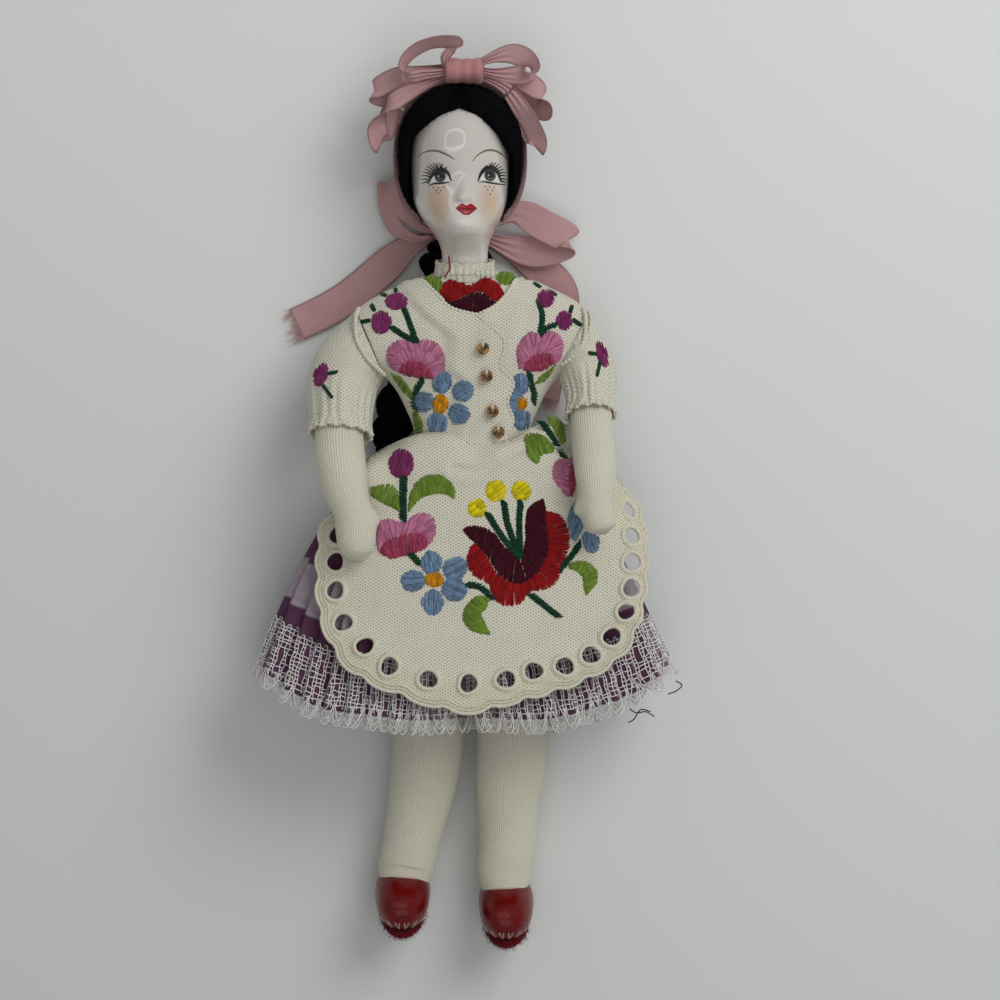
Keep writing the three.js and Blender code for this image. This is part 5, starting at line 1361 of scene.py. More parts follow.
class FOLKDOLL_OT_blouse(bpy.types.Operator):
    """The blouse front with its gathered collar"""
    bl_idname = "folkdoll.blouse"
    bl_label = "Blouse"

    def execute(self, context):
        material = weave_material("blouse cloth", (0.2, 0.185, 0.13, 1), 1.1, 0.36, 0.5, 0.08, 0.1)
        turn = turns_of(320)[None]
        u = np.linspace(0, 1, 30)[:, None]
        gather = np.cos(21 * turn + 1.6 * np.sin(3 * turn + 1)) + 0.5 * np.cos(34 * turn + 2 + 3 * u)
        ruffle = 0.14 * gather * (0.35 + 0.65 * np.sin(np.pi * np.clip(u, 0.05, 1)) ** 0.7)
        radius = 6.35 + ruffle + 0.35 * np.sin(np.pi * u) + 0.25 * smooth(0.8, 1, u)
        y = 48.3 + 4.9 * u + (0.16 * np.cos(13 * turn) - 0.95 * np.sin(turn)) * u
        P = neck_ring(y, radius, turn)
        collar = sheet_mesh("blouse_collar", P, lattice_uv(P, True), wrap=True, thickness=0.3)
        finish(collar, "root", material)
        lip = evenly(P[-1], 500, closed=True)
        edge_cord("collar_edge", lip, 0.24, pitch=0.8, wrap=True, sides=6)

        u, v = np.meshgrid(np.linspace(0, 1, 60), np.linspace(0, 1, 90), indexing="ij")
        y = BIB_FOOT_Y + (COLLAR_Y - BIB_FOOT_Y) * u
        x = BODICE_X + (2 * v - 1) * BIB_HALF_WIDTH * (1 - 0.42 * smooth(46.3, 51.3, y))
        z = bodice_front(x, y, BLOUSE_OFFSET) + 1.1 * smooth(48.7, 50.3, y) - 0.2
        z = z + 0.22 * np.cos(TAU * (x - BODICE_X) / 1.15 + 0.7 * np.sin(y)) * smooth(46.5, 50.8, y)
        P = np.stack([x, y, z], axis=-1)
        bib = sheet_mesh("blouse_front", P, lattice_uv(P), thickness=0.3)
        finish(bib, "root", material, ["blouse_insert"])
        return {"FINISHED"}


ARMHOLE_SEAMS = {
    "right": [(359, 309), (356.5, 318), (356.5, 328), (357.5, 339), (361.5, 349), (368, 359), (377, 368),
              (385.7, 375.7)],
    "left": [(583, 309), (585, 318), (585.3, 328), (583.7, 341), (579.5, 349.5), (573.5, 356), (567, 361.5),
             (561.2, 365.5)],
}


def ease_shoulder(P):
    """Rounds the upper outer corners of the jacket down by a smooth step."""
    P[..., 1] -= 1.6 * smooth(48.2, 51, P[..., 1]) * smooth(7.5, 11, np.abs(P[..., 0] - BODICE_X))
    return P


def jacket_fronts():
    """Grids of (angle, height) of the right and the left jacket front."""
    heights = np.linspace(FRONT_HEM_Y, COLLAR_Y, 90)
    outer_left = np.stack([side_angle(heights), heights], axis=1)
    outer_right = np.stack([np.pi - side_angle(heights), heights], axis=1)

    def at(x, y, offset=0.0):
        return [float(angle_over(x, y, offset)), y]

    lap = [at(float(lap_edge(y)), y, LAP_OFFSET) for y in np.linspace(FRONT_HEM_Y, 40.4, 60)]
    right = lap + [at(x, y) for x, y in evenly(NECKLINE_RIGHT, 40)]
    under = [at(float(lap_edge(y)) - 9, y) for y in np.linspace(FRONT_HEM_Y, 35, 40)]
    left = under + [at(-1.6, 38.2), at(0.2, 40)] + [at(x, y) for x, y in evenly(NECKLINE_LEFT, 40)]
    return ruled(right, outer_right, 110, 90), ruled(left, outer_left, 110, 80)


def armhole_seam(name):
    """Path of the seam between sleeve and front: the higher of the two, evened out over 13 places."""
    x, y = evenly(chart(*ARMHOLE_SEAMS[name]), 70).T
    sleeve = sleeve_grid(name)[0][:12].reshape(-1, 3)
    gap = (sleeve[None, :, 0] - x[:, None]) ** 2 + (sleeve[None, :, 1] - y[:, None]) ** 2
    sleeve_top = np.where(gap < 1.4, sleeve[None, :, 2], 0).max(axis=1)
    top = np.maximum(sleeve_top, np.nan_to_num(bodice_front(x, y)))
    top = np.convolve(np.pad(top, 6, mode="edge"), np.ones(13) / 13, "valid")
    return joined(x, y, top + 0.15)


class FOLKDOLL_OT_jacket(bpy.types.Operator):
    """Knitted jacket: back and two lapped fronts, corded edges, waistband"""
    bl_idname = "folkdoll.jacket"
    bl_label = "Jacket"

    def execute(self, context):
        knit = knit_material()
        wall = sizes().cloth / MM

        def sheet(name, cad, P, uv):
            obj = sheet_mesh(name, P, uv, thickness=wall)
            finish(obj, "root", knit, [cad])

        right, left = jacket_fronts()
        a, y = right[..., 0], right[..., 1]
        P = ease_shoulder(front_surface(a, y, right_front_offset(a, y) - wall / 2))
        sheet("jacket_right_front", "jacket_front_right", P, joined(P[..., 0] + 0.3 * P[..., 2], y))
        edge_cord("right_front_edge", P[2:108:2, -1] + (0, 0, 0.12), 0.36)

        a, y = left[..., 0], left[..., 1]
        P = ease_shoulder(front_surface(a, y, -wall / 2))
        sheet("jacket_left_front", "jacket_front_left", P, joined(P[..., 0] - 0.3 * P[..., 2], y))
        edge = P[:, -1]
        edge_cord("left_front_edge", edge[edge[:, 1] > 40.5][:-2:2] + (0, 0, 0.12), 0.36)

        v = np.linspace(0, 1, 90)[None]
        y = np.linspace(WAIST_Y, COLLAR_Y, 80)[:, None]
        top = 48.2 + 2.9 * smooth(7.4, 9.8, np.abs(bodice_point(y[-1:], np.pi + np.pi * v)[..., 0] + 0.5))
        y = WAIST_Y + (top - WAIST_Y) * (y - WAIST_Y) / (COLLAR_Y - WAIST_Y)
        start, end = TAU - side_angle(y), np.pi + side_angle(y)
        P = ease_shoulder(bodice_point(y, start + (end - start) * v, -wall / 2))
        sheet("jacket_rear", "jacket_back", P, P[..., :2])
        edge_cord("back_neck_edge", P[-1, 1:-1:2], 0.34)

        for name, arm in ARMS.items():
            way, centre = armhole(arm["sign"], 0.1)
            t = turns_of(180)[:, None]
            across, up = unit(np.cross(way, [0, 0, 1])), np.array([0, 0, 8.3]) + 2.4 * way
            ring = centre + 7.9 * np.cos(t) * across + np.sin(t) * up
            edge_cord("armhole_cord_" + name, ring, 0.34, pitch=1.0, wrap=True)
            edge_cord("armhole_seam_" + name, armhole_seam(name), 0.5, ripple=0.2, pitch=1.0)

        # Waistband
        t = turns_of(240)[None]
        u = np.linspace(0, 1, 9)[:, None]
        y = 10.7 + 1.9 * u
        outer = bodice_point(y, t, TORSO_OFFSET + 1.3 + 0.12 * np.cos(60 * t + 3 * u))
        inner = bodice_point(y[::-1], t + 0 * u, TORSO_OFFSET + 0.32)
        band = np.concatenate([outer, inner, outer[:1]])
        obj = sheet_mesh("waist_band", band, lattice_uv(band, True), wrap=True)
        finish(obj, "root", rib_material("waistband rib", colour("cloth"), 0.5, 0.4), ["waistband"])
        return {"FINISHED"}


ARMS = {
    "right": {"sign": -1, "hem": (-6.6, -20.7, 6.4), "thumb": (1.9, -39.4, 16.2), "hem_width": 7.4,
              "reach": 1.0,
              "out": 4.0, "ease": 0.45, "puff": [(0, 8.3), (0.3, 8.4)],
              "arm": [(-5.6, -8, 2.2), (-6.8, -21, 7.2), (-5.6, -31.4, 13.6), (-3.1, -40.5, 16.4),
                      (-2.3, -49.9, 17.6)]},
    "left": {"sign": 1, "hem": (3.7, -16.4, 6.4), "thumb": (2.2, -37, 19.2), "hem_width": 5.9, "reach": 0.86,
             "out": 2.0, "ease": 0.3, "puff": [(0, 8.1), (0.1, 6.9), (0.2, 6.5), (0.35, 6.5)],
             "arm": [(3.9, -6.5, 2), (3.7, -16, 7), (4.5, -29.7, 17.8), (5.1, -38.6, 19.8), (6.1, -43.6, 20)]},
}


def arm_frames(path_points, count, start_way, ease=0.45):
    """Frames along a limb that start square to the armhole and ease into the path's own direction."""
    u = np.linspace(0, 1, count)
    place = curve(path_points, u)
    forward = unit(np.gradient(place, axis=0))
    share = (1 - smooth(0, ease, u))[:, None]
    forward = unit(forward * (1 - share) + start_way * share)
    side = unit(np.cross(forward, [0, 0, 1]))
    return u, place, side, np.cross(side, forward), forward


def rings_along(place, side, up, half_width, half_depth, columns=64, fullness=2.0):
    """Ovals of some fullness round a path; at fullness 2 they are plain ones."""
    t = turns_of(columns)
    a = half_width[:, None] * power(np.cos(t), 2 / fullness)[None]
    b = half_depth[:, None] * power(np.sin(t), 2 / fullness)[None]
    return place[:, None] + a[..., None] * side[:, None] + b[..., None] * up[:, None]


def sleeve_grid(name, offset=0.0, rows=70, columns=220):
    """The puffed sleeve: ovals along a bent path, with gathers at both ends and a scalloped hem."""
    arm = ARMS[name]
    way, start = armhole(arm["sign"], 0.2)
    hem = start + np.array(arm["hem"])
    mid = start + arm["out"] * way + 0.285 * (hem - start)
    u, place, side, up, forward = arm_frames([start, mid, hem], rows, way, arm["ease"])
    hw = arm["hem_width"]
    puff = profile(*arm["puff"], (0.65, hw + 0.5), (0.88, hw - 0.4), (1, hw))
    deep = profile((0, 7.9), (0.4, 8.1), (0.88, 6.7), (1, 7.2))
    t = turns_of(columns)
    seed = 3 if name == "right" else 8
    rng = np.random.default_rng(seed)
    gathers = sum(rng.uniform(0.5, 1) * np.cos(k * t + rng.uniform(0, TAU)) for k in (11, 17, 23)) / 2
    near_top = smooth(0.4, 0.02, u) * smooth(0, 0.06, u)
    near_hem = smooth(0.45, 0.9, u) * (1 - 0.45 * smooth(0.93, 1, u))
    broad = soft_folds(t[None] * 7, u[:, None] * 26, seed, 9.0)
    bump = 0.3 * near_top[:, None] * gathers[None] + 0.32 * near_hem[:, None] * np.roll(gathers, 40)[None] \
        + 0.3 * broad * (smooth(0, 0.15, u) * smooth(1, 0.85, u))[:, None]
    a = (puff(u)[:, None] + offset + bump) * np.cos(t)[None]
    b = (deep(u)[:, None] + offset + bump) * np.sin(t)[None]
    P = place[:, None] + a[..., None] * side[:, None] + b[..., None] * up[:, None]
    scallop = 0.25 * np.cos(13 * t)[None] * smooth(0.86, 1, u)[:, None]
    ruffle = 0.2 * np.cos(26 * t + 1)[None] * smooth(0.9, 1, u)[:, None]
    radial = unit(P - place[:, None])
    P = P + scallop[..., None] * forward[:, None] + ruffle[..., None] * radial
    return P, joined(np.linspace(0, TAU, columns + 1)[None] * 7.8, (u * length_of(place))[:, None])


def thumbed(P, place, thumb):
    """Pushes the arm's points out into a thumb, by a bell of 2.1 mm about its root."""
    axis = place[np.argmin(np.linalg.norm(place - thumb, axis=1))]
    way = unit(thumb - axis)
    near = np.exp(-((P - axis - way * 3.4) ** 2).sum(axis=-1) / 2.1**2)
    return P + (near * 2.1)[..., None] * unit(way + (0, -0.55, 0.1))


class FOLKDOLL_OT_arms(bpy.types.Operator):
    """Stuffed arms with mitten hands, and the puffed sleeves"""
    bl_idname = "folkdoll.arms"
    bl_label = "Arms and sleeves"

    def execute(self, context):
        knit = knit_material()
        ribbed = rib_material("ribbed stocking", colour("stocking"), 0.57, 0.8)
        wall = sizes().cloth / MM
        for name, arm in ARMS.items():
            body = name + "_arm"
            way, start = armhole(arm["sign"], 0.2)
            path = [start] + [start + np.array(p) for p in arm["arm"]]
            r = arm["reach"]
            width = profile((0, 6.2), (0.3, 5.7 * r), (0.6, 5.5 * r), (0.74, 4.3 * r), (0.86, 4.5 * r),
                            (0.95, 3.7 * r), (1, 0.9))
            u, place, side, up, _ = arm_frames(path, 150, way)
            half = width(u) * (1 + 0.018 * soft_folds(u * 60, u * 0, 4, 9.0))
            P = thumbed(rings_along(place, side, up, half, half * 0.92, 96, 2.1), place, start + arm["thumb"])
            uv = joined(np.linspace(0, TAU, 97)[None] * 5.0, (u * length_of(place))[:, None])
            obj = body_mesh("stocking_arm_" + name, P, uv)
            finish(obj, body, ribbed, ["arm_" + name])

            P, uv = sleeve_grid(name, -wall / 2)
            obj = sheet_mesh("puff_sleeve_" + name, P, uv, wrap=True, thickness=wall)
            finish(obj, body, knit, ["sleeve_" + name])
            edge_cord("sleeve_hem_" + name, P[-1], 0.36, body, pitch=1.0, wrap=True)
            shirring = P[-9] + 0.1 * unit(P[-9] - P[-9].mean(axis=0))
            edge_cord("sleeve_gather_" + name, shirring, 0.24, body, ripple=0.4, pitch=1.1, wrap=True, sides=6)
        return {"FINISHED"}


LEGS = {
    "right": [(-0.5, -29, -2.2), (-0.7, -56.5, -4), (-2.4, -68.9, -5.2), (-4.6, -79.5, -6), (-6, -86.4, -6.2)],
    "left": [(0.9, -29, -2.2), (1.45, -56.5, -4), (0.6, -68.9, -5), (0.5, -79.5, -5.7), (-0.3, -86.4, -6)],
}
SHOES = {"right": np.array([-14.95, -93.4, 10.8]), "left": np.array([9, -95.7, 10.8])}
SIDEWAYS = np.array([1.0, 0, 0])
FORWARD = np.array([0, -0.5, math.sqrt(0.75)])
DOWN = np.array([0, -math.sqrt(0.75), -0.5])
leg_width = profile((0, 7.3), (0.17, 7.9), (0.33, 8.15), (0.42, 7.95), (0.51, 7.5), (0.59, 6.95), (0.66, 6.7),
                    (0.74, 6.7), (0.81, 6.55), (0.87, 6.05), (0.92, 5.4), (0.97, 4.3), (1, 3.1))
SHOE_HALF_LENGTH, SOLE_HALF_LENGTH, SOLE_HALF_WIDTH = 9.6, 9.1, 5.1
SOLE_LEVELS = np.array([(0.02, 4.35), (0.5, 4.3), (0.9, 4.3), (0.985, 4.42), (1.0, 4.8), (1.0, 5.2),
                        (0.985, 5.5),
                        (0.9, 5.6), (0.5, 5.6), (0.02, 5.6)])


def shoe_point(centre, along, down, side):
    """A place by its distances along the foot, down towards the sole and sideways."""
    along, down, side = (np.asarray(part, float)[..., None] for part in (along, down, side))
    return centre + along * FORWARD + down * DOWN + side * SIDEWAYS


def shoe_grid(centre, rows=90, columns=120):
    """The shoe: ovals of fullness 2.2 along the foot, flat under the sole, gathered at the toe's seam."""
    t = turns_of(columns)[None]
    u = np.linspace(0, 1, rows)[:, None]
    along = -np.cos(np.pi * u)
    size = np.maximum(np.clip(1 - np.abs(along) ** 2.5, 0, 1) ** 0.4, 0.02)
    down = 5.2 * size * power(np.sin(t), 2 / 2.2)
    down = np.where(down < 0, down * (1 + 0.14 * np.sin(np.pi * u)), down)
    side = 6.3 * size * (1 - 0.1 * along) * power(np.cos(t), 2 / 2.2)
    down = np.minimum(down, 4.0)
    seam = np.exp(-((down - 2.6) / 1.5) ** 2) * smooth(0.35, 0.85, u)
    side = side * (1 + 0.035 * seam * np.cos(26 * np.arctan2(side, along * SHOE_HALF_LENGTH)))
    pucker = 1 + 0.02 * seam * np.cos(26 * np.arctan2(side, along * SHOE_HALF_LENGTH))
    return shoe_point(centre, along * SHOE_HALF_LENGTH * pucker, down, side)


def leather_material():
    """Dark red leather with a fine grain."""
    material, tree, shader = new_material(
        "shoe leather", 0.28, Coat_Weight=0.2, Coat_Roughness=0.12, Specular_IOR_Level=0.3)
    grain = node(tree, "TexVoronoi", {"Vector": object_place(tree), "Scale": 2100.0}).outputs["Distance"]
    dress(tree, shader, blotched(tree, colour("leather"), 420.0, 0.35)["Color"], grain, 0.00005, 0.35)
    return material


def leg_grid(hip, path):
    """The leg from the ball at its hip to the shoe: returns its points, its middle line and half-widths."""
    place, side, up, forward = frames_along(path, 170)
    u = np.linspace(0, 1, 170)
    half = leg_width(u) * (1 + 0.014 * soft_folds(u * 90, u * 0, 6, 16.0))
    ball = HIP_BALL * np.sqrt(np.clip(1 - ((hip[1] - place[:, 1]) / HIP_BALL) ** 2, 0, 1))
    half = np.maximum(half, ball)
    a = (np.linspace(0.06, 0.97, 16) * np.pi / 2)[:, None]
    dome = rings_along(hip - forward[0] * HIP_BALL * np.cos(a), side[:1], up[:1], HIP_BALL * np.sin(a[:, 0]),
                       (HIP_BALL - 0.2) * np.sin(a[:, 0]), 110)
    return np.concatenate([dome, rings_along(place, side, up, half, half * 0.93, 110, 2.05)]), place, half


def shoe_rim(shoe, centre, place, half):
    """Where the leather of the toe meets the stocking: the shoe's columns cut where they leave the leg."""
    gap = np.linalg.norm(shoe[:, :, None] - place[None, None, 110:], axis=-1)
    spare = gap.min(axis=-1) - half[110:][gap.argmin(axis=-1)] * 0.965
    toe, spare = shoe[45:90], spare[45:90]
    edge = []
    for column in range(shoe.shape[1]):
        line = spare[:, column]
        cross = np.nonzero((line[:-1] < 0) & (line[1:] >= 0))[0]
        if len(cross) and (toe[cross[0], column] - centre) @ DOWN < 2.2:
            k = cross[0]
            f = line[k] / (line[k] - line[k + 1])
            edge.append(toe[k, column] * (1 - f) + toe[k + 1, column] * f)
    edge = np.array(edge)
    return edge[np.argsort(edge[:, 0])]


def toe_stitches(shoe, centre):
    """Paths of the gathering stitches, one V of thread in each pucker at the toe."""
    flat = shoe.reshape(-1, 3)
    k = np.linspace(0, 1, 7)[:, None]
    paths = []
    for turn in np.linspace(-0.95, 0.95, 6):
        aside, reach = SOLE_HALF_WIDTH * math.sin(turn), SOLE_HALF_LENGTH * math.cos(turn) * 0.985
        low = shoe_point(centre, reach, 3.5, aside)
        for lean in (-0.55, 0.55):
            high = shoe_point(centre, reach + 0.15, 0.7, aside + lean)
            path = low + (high - low) * k + 0.25 * FORWARD
            nearest = np.array([flat[np.argmin(((flat - p) ** 2).sum(axis=1))] for p in path])
            paths.append(nearest + 0.1 * unit(nearest - centre))
    return np.array(paths)


def sole_grid(centre):
    """The felt sole, with a slightly ragged outline."""
    t = turns_of(160)[None]
    size, drop = SOLE_LEVELS[:, :1], SOLE_LEVELS[:, 1:]
    ragged = 1 + 0.012 * np.cos(23 * t) + 0.01 * np.cos(41 * t + 2)
    along = np.sin(t) * size * ragged
    side = SOLE_HALF_WIDTH * np.cos(t) * (1 - 0.1 * np.sin(t)) * size * ragged
    return shoe_point(centre, along * SOLE_HALF_LENGTH, drop, side)


class FOLKDOLL_OT_legs(bpy.types.Operator):
    """Stuffed legs, leather shoes and felt soles"""
    bl_idname = "folkdoll.legs"
    bl_label = "Legs and shoes"

    def execute(self, context):
        rng = np.random.default_rng(9)
        ribbed = rib_material("leg stocking", colour("stocking"), 0.57, 0.8)
        leather = leather_material()
        felt = fibre_material("felt", colour("felt"), 1.0, 1500.0, 0.5, 0.0003, 0.9,
                              Sheen_Weight=0.15, Specular_IOR_Level=0.1)
        for name, hip in HIPS.items():
            body = name + "_leg"
            centre = SHOES[name]
            P, place, half = leg_grid(hip, [hip] + [hip + np.array(p) for p in LEGS[name]] + [centre - DOWN])
            uv = lattice_uv(P, True)
            uv[..., 0] = np.linspace(0, TAU, 111)[None] * 7.6
            obj = body_mesh("stocking_leg_" + name, P, uv)
            finish(obj, body, ribbed, ["leg_" + name])

            shoe = shoe_grid(centre)
            finish(body_mesh("leather_shoe_" + name, shoe), body, leather, ["shoe_" + name])
            edge = evenly(shoe_rim(shoe, centre, place, half)[::3], 90) + (0, 0, 0.1)
            rim = tubes_mesh("shoe_edge_" + name, edge, 0.2, sides=6)
            finish(rim, body, plain_thread("shoe edge " + name, (0.55, 0.35, 0.33, 1), 0.5))
            stitches = tubes_mesh("shoe_stitches_" + name, toe_stitches(shoe, centre), 0.13, FORWARD, 5)
            finish(stitches, body, plain_thread("shoe thread " + name, (0.60, 0.42, 0.38, 1), 0.6))

            sole = sole_grid(centre)
            finish(body_mesh("felt_sole_" + name, sole), body, felt, ["sole_" + name])
            columns = rng.integers(0, 160, 700)
            starts = sole[rng.integers(3, 7, 700), columns]
            away = unit(starts - centre + rng.normal(0, 2.0, (700, 3)))
            lengths = rng.uniform(0.3, 0.8, 700)
            fuzz = thread_bundle("sole_fuzz_" + name, starts, away, lengths, 0.05, rng, 0.5, 0.1, 5)
            finish(fuzz, body, plain_thread("felt fibres", colour("felt")))
        return {"FINISHED"}


# Skirt and lace

HEM_FRONT, HEM_SIDE = 61.9, 49.9
LACE_TOP, LACE_FOOT, LACE_END = 0.785, 0.975, 1.05
HEM_THREADS = (
    [(650, 711, 20), (640, 709, 22.4), (633, 719, 21.6), (628, 722, 21)],
    [(654, 716, 19.6), (645, 711, 21.6), (636, 712, 22.6), (629, 708, 23)],
    [(668, 694, 18.6), (676, 691, 18.4), (682, 685, 17.6), (676, 681, 17)])


def skirt_section(share):
    """Half-width, front, back and middle of the skirt at a share of its length: a gather, then a flare."""
    share = np.maximum(np.asarray(share, float), 0)
    gather = 1 - np.exp(-share / 0.06)
    swell = 1.3 * np.sin(np.pi * np.minimum(share, 1))
    half = 12.9 + 9.5 * gather + 23.2 * share + swell
    torso = float(bodice_depth(SKIRT_TOP_Y)) + TORSO_OFFSET
    front = BODICE_Z + torso + 1.2 + 2.4 * gather + 9 * share**1.5
    back_top = BODICE_Z - torso - 1.2 - gather
    back = back_top + (0.8 - back_top) * smooth(0.04, 0.24, share)
    return half, front, back, BODICE_X * np.maximum(1 - share, 0) - swell - 0.9 * share


SKIRT_SHARES = np.concatenate([np.linspace(0, 0.15, 12)[:-1], np.linspace(0.15, 1.1, 46)])


def pleat_rise(turn, pleats):
    """Height of a pleat at a place round the hem: 0 in the crevice, 1 on the crest."""
    p = (turn * pleats) % 1
    p = np.where((turn % 1 > 0.25) & (turn % 1 < 0.75), p, 1 - p)
    return np.where(p < 0.8, p / 0.8, (1 - p) / 0.2)


def skirt_table(pleats, per_pleat=30):
    """The pleated skirt as a table of points over share of length and place round the hem.

    Each level is an oval of fullness 2.6 cut at equal lengths. A pleat rises evenly over four fifths
    of its width, drops over the last fifth, and its crest is pushed over the next one, away from
    the middle of the front.
    """
    columns = pleats * per_pleat
    turn = np.arange(columns) / columns
    way = np.where((turn > 0.25) & (turn < 0.75), 1, -1)
    saw = pleat_rise(turn, pleats)
    saw = saw * saw * (3 - 2 * saw) * 0.5 + saw * 0.5
    uneven = 1 + 0.22 * np.sin(5 * TAU * turn + 1) + 0.16 * np.sin(13 * TAU * turn + 2.2)
    t = np.linspace(0, TAU, 1441)
    table = np.zeros((len(SKIRT_SHARES), columns, 3))
    for row, share in enumerate(SKIRT_SHARES):
        half, front, back, middle_x = skirt_section(share)
        x = half * power(np.cos(t), 2 / 2.6)
        z = (front - back) / 2 * power(np.sin(t), 2 / 2.6)
        steps = np.concatenate([[0], np.cumsum(np.hypot(np.diff(x), np.diff(z)))])
        size = 0.15 + 0.85 * min(share, 1.0)
        pushed = turn + 0.42 * way * saw * smooth(0.1, 0.6, share) / pleats
        wanted = (pushed % 1) * steps[-1]
        px, pz = np.interp(wanted, steps, x), np.interp(wanted, steps, z)
        tx = np.interp((wanted + 0.4) % steps[-1], steps, x) - np.interp((wanted - 0.4) % steps[-1], steps, x)
        tz = np.interp((wanted + 0.4) % steps[-1], steps, z) - np.interp((wanted - 0.4) % steps[-1], steps, z)
        norm = np.hypot(tx, tz)
        out = (1.75 + 0.25 * np.cos(2 * TAU * turn)) * size * uneven * (2 * saw - 1)
        length = HEM_SIDE + (HEM_FRONT - HEM_SIDE) * (1 - np.abs(px / half) ** 4)
        table[row, :, 0] = middle_x + px + out * tz / norm
        table[row, :, 1] = SKIRT_TOP_Y - share * length + 0.35 * share * np.sin(9 * TAU * turn + 1)
        table[row, :, 2] = (front + back) / 2 + pz - out * tx / norm
    return table


def table_point(table, share, turn, lift=0.0):
    """A point of the skirt's table between its rows and columns, lifted along its normal."""
    rows = np.interp(share, SKIRT_SHARES, np.arange(len(SKIRT_SHARES)))
    columns = table.shape[1]
    col = (turn % 1) * columns
    r, c = np.minimum(rows.astype(int), len(SKIRT_SHARES) - 2), col.astype(int) % columns
    fr, fc = (rows - r)[..., None], (col - col.astype(int))[..., None]
    d = (c + 1) % columns
    a, b, e, f = table[r, c], table[r, d], table[r + 1, c], table[r + 1, d]
    P = (a * (1 - fc) + b * fc) * (1 - fr) + (e * (1 - fc) + f * fc) * fr
    wide, long = table[r, (c + 2) % columns] - table[r, c - 2], f + e - a - b
    normal = unit(np.cross(long, wide))
    flip = np.sign(((P - np.array([0, 0, 14])) * normal * (1, 0, 1)).sum(axis=-1, keepdims=True))
    return P + lift * normal * np.where(flip == 0, 1, flip)


def skirt_material():
    """Checked skirt cloth: bands of lavender and violet with a pale line between, and fine ribs."""
    material, tree, shader = new_material("checked skirt cloth", 0.9, Sheen_Weight=0.04, Specular_IOR_Level=0.1)
    uv = cloth_uv(tree)
    x, y, _ = split(tree, uv)
    rib, cross = wave(tree, x, 0.5), wave(tree, y, 0.42)
    uneven = noise(tree, uv, 0.6, 3.0)["Fac"]
    pale = blend_colours(tree, rib, colour("lavender"), (0.52, 0.45, 0.50, 1))
    pale = blend_colours(tree, product(tree, uneven, 0.55), pale, (0.17, 0.12, 0.16, 1))
    deep = blend_colours(tree, product(tree, rib, cross, 0.9), colour("violet"), (0.045, 0.018, 0.035, 1))
    deep = blend_colours(tree, product(tree, uneven, 0.6), deep, (0.10, 0.03, 0.07, 1))
    share = calc(tree, "DIVIDE", y, 60.0)
    band = product(tree, ramp(tree, share, 0.485, 0.475), ramp(tree, share, 0.305, 0.315))
    base = blend_colours(tree, calc(tree, "MAXIMUM", ramp(tree, share, 0.652, 0.662), band), pale, deep)
    line = ramp(tree, calc(tree, "ABSOLUTE", calc(tree, "SUBTRACT", share, 0.647)), 0.009, 0.005)
    base = blend_colours(tree, product(tree, line, 0.55), base, (0.42, 0.36, 0.40, 1))
    # The points' tint is painted shade, darker down in each pleat's crevice, with a little random tone from
    # pleat to pleat.
    base = blend_colours(tree, 1.0, base, own_tint(tree), "MULTIPLY")
    dress(tree, shader, base, calc(tree, "ADD", rib, product(tree, cross, 0.5)), 0.00008, 0.7)
    return material


def net_material():
    """Fine lace net, clear between its crossing threads and uneven."""
    material, tree, shader = new_material("lace net", 0.8)
    uv = cloth_uv(tree)
    x, y, _ = split(tree, uv)
    fine = calc(tree, "MAXIMUM", wave(tree, x, 0.36, None), wave(tree, y, 0.5, None))
    cover = product(tree, ramp(tree, fine, 0.75, 0.95), 1.1, noise(tree, uv, 0.35)["Fac"])
    feed(tree, shader, {"Base Color": colour("lace"), "Alpha": cover})
    return material


def chart_thread(places):
    """An even path through chart places, each with its height in millimetres."""
    places = np.array(places, float)
    return evenly(joined(*chart(*places[:, :2]).T, places[:, 2]), 24)


def skirt_look(pleats, columns, shares):
    """Checks and shade of the skirt: how far down the cloth each point lies, and how dark it is in its fold."""
    place = np.arange(columns) / columns * pleats
    from_side = np.floor(np.abs(place - pleats / 2))
    down = shares[:, None] * 60 - 2.4 * (1 - np.exp(-from_side / 1.2))
    each = np.random.default_rng(8).uniform(0.86, 1.1, pleats)[place.astype(int)]
    fold = (0.14 + 0.86 * smooth(0.0, 0.42, pleat_rise(place / pleats, pleats))) * each
    strength = smooth(0.02, 0.4, shares)[:, None]
    shade = 1 + (fold[None] - 1) * (0.5 + 0.5 * strength)
    return down, np.repeat(shade.reshape(-1, 1), 3, axis=1)


def lace_uprights(table, places, near, rng):
    """Pairs of threads down the lace: returns their paths and their places round the hem."""
    paths, turns = [], []
    for place in places:
        for sign in (-1, 1):
            turns.append(place + sign * near)
            share = np.linspace(LACE_TOP - 0.004, LACE_FOOT + rng.uniform(0, 0.02), 14)
            sway = 0.0003 * np.sin(share * 90 + rng.uniform(0, TAU))
            paths.append(table_point(table, share, place + sign * near + sway, 0.42))
    return paths, turns


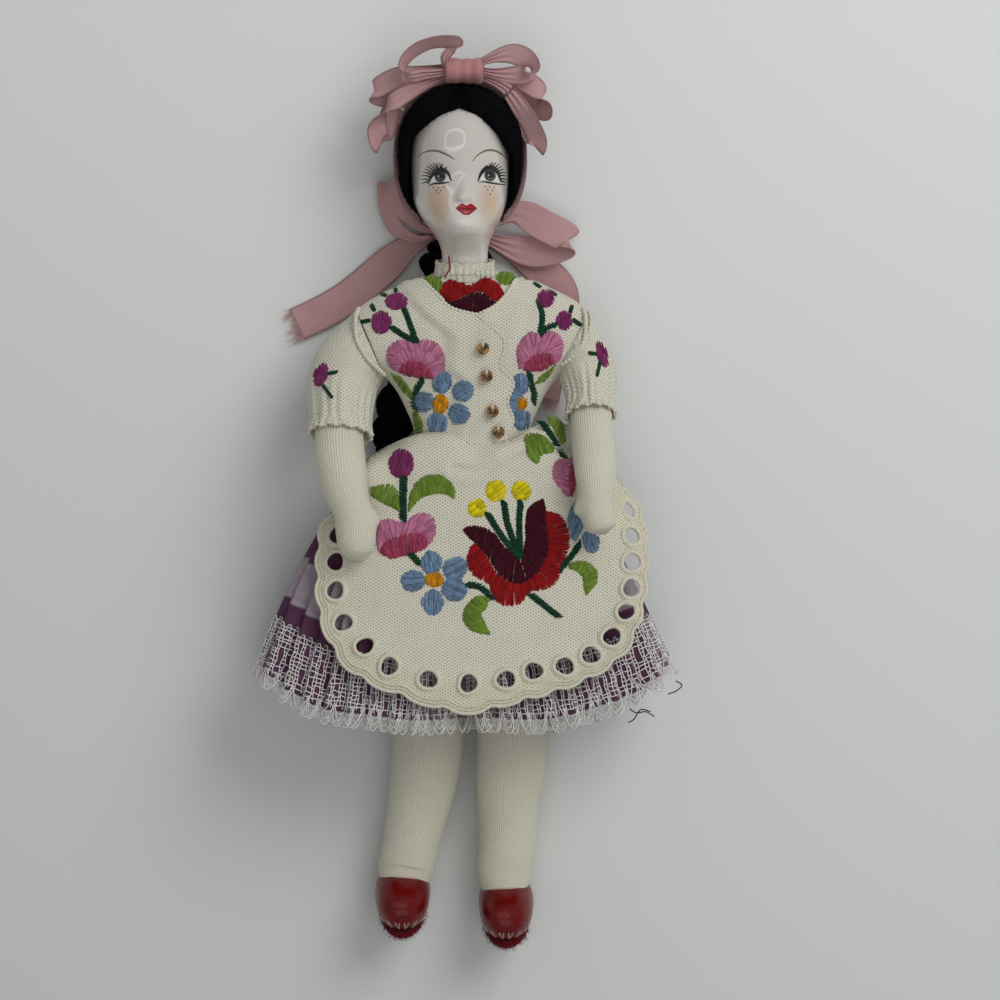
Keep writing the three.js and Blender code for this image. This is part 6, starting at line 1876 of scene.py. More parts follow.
def lace_bars(table, places, near, rng):
    """Bars across each pair and, with gaps, from pair to pair, and a small arch above them."""
    levels = np.linspace(LACE_TOP, LACE_FOOT, 13)
    k = np.linspace(0, 1, 4)
    paths, turns = [], []
    for place, after in zip(places, [*places[1:], places[0] + 1]):
        across = place + near + (after - place - 2 * near) * k
        shown = rng.uniform(0, 1, len(levels)) < 0.66
        if rng.uniform() < 0.45:
            start = rng.integers(1, 9)
            shown[start:start + 2] = False
        shown[[0, 1, -1]] = True
        for m, level in enumerate(levels):
            height = level + rng.uniform(-0.003, 0.003)
            paths.append(table_point(table, np.full(4, height), place - near + 2 * near * k, 0.44))
            turns.append(place)
            if shown[m]:
                lean = rng.uniform(-0.006, 0.006) * (0 < m < 12)
                paths.append(table_point(table, height + lean * k, across, 0.48))
                turns.append((place + after) / 2)
        paths.append(table_point(table, LACE_TOP - 0.017 * np.sin(np.pi * k), across, 0.5))
        turns.append((place + after) / 2)
    return paths, turns


def lace_loops(table, count, rng):
    """Loops that hang below the net, three in each other."""
    k = np.linspace(0, 1, 15)
    paths, turns = [], []
    for n in range(count):
        begin, wide = (n + rng.uniform(-0.15, 0.15)) / count, (1.15 + rng.uniform(-0.2, 0.2)) / count
        for reach, ease in ((1, 1.0), (0.72, 0.72), (0.4, 0.9)):
            depth = reach * (LACE_END - LACE_FOOT) + 0.006
            share = LACE_FOOT - 0.006 + depth * np.sin(np.pi * k) ** 0.6
            paths.append(table_point(table, share, begin + wide * (0.5 + ease * (k - 0.5)), 0.45))
            turns.append(begin + wide / 2)
    paths = np.array(paths)
    paths[..., 2] += 0.15 * rng.normal(0, 1, (len(paths), 1))
    return paths, turns


class FOLKDOLL_OT_skirt(bpy.types.Operator):
    """Pleated skirt in lavender and violet, with net lace at its hem"""
    bl_idname = "folkdoll.skirt"
    bl_label = "Skirt and lace"

    def execute(self, context):
        rng = np.random.default_rng(21)
        pleats = sizes().pleats
        table = skirt_table(pleats)
        keep = SKIRT_SHARES <= 1.0001
        P = above(table[keep][:, ::2].copy(), 1.0)
        uv = lattice_uv(P, True)
        uv[:, :-1, 1], shade = skirt_look(pleats, P.shape[1], SKIRT_SHARES[keep])
        uv[:, -1, 1] = uv[:, 0, 1]
        skirt = sheet_mesh("pleated_skirt", P, uv, wrap=True, thickness=0.3, tint=shade)
        finish(skirt, "root", skirt_material(), ["skirt"])

        lace = thread_material("lace thread", 0.7)

        def piece(name, paths, turns, radius, sides=3, floor=0.5, round_hem=True):
            paths = above(np.array(paths), floor)
            # Painted shade: lace threads are darker down in the pleats' crevices.
            shade = 0.22 + 0.78 * smooth(0.02, 0.4, pleat_rise(np.asarray(turns), pleats))
            tint = np.array(colour("lace")[:3])[None] * shade[:, None]
            up = paths - (0, 0, 15) if round_hem else (0, 0, 1)
            finish(tubes_mesh(name, paths, radius, up, sides, tint=tint), "root", lace)

        pairs = int(pleats * 5.4)
        places = (np.arange(pairs) + rng.uniform(-0.08, 0.08, pairs)) / pairs
        near = 0.17 / pairs
        piece("lace_uprights", *lace_uprights(table, places, near, rng), 0.145)
        piece("lace_bars", *lace_bars(table, places, near, rng), 0.13)
        piece("lace_loops", *lace_loops(table, int(pleats * 3.4), rng), 0.11, floor=0.3, round_hem=False)
        count = int(pleats * 1.5)
        k = np.linspace(0, 1, 15)
        share = 0.935 + 0.115 * np.abs(np.sin(np.pi * k))
        zigzag = [table_point(table, share, n / count + k / count, 0.62) for n in range(count)]
        piece("lace_zigzag", zigzag, np.full(count, 0.8 / pleats), 0.17, 4, 0.4, False)

        film = table[(SKIRT_SHARES > 0.78) & (SKIRT_SHARES < 1.04)][:, ::3]
        film = above(film + 0.25 * unit((film - (0, 0, 14)) * (1, 0, 1)), 0.6)
        net = sheet_mesh("lace_net", film, lattice_uv(film, True), wrap=True)
        finish(net, "root", net_material(), ["skirt_lace"])

        loose = tubes_mesh("loose_hem_threads", [chart_thread(places) for places in HEM_THREADS], 0.16, sides=5)
        finish(loose, "root", plain_thread("dark thread", (0.06, 0.04, 0.055, 1)))
        return {"FINISHED"}


# Apron

APRON_OUTLINE = [
    (-22.8, 7.6), (-12, 13.1), (-4.8, 13.8), (8.5, 11.9), (15.6, 15.2), (20.9, 16.5), (30.6, 8), (38.8, -3.2),
    (40.4, -11), (39.4, -25.8), (34.9, -36.2), (25.2, -42.3), (12.5, -46.2), (0, -49), (-15.7, -44.8),
    (-26.2, -39.5),
    (-32.2, -29.5), (-33.5, -18), (-32, -6)]
EYELETS = np.array([
    (-29.9, -9.7), (-30.4, -15.9), (-30.4, -22.5), (-28.5, -29.9), (-23.5, -35.2), (-17.9, -39.8), (-9, -42.8),
    (0.2, -43.7), (8.7, -42.8), (15, -40.9), (22.1, -39.8), (28.1, -37.3), (32.9, -33.1), (36.2, -27.4),
    (37.4, -22), (37.6, -16), (37.6, -10), (37.2, -4)]) * (0.992, 0.985) + (0.3, 0)
EYELET_HOLE, APRON_FALL_Y, APRON_FALL_X = 2.0, -15.0, 2.0


def apron_base(x, y):
    """The apron over the skirt: an oval of fullness 2.6 at each share of the skirt's length, lifted clear."""
    drop = SKIRT_TOP_Y - y
    half = skirt_section(np.maximum(drop / HEM_FRONT, 0))[0]
    middle = 1 - np.minimum(np.abs(x / half), 1) ** 4
    share = np.clip(drop / (HEM_SIDE + (HEM_FRONT - HEM_SIDE) * middle), 0, 1)
    half, front, back, centre = skirt_section(share)
    cz = (front + back) / 2
    lift = 1.4 + 1.5 * (0.15 + 0.85 * share) + 1.35 * smooth(0.68, 0.76, share) + 1.3 * np.exp(-share / 0.1)
    spread = np.where(x < centre, 6.0, 16.0)
    across = np.minimum(np.abs((x - centre) / (half + spread)), 0.97)
    z = cz + (front - cz + lift) * (1 - across**2.6) ** (1 / 2.6)
    beyond = np.maximum(x - half - 2.2, 0)
    return z - 0.075 * beyond**2


def apron_surface(x, y):
    """Upper face of the apron with its soft folds, deepest near the waist."""
    x, y = np.broadcast_arrays(np.asarray(x, float), np.asarray(y, float))
    near_top = smooth(-6, 10, y)
    folds = 0.16 * soft_folds(x, y, 31, 15.0) + 0.75 * near_top * soft_folds(x * 1.25, y * 0.45, 12, 9.0)
    sag = 0.5 * np.sin((x + 0.25 * y) * TAU / 13.0) * near_top * smooth(7, 17, np.abs(x))
    crease = evenly([(-3, 5.6), (2.8, 4.8), (9, 7.8), (14.5, 11.7), (16.8, 15)], 40)
    away = np.full(x.shape, 99.0)
    for px, py in crease:
        away = np.minimum(away, np.hypot(x - px, y - py))
    valley = -0.75 * bell(away, 0, 0.8) + 0.3 * bell(away, 2.0, 1.0)
    return apron_base(x, y) + folds + sag + valley - 0.25


def apron_points(flat, lift=0.0):
    """Places x, y put on the apron's upper face, lifted by some millimetres."""
    return np.concatenate([flat, (apron_surface(flat[..., 0], flat[..., 1]) + lift)[..., None]], axis=-1)


def apron_edge(count=1400):
    """The scalloped outline: it swings out round each eyelet and in between them."""
    path = evenly(APRON_OUTLINE, count, closed=True)
    tangent = unit(np.roll(path, -1, axis=0) - np.roll(path, 1, axis=0))
    out = np.stack([-tangent[:, 1], tangent[:, 0]], axis=1)
    along = np.arange(count)
    order = np.sort([np.argmin(((path - e) ** 2).sum(axis=1)) for e in EYELETS])
    swing = np.zeros(count)
    for k, place in enumerate(order):
        before = order[k - 1] if k else place - (order[1] - order[0])
        after = order[k + 1] if k + 1 < len(order) else place + (order[-1] - order[-2])
        side = np.where(along < place, (place - before) / 2, (after - place) / 2)
        u = np.abs(along - place) / np.maximum(side, 1)
        swing = np.where(u < 1, 1.75 * np.sqrt(np.clip(1 - u**2, 0, 1)), swing)
    swing = np.convolve(np.concatenate([swing[-15:], swing, swing[:15]]), np.ones(15) / 15, "same")[15:-15]
    return path + out * ((swing - 0.9) * smooth(4, -4, path[:, 1]))[:, None]


def eyelet_ring(centre, radius, count):
    """A circle lying on the apron, drawn narrower where the cloth slopes away."""
    step = 0.4
    x, y = centre
    slope = np.array([apron_surface(x + step, y) - apron_surface(x - step, y),
                      apron_surface(x, y + step) - apron_surface(x, y - step)]) / (2 * step)
    steep = float(np.linalg.norm(slope))
    way = slope / max(steep, 1e-6)
    t = turns_of(count)[:, None]
    cross = np.array([-way[1], way[0]])
    radius = radius * (1 + 0.045 * np.cos(2 * t + x) + 0.035 * np.cos(3 * t + 2 * y))
    return np.array(centre) + radius * (np.cos(t) * way / math.sqrt(1 + steep**2) + np.sin(t) * cross)


def apron_triangles(outline, rings):
    """Triangles over the apron's outline, open at the eyelets: returns the points in use and the faces."""
    gx, gy = np.meshgrid(np.arange(-38, 45, 0.8), np.arange(-53, 19, 0.7))
    gx = gx + 0.4 * (np.arange(len(gx)) % 2)[:, None]
    inside = np.stack([gx.ravel(), gy.ravel()], axis=1)
    clear = np.ones(len(inside), bool)
    for start in range(0, len(inside), 2000):
        some = inside[start:start + 2000]
        clear[start:start + 2000] = ((some[:, None] - outline[None]) ** 2).sum(axis=-1).min(axis=1) > 0.3
    for centre in EYELETS:
        clear &= ((inside - centre) ** 2).sum(axis=1) > (EYELET_HOLE + 0.1) ** 2
    edges, first = [], 0
    for loop in [outline] + rings:
        n = len(loop)
        edges += [(first + k, first + (k + 1) % n) for k in range(n)]
        first += n
    flat = np.concatenate([outline] + rings + [inside[clear]])
    found = mathutils.geometry.delaunay_2d_cdt([mathutils.Vector(p) for p in flat.tolist()], edges, [], 1, 1e-5)
    points = np.array([tuple(v) for v in found[0]])
    faces = np.array(found[2])
    middle = points[faces].mean(axis=1)
    hollow = np.zeros(len(faces), bool)
    for ring, centre in zip(rings, EYELETS):
        closest = ((middle[:, None] - ring[None]) ** 2).sum(axis=-1).argmin(axis=1)
        reach = np.linalg.norm(ring[closest] - centre, axis=1)
        hollow |= np.linalg.norm(middle - centre, axis=1) < reach * 0.97
    used, places = np.unique(faces[~hollow], return_inverse=True)
    return points[used], places.reshape(-1, 3)


class FOLKDOLL_OT_apron(bpy.types.Operator):
    """Apron with a scalloped, overcast edge and a row of eyelets"""
    bl_idname = "folkdoll.apron"
    bl_label = "Apron"

    def execute(self, context):
        wall = sizes().cloth / MM
        edge = apron_edge()
        outline = edge[::4]
        verts, faces = apron_triangles(outline, [eyelet_ring(e, EYELET_HOLE, 30) for e in EYELETS])
        rim = np.array([((outline - v) ** 2).sum(axis=1).min() for v in verts]) ** 0.5
        upper = smooth(-1, 3, verts[:, 1]) * (1 - 0.65 * (verts[:, 0] > 26))
        P = apron_points(verts, -wall / 2)
        P[:, 2] -= upper * 2.0 * (1 - smooth(0, 2.6, rim)) ** 1.5
        border = (1 - smooth(4.6, 6.2, rim)) * smooth(4, -2, verts[:, 1])
        tint = 1 - border[:, None] * np.array([0.02, 0.04, 0.11])
        a, b, c = (P[faces[:, k]] for k in range(3))
        crossed = np.cross(b - a, c - a)
        faces = np.where(crossed[:, 2:] > 0, faces, faces[:, ::-1])
        cos, sin = math.cos(math.radians(3)), math.sin(math.radians(3))
        uv = verts @ np.array([[cos, sin], [-sin, cos]])
        apron = put_mesh("embroidered_apron", P, faces.tolist(), uv[faces.ravel()], tint)
        add_wall(apron, wall)
        cloth = weave_material("apron cloth", (0.15, 0.135, 0.09, 1), 1.18, 0.363, 0.62, 0.07, 0.1, True)
        finish(apron, "root", cloth, ["apron"])
        span = evenly(APRON_OUTLINE, 400, closed=True)
        low, high = span.min(axis=0) - 0.6, span.max(axis=0) + 0.6
        across = joined(np.linspace(low[0], high[0], 200), APRON_FALL_Y)
        down = joined(APRON_FALL_X, np.linspace(low[1], high[1], 200))
        length_of(apron_points(across)) * MM
        length_of(apron_points(down)) * MM

        low = np.roll(edge, -int(np.argmax(edge[:, 1])), axis=0)
        low = low[low[:, 1] < 1.5]
        edge_cord("apron_edge", apron_points(low[::3], 0.02), 0.42, ripple=0.16, pitch=0.55)
        tangent = unit(np.gradient(low, axis=0))
        inward = np.stack([tangent[:, 1], -tangent[:, 0]], axis=1)
        for k, (away, thick) in enumerate(((0.8, 0.26), (1.5, 0.28)), 1):
            line = apron_points((low + away * inward)[::3], 0.06)
            edge_cord(f"apron_edge_line_{k}", line, thick, ripple=0.35, pitch=0.62, sides=6)
        for name, yarn, radius, lift, thick, ripple, turns, sides in (
                ("eyelet_rings", "eyelet yarn", 2.38, 0.1, 0.5, 0.12, 24, 8),
                ("eyelet_outer_rings", "eyelet outer yarn", 2.9, 0.04, 0.2, 0.4, 21, 6)):
            paths = [apron_points(eyelet_ring(centre, radius, 96), lift) for centre in EYELETS]
            swell = thick * (1 + ripple * np.cos(turns * turns_of(96)))
            rings = tubes_mesh(name, paths, swell[None], sides=sides, wrap=True)
            finish(rings, "root", plain_thread(yarn, colour("trim")))
        return {"FINISHED"}


BEADS = [(2.6, 32.9), (3.4, 26.6), (4.75, 18.6), (6.1, 13.85)]
BEAD_HALF_HEIGHT, BEAD_RING, BEAD_WALL = 0.85, 0.94, 0.52
NECK_THREAD = [(449, 257, 22.6), (449.6, 264, 23.6), (450, 270, 24.4), (447.5, 275, 24.9), (445, 279, 25.1)]


class FOLKDOLL_OT_beads(bpy.types.Operator):
    """Amber glass beads sewn on by loops of thread, and a loose red thread at the neck"""
    bl_idname = "folkdoll.beads"
    bl_label = "Beads"

    def execute(self, context):
        amber, tree, shader = new_material(
            "amber glass", 0.1, Metallic=0.35, Coat_Weight=1.0, Coat_Roughness=0.03)
        cloud = ramp(tree, noise(tree, object_place(tree), 900.0)["Fac"], 0.38, 0.62)
        dress(tree, shader, blend_colours(tree, cloud, (0.06, 0.022, 0.004, 1), (0.55, 0.27, 0.05, 1)))
        t, lap = turns_of(48)[None], turns_of(24)[:, None]
        radius = BEAD_RING + BEAD_WALL * np.cos(lap)
        shape = joined(radius * np.cos(t), radius * np.sin(t), BEAD_HALF_HEIGHT * np.sin(lap))
        yarn = []
        for k, (x, y) in enumerate(BEADS, 1):
            z = float(bodice_front(BODICE_X + x, y, LAP_OFFSET)) + 0.4 + BEAD_HALF_HEIGHT
            centre = np.array([BODICE_X + x, y, z])
            P = centre + shape
            bead = sheet_mesh(f"glass_bead_{k}", np.concatenate([P, P[:1]]), wrap=True)
            finish(bead, "root", amber, [f"bead_{k}"])
            for turn in (1.45, 1.75):
                a = np.linspace(-0.1, math.pi, 14)[:, None]
                way = np.array([math.cos(turn), math.sin(turn), 0])
                reach = 0.25 + 1.5 * (1 - np.cos(a)) / 2
                yarn.append(centre + reach * way + (np.sin(a) * 1.05 - 0.1) * np.array([0, 0, 1]))
        loops = tubes_mesh("bead_threads", yarn, 0.15, (0.3, 0.2, 1), 6)
        finish(loops, "root", plain_thread("bead thread", (0.72, 0.67, 0.52, 1)))

        thread = tubes_mesh("loose_red_thread", chart_thread(NECK_THREAD), 0.22, sides=6)
        finish(thread, "root", plain_thread("red thread", THREADS["red"] + (1,)))
        return {"FINISHED"}


# Embroidery

STRAND_STEP = 1.42
PETAL = (2.65 / SQUARE, 2.35 / SQUARE)


class Needle:
    """Collects the stitches of one surface, each a short thick thread that dives in at both ends."""

    def __init__(self, surface, seed):
        self.surface = surface
        self.rng = np.random.default_rng(seed)
        self.paths, self.tints, self.sizes = [], [], []

    def stitches(self, starts, ends, thread, lift=0.2, size=1.0, dome=0.0, longest=3.6, jitter=0.07):
        """Lays stitches from starts to ends; those above the longest length are made in two."""
        starts, ends = np.asarray(starts, float), np.asarray(ends, float)
        span = np.linalg.norm(ends - starts, axis=1)
        keep = span > 0.25
        starts, ends, span = starts[keep], ends[keep], span[keep]
        starts = starts + self.rng.normal(0, jitter, starts.shape)
        ends = ends + self.rng.normal(0, jitter, ends.shape)
        long = span > longest
        part = self.rng.uniform(0.38, 0.62, len(starts))[:, None]
        middle = starts + (ends - starts) * part
        way = unit(ends - starts) * 0.3
        begins = np.concatenate([starts[~long], starts[long], (middle - way)[long]])
        stops = np.concatenate([ends[~long], (middle + way)[long], ends[long]])
        u = np.linspace(0, 1, 8)
        flat = begins[:, None] + (stops - begins)[:, None] * u[None, :, None]
        z = self.surface(flat[..., 0], flat[..., 1])
        rise = np.sin(np.pi * u) ** 0.55
        high = lift + dome + self.rng.uniform(-0.05, 0.05, len(begins))
        z = z - 0.12 + (0.12 + high[:, None]) * rise[None]
        self.paths.append(np.concatenate([flat, z[..., None]], axis=-1))
        shade = self.rng.uniform(0.72, 1.25, (len(begins), 1))
        self.tints.append(np.array(THREADS[thread])[None] * shade)
        taper = (0.75 + 0.25 * np.sin(np.pi * u) ** 0.6)[None]
        self.sizes.append(size * taper * self.rng.uniform(0.9, 1.12, (len(begins), 1)))

    def between(self, upper, lower, thread, shift=0.0, pitch=0.3, dome=0.0, **options):
        """Fills the band between two chains of chart places with stitches from one to the other."""
        upper, lower = chart(*upper), chart(*lower)
        pitch = pitch * STRAND_STEP
        count = max(3, int(max(length_of(upper), length_of(lower)) / pitch))
        a, b = evenly(upper, count), evenly(lower, count)
        move = int(round(shift / pitch))
        if move > 0:
            a, b = a[:-move], b[move:]
        elif move < 0:
            a, b = a[-move:], b[:move]
        self.stitches(a, b, thread, dome=dome, **options)

    def oval(self, centre, half, thread, lean=90.0, dome=0.18, tilt=0.0):
        """Fills an oval with side by side stitches that run along lean degrees from x."""
        centre, half = chart(centre)[0], np.array(half) * SQUARE
        pitch = 0.29 * STRAND_STEP
        way = np.array([math.cos(math.radians(lean)), math.sin(math.radians(lean))])
        across = np.array([-way[1], way[0]])
        turn = math.radians(tilt)
        axes = np.array([[math.cos(turn), math.sin(turn)], [-math.sin(turn), math.cos(turn)]])
        t = turns_of(180)[:, None]
        rim = np.cos(t) * half[0] * axes[0] + np.sin(t) * half[1] * axes[1]
        off, on = rim @ across, rim @ way
        places = np.arange(off.min() + pitch / 2, off.max() - pitch / 4, pitch)
        starts, ends = [], []
        for place in places:
            near = np.abs(off - place) < 0.6 * pitch
            if (near & (on > 0)).any() and (near & (on < 0)).any():
                starts.append(centre + across * place + way * on[near & (on < 0)].mean())
                ends.append(centre + across * place + way * on[near & (on > 0)].mean())
        self.stitches(starts, ends, thread, dome=dome)

    def petal(self, heart, centre, half):
        """A blue oval petal whose stitches run out from the flower's heart."""
        way = chart(centre)[0] - chart(heart)[0]
        lean = math.degrees(math.atan2(way[1], way[0]))
        self.oval(centre, half, "blue", lean, dome=0.15, tilt=lean)

    def stem(self, places, width):
        """A dark green stem of slanting stitches over a line of chart places."""
        places = chart(*places)
        path = evenly(places, max(4, int(length_of(places) / (0.38 * STRAND_STEP))))
        way = unit(np.gradient(path, axis=0))
        side = np.stack([-way[:, 1], way[:, 0]], axis=1) * (width / 2 - 0.1)
        self.stitches(path - side - way * 0.75, path + side + way * 0.75, "dark_green", dome=0.1, jitter=0.04)

    def tick(self, places, width=0.85):
        """A short dark green bar of a few long stitches side by side."""
        a, b = chart(*places)
        side = np.array([-(b - a)[1], (b - a)[0]]) / max(np.linalg.norm(b - a), 1e-6)
        for k in np.linspace(-0.5, 0.5, max(3, int(round(width / 0.3)))):
            aside = side * k * (width - 0.35)
            self.stitches([a + aside], [b + aside], "dark_green", jitter=0.04)

    def make(self, name, body, material):
        """All stitches as one piece."""
        paths, tints, widths = (np.concatenate(part) for part in (self.paths, self.tints, self.sizes))
        radius = sizes().thread / MM / 2
        obj = tubes_mesh(name, paths, radius * widths, sides=5, flat=0.9, tint=tints)
        return finish(obj, body, material)


def jacket_height(right):
    """Height of the right or the left jacket front over x, y."""
    def height(x, y):
        from_middle = x - BODICE_X
        offset = right_front_offset(angle_over(from_middle, y), y) if right else 0.0
        return front_surface(angle_over(from_middle, y, offset), y, offset)[..., 2]

    return height


def sleeve_height(name):
    """Height of a sleeve over x, y: that of the nearest point on its upper side."""
    P, _ = sleeve_grid(name)
    top = P[(P - P.mean(axis=1, keepdims=True))[..., 2] > 0]

    def height(x, y):
        flat = np.stack([x, y], axis=-1).reshape(-1, 2)
        nearest = ((flat[:, None] - top[None, :, :2]) ** 2).sum(axis=-1).argmin(axis=1)
        return top[nearest, 2].reshape(np.shape(x))

    return height


def blouse_height(x, y):
    """Height of the blouse front over x, y."""
    return bodice_front(x, y, BLOUSE_OFFSET) + 1.1 * smooth(48.7, 50.3, y) - 0.05


def embroider_apron(needle):
    """Tulip with stamens, blue flowers, pink flowers, bud and leaves."""
    red_outer = [
   (470.6, 547.3), (466.9, 558.4), (469.7, 569.5), (478, 577.8), (487.3, 582.4), (491.9, 591.7), (498.4, 601.8),
   (509.5, 604.6), (520.6, 601.8), (528, 592.6), (537.2, 589.4), (546.5, 588), (555.7, 581.5), (560.3, 571.3),
   (564.9, 558.4), (568.6, 545.4), (568.6, 532.5), (564.9, 521.4), (557.5, 514), (546.5, 511.2)]
    red_inner = [
   (476, 543), (487, 556), (496, 571), (508, 579.5), (520.6, 581), (530, 575.5), (540.5, 564), (547, 550),
   (545.4, 532.5), (542.6, 514)]
    needle.between(red_outer, red_inner, "red", longest=4.2, pitch=0.31)
    needle.between(
        [(463.2, 528.8), (472.5, 525.6), (483.6, 526.9), (494.7, 533.4), (502, 543.6), (509.5, 551),
         (516.9, 555.6), (521.5, 560.2)],
        [(463.2, 528.8), (468.8, 536.2), (478, 545.4), (489.1, 558.4), (498.4, 573.2), (509.5, 581.5),
         (520.6, 583.3)], "maroon", dome=0.16, longest=3.0, pitch=0.3)
    needle.between(
        [(542.8, 498.8), (533.5, 502.9), (527, 510.3), (525.2, 523.2), (525.2, 538), (523.3, 551),
         (521.5, 560.2)],
        [(542.8, 498.8), (545.2, 508.4), (546.5, 521.4), (548.3, 536.2), (548.7, 551), (542.8, 565.8),
         (531.7, 577.8), (520.6, 583.3)], "maroon", dome=0.16, longest=3.0, pitch=0.3)
    seam = chart((519, 557), (521, 563), (523.5, 570), (526, 577))
    needle.stitches(seam[:-1], seam[1:], "pale", lift=0.55, size=0.4)
    for line in (((487.3, 513), (500, 533), (512, 549), (520, 558)),
                 ((504, 502), (507, 522), (513, 540), (519, 556)),
                 ((520.6, 501), (519, 520), (519.5, 540), (520.5, 556))):
        needle.stem(line, 1.6)
    for x, y, r in ((477.5, 508, 9.4), (496, 491.2, 10.6), (521, 490.9, 9.8)):
        needle.oval((x, y), (r, r), "yellow", 35, dome=0.2)
    for line, width in (
            (((530.7, 593.5), (544, 604), (557.5, 614.8)), 1.6),
            (((560.3, 567.6), (570, 556), (579.7, 543.6)), 1.6),
            (((466.9, 583.3), (479.9, 586.1), (492.8, 597.2)), 1.7),
            (((411.4, 552.8), (416, 558), (420.7, 563.9)), 1.7),
            (((404.6, 477), (404, 498), (404, 519.5)), 2.0),
            (((540.8, 422.7), (549, 432.9), (563.3, 457.3)), 1.6)):
        needle.stem(line, width)
    leaves = (
        (((568.6, 563), (576, 560.2), (587.1, 561.1), (595.5, 569.5), (596.4, 580.6), (590.8, 588),
          (585.3, 593.1)),
         ((568.6, 567.6), (576, 571.3), (581.6, 577.8), (582.5, 588), (585.3, 593.1))),
        (((489.1, 597.2), (479.9, 594.4), (470.6, 599), (464.2, 608.3), (463.2, 617.5), (468.8, 626.8),
          (479.9, 631.4), (490, 631.4)),
         ((489.1, 597.2), (487, 606), (481.5, 612.5), (485, 620.5), (490, 631.4))),
        (((372, 487), (380, 485.6), (389.2, 484), (396.6, 488), (399.4, 495.5), (400.3, 510)),
         ((372, 495), (380, 501), (389.2, 505.7), (400.3, 510.6))),
        (((409.6, 511.2), (410.5, 495.5), (417, 482.5), (428.1, 475.1), (439.2, 474.8), (449.4, 479.8),
          (455.5, 490.9), (454, 498.3)),
         ((409.6, 511.2), (417, 502.9), (426.2, 496.4), (439.2, 493.6), (448.4, 495.5), (454, 498.3))),
        (((526.1, 451.1), (525.5, 434.9), (534.7, 433.9), (544.9, 436.9), (554.1, 449.2)),
         ((531.7, 460.3), (537.2, 464), (540.9, 456.6), (552, 452.9), (554.1, 449.2))),
        (((547, 417.6), (555, 416.5), (563, 424.7), (565, 441)),
         ((547, 417.6), (551, 426), (555, 436), (561, 445), (565, 441))))
    for upper, lower in leaves:
        needle.between(upper, lower, "leaf", shift=0.7, dome=0.12, pitch=0.34)
    heart = (435.1, 578.3)
    for x, y, w, h in ((432.3, 562, 10.5, 11), (455.8, 567.6, 12, 11), (454.9, 588, 11.5, 12),
                       (434, 600.9, 12, 10.5),
                       (414.2, 579.6, 10.5, 11.5)):
        needle.petal(heart, (x, y), (max(w, h) * 1.08, min(w, h) * 1.02))
    needle.oval(heart, (9.5, 8), "orange", 80, dome=0.32)
    needle.oval((574.5, 521), (7.4, 20.4), "blue", 72, dome=0.12)
    needle.oval((589.9, 541.4), (8.5, 11.5), "blue", 105, dome=0.15, tilt=15)
    kidney_top = [(381, 552), (378, 541), (378, 530), (380, 521.4), (391, 518.6), (400.3, 521.4),
                  (407.7, 521.4),
                  (415.1, 514.9), (426.2, 512.7), (434.6, 518.6), (437, 528.8), (433.6, 539.9), (428, 546)]
    crescent_top = [(381, 552), (386, 542), (395, 537), (407.7, 533), (419.8, 532.5), (426, 536), (428, 543)]
    crescent_low = [(381, 552), (393, 557.8), (404, 555.6), (415.1, 552.8), (426.2, 548.2), (428, 543)]
    needle.between(kidney_top, crescent_top, "pink", dome=0.1, longest=4.4, pitch=0.3)
    needle.between(crescent_top, crescent_low, "deep_pink", dome=0.22, pitch=0.3)
    needle.oval((402.2, 464), (12.5, 15), "magenta", 78, dome=0.2)
    needle.between(
        [(572.3, 455.7), (566.8, 460.3), (559.4, 459.4), (552.9, 465), (552, 477), (557.5, 486.2),
         (564.9, 494.6)],
        [(572.3, 455.7), (573, 462), (573.5, 470), (574, 478), (573.5, 486), (572, 492), (568, 496.4)],
        "pink", dome=0.12, pitch=0.31)
    needle.between(
        [(567, 468), (566, 478), (567, 488), (570, 495)],
        [(574.5, 466), (576, 476), (575.5, 486), (572, 496)], "deep_pink", dome=0.25, pitch=0.31)


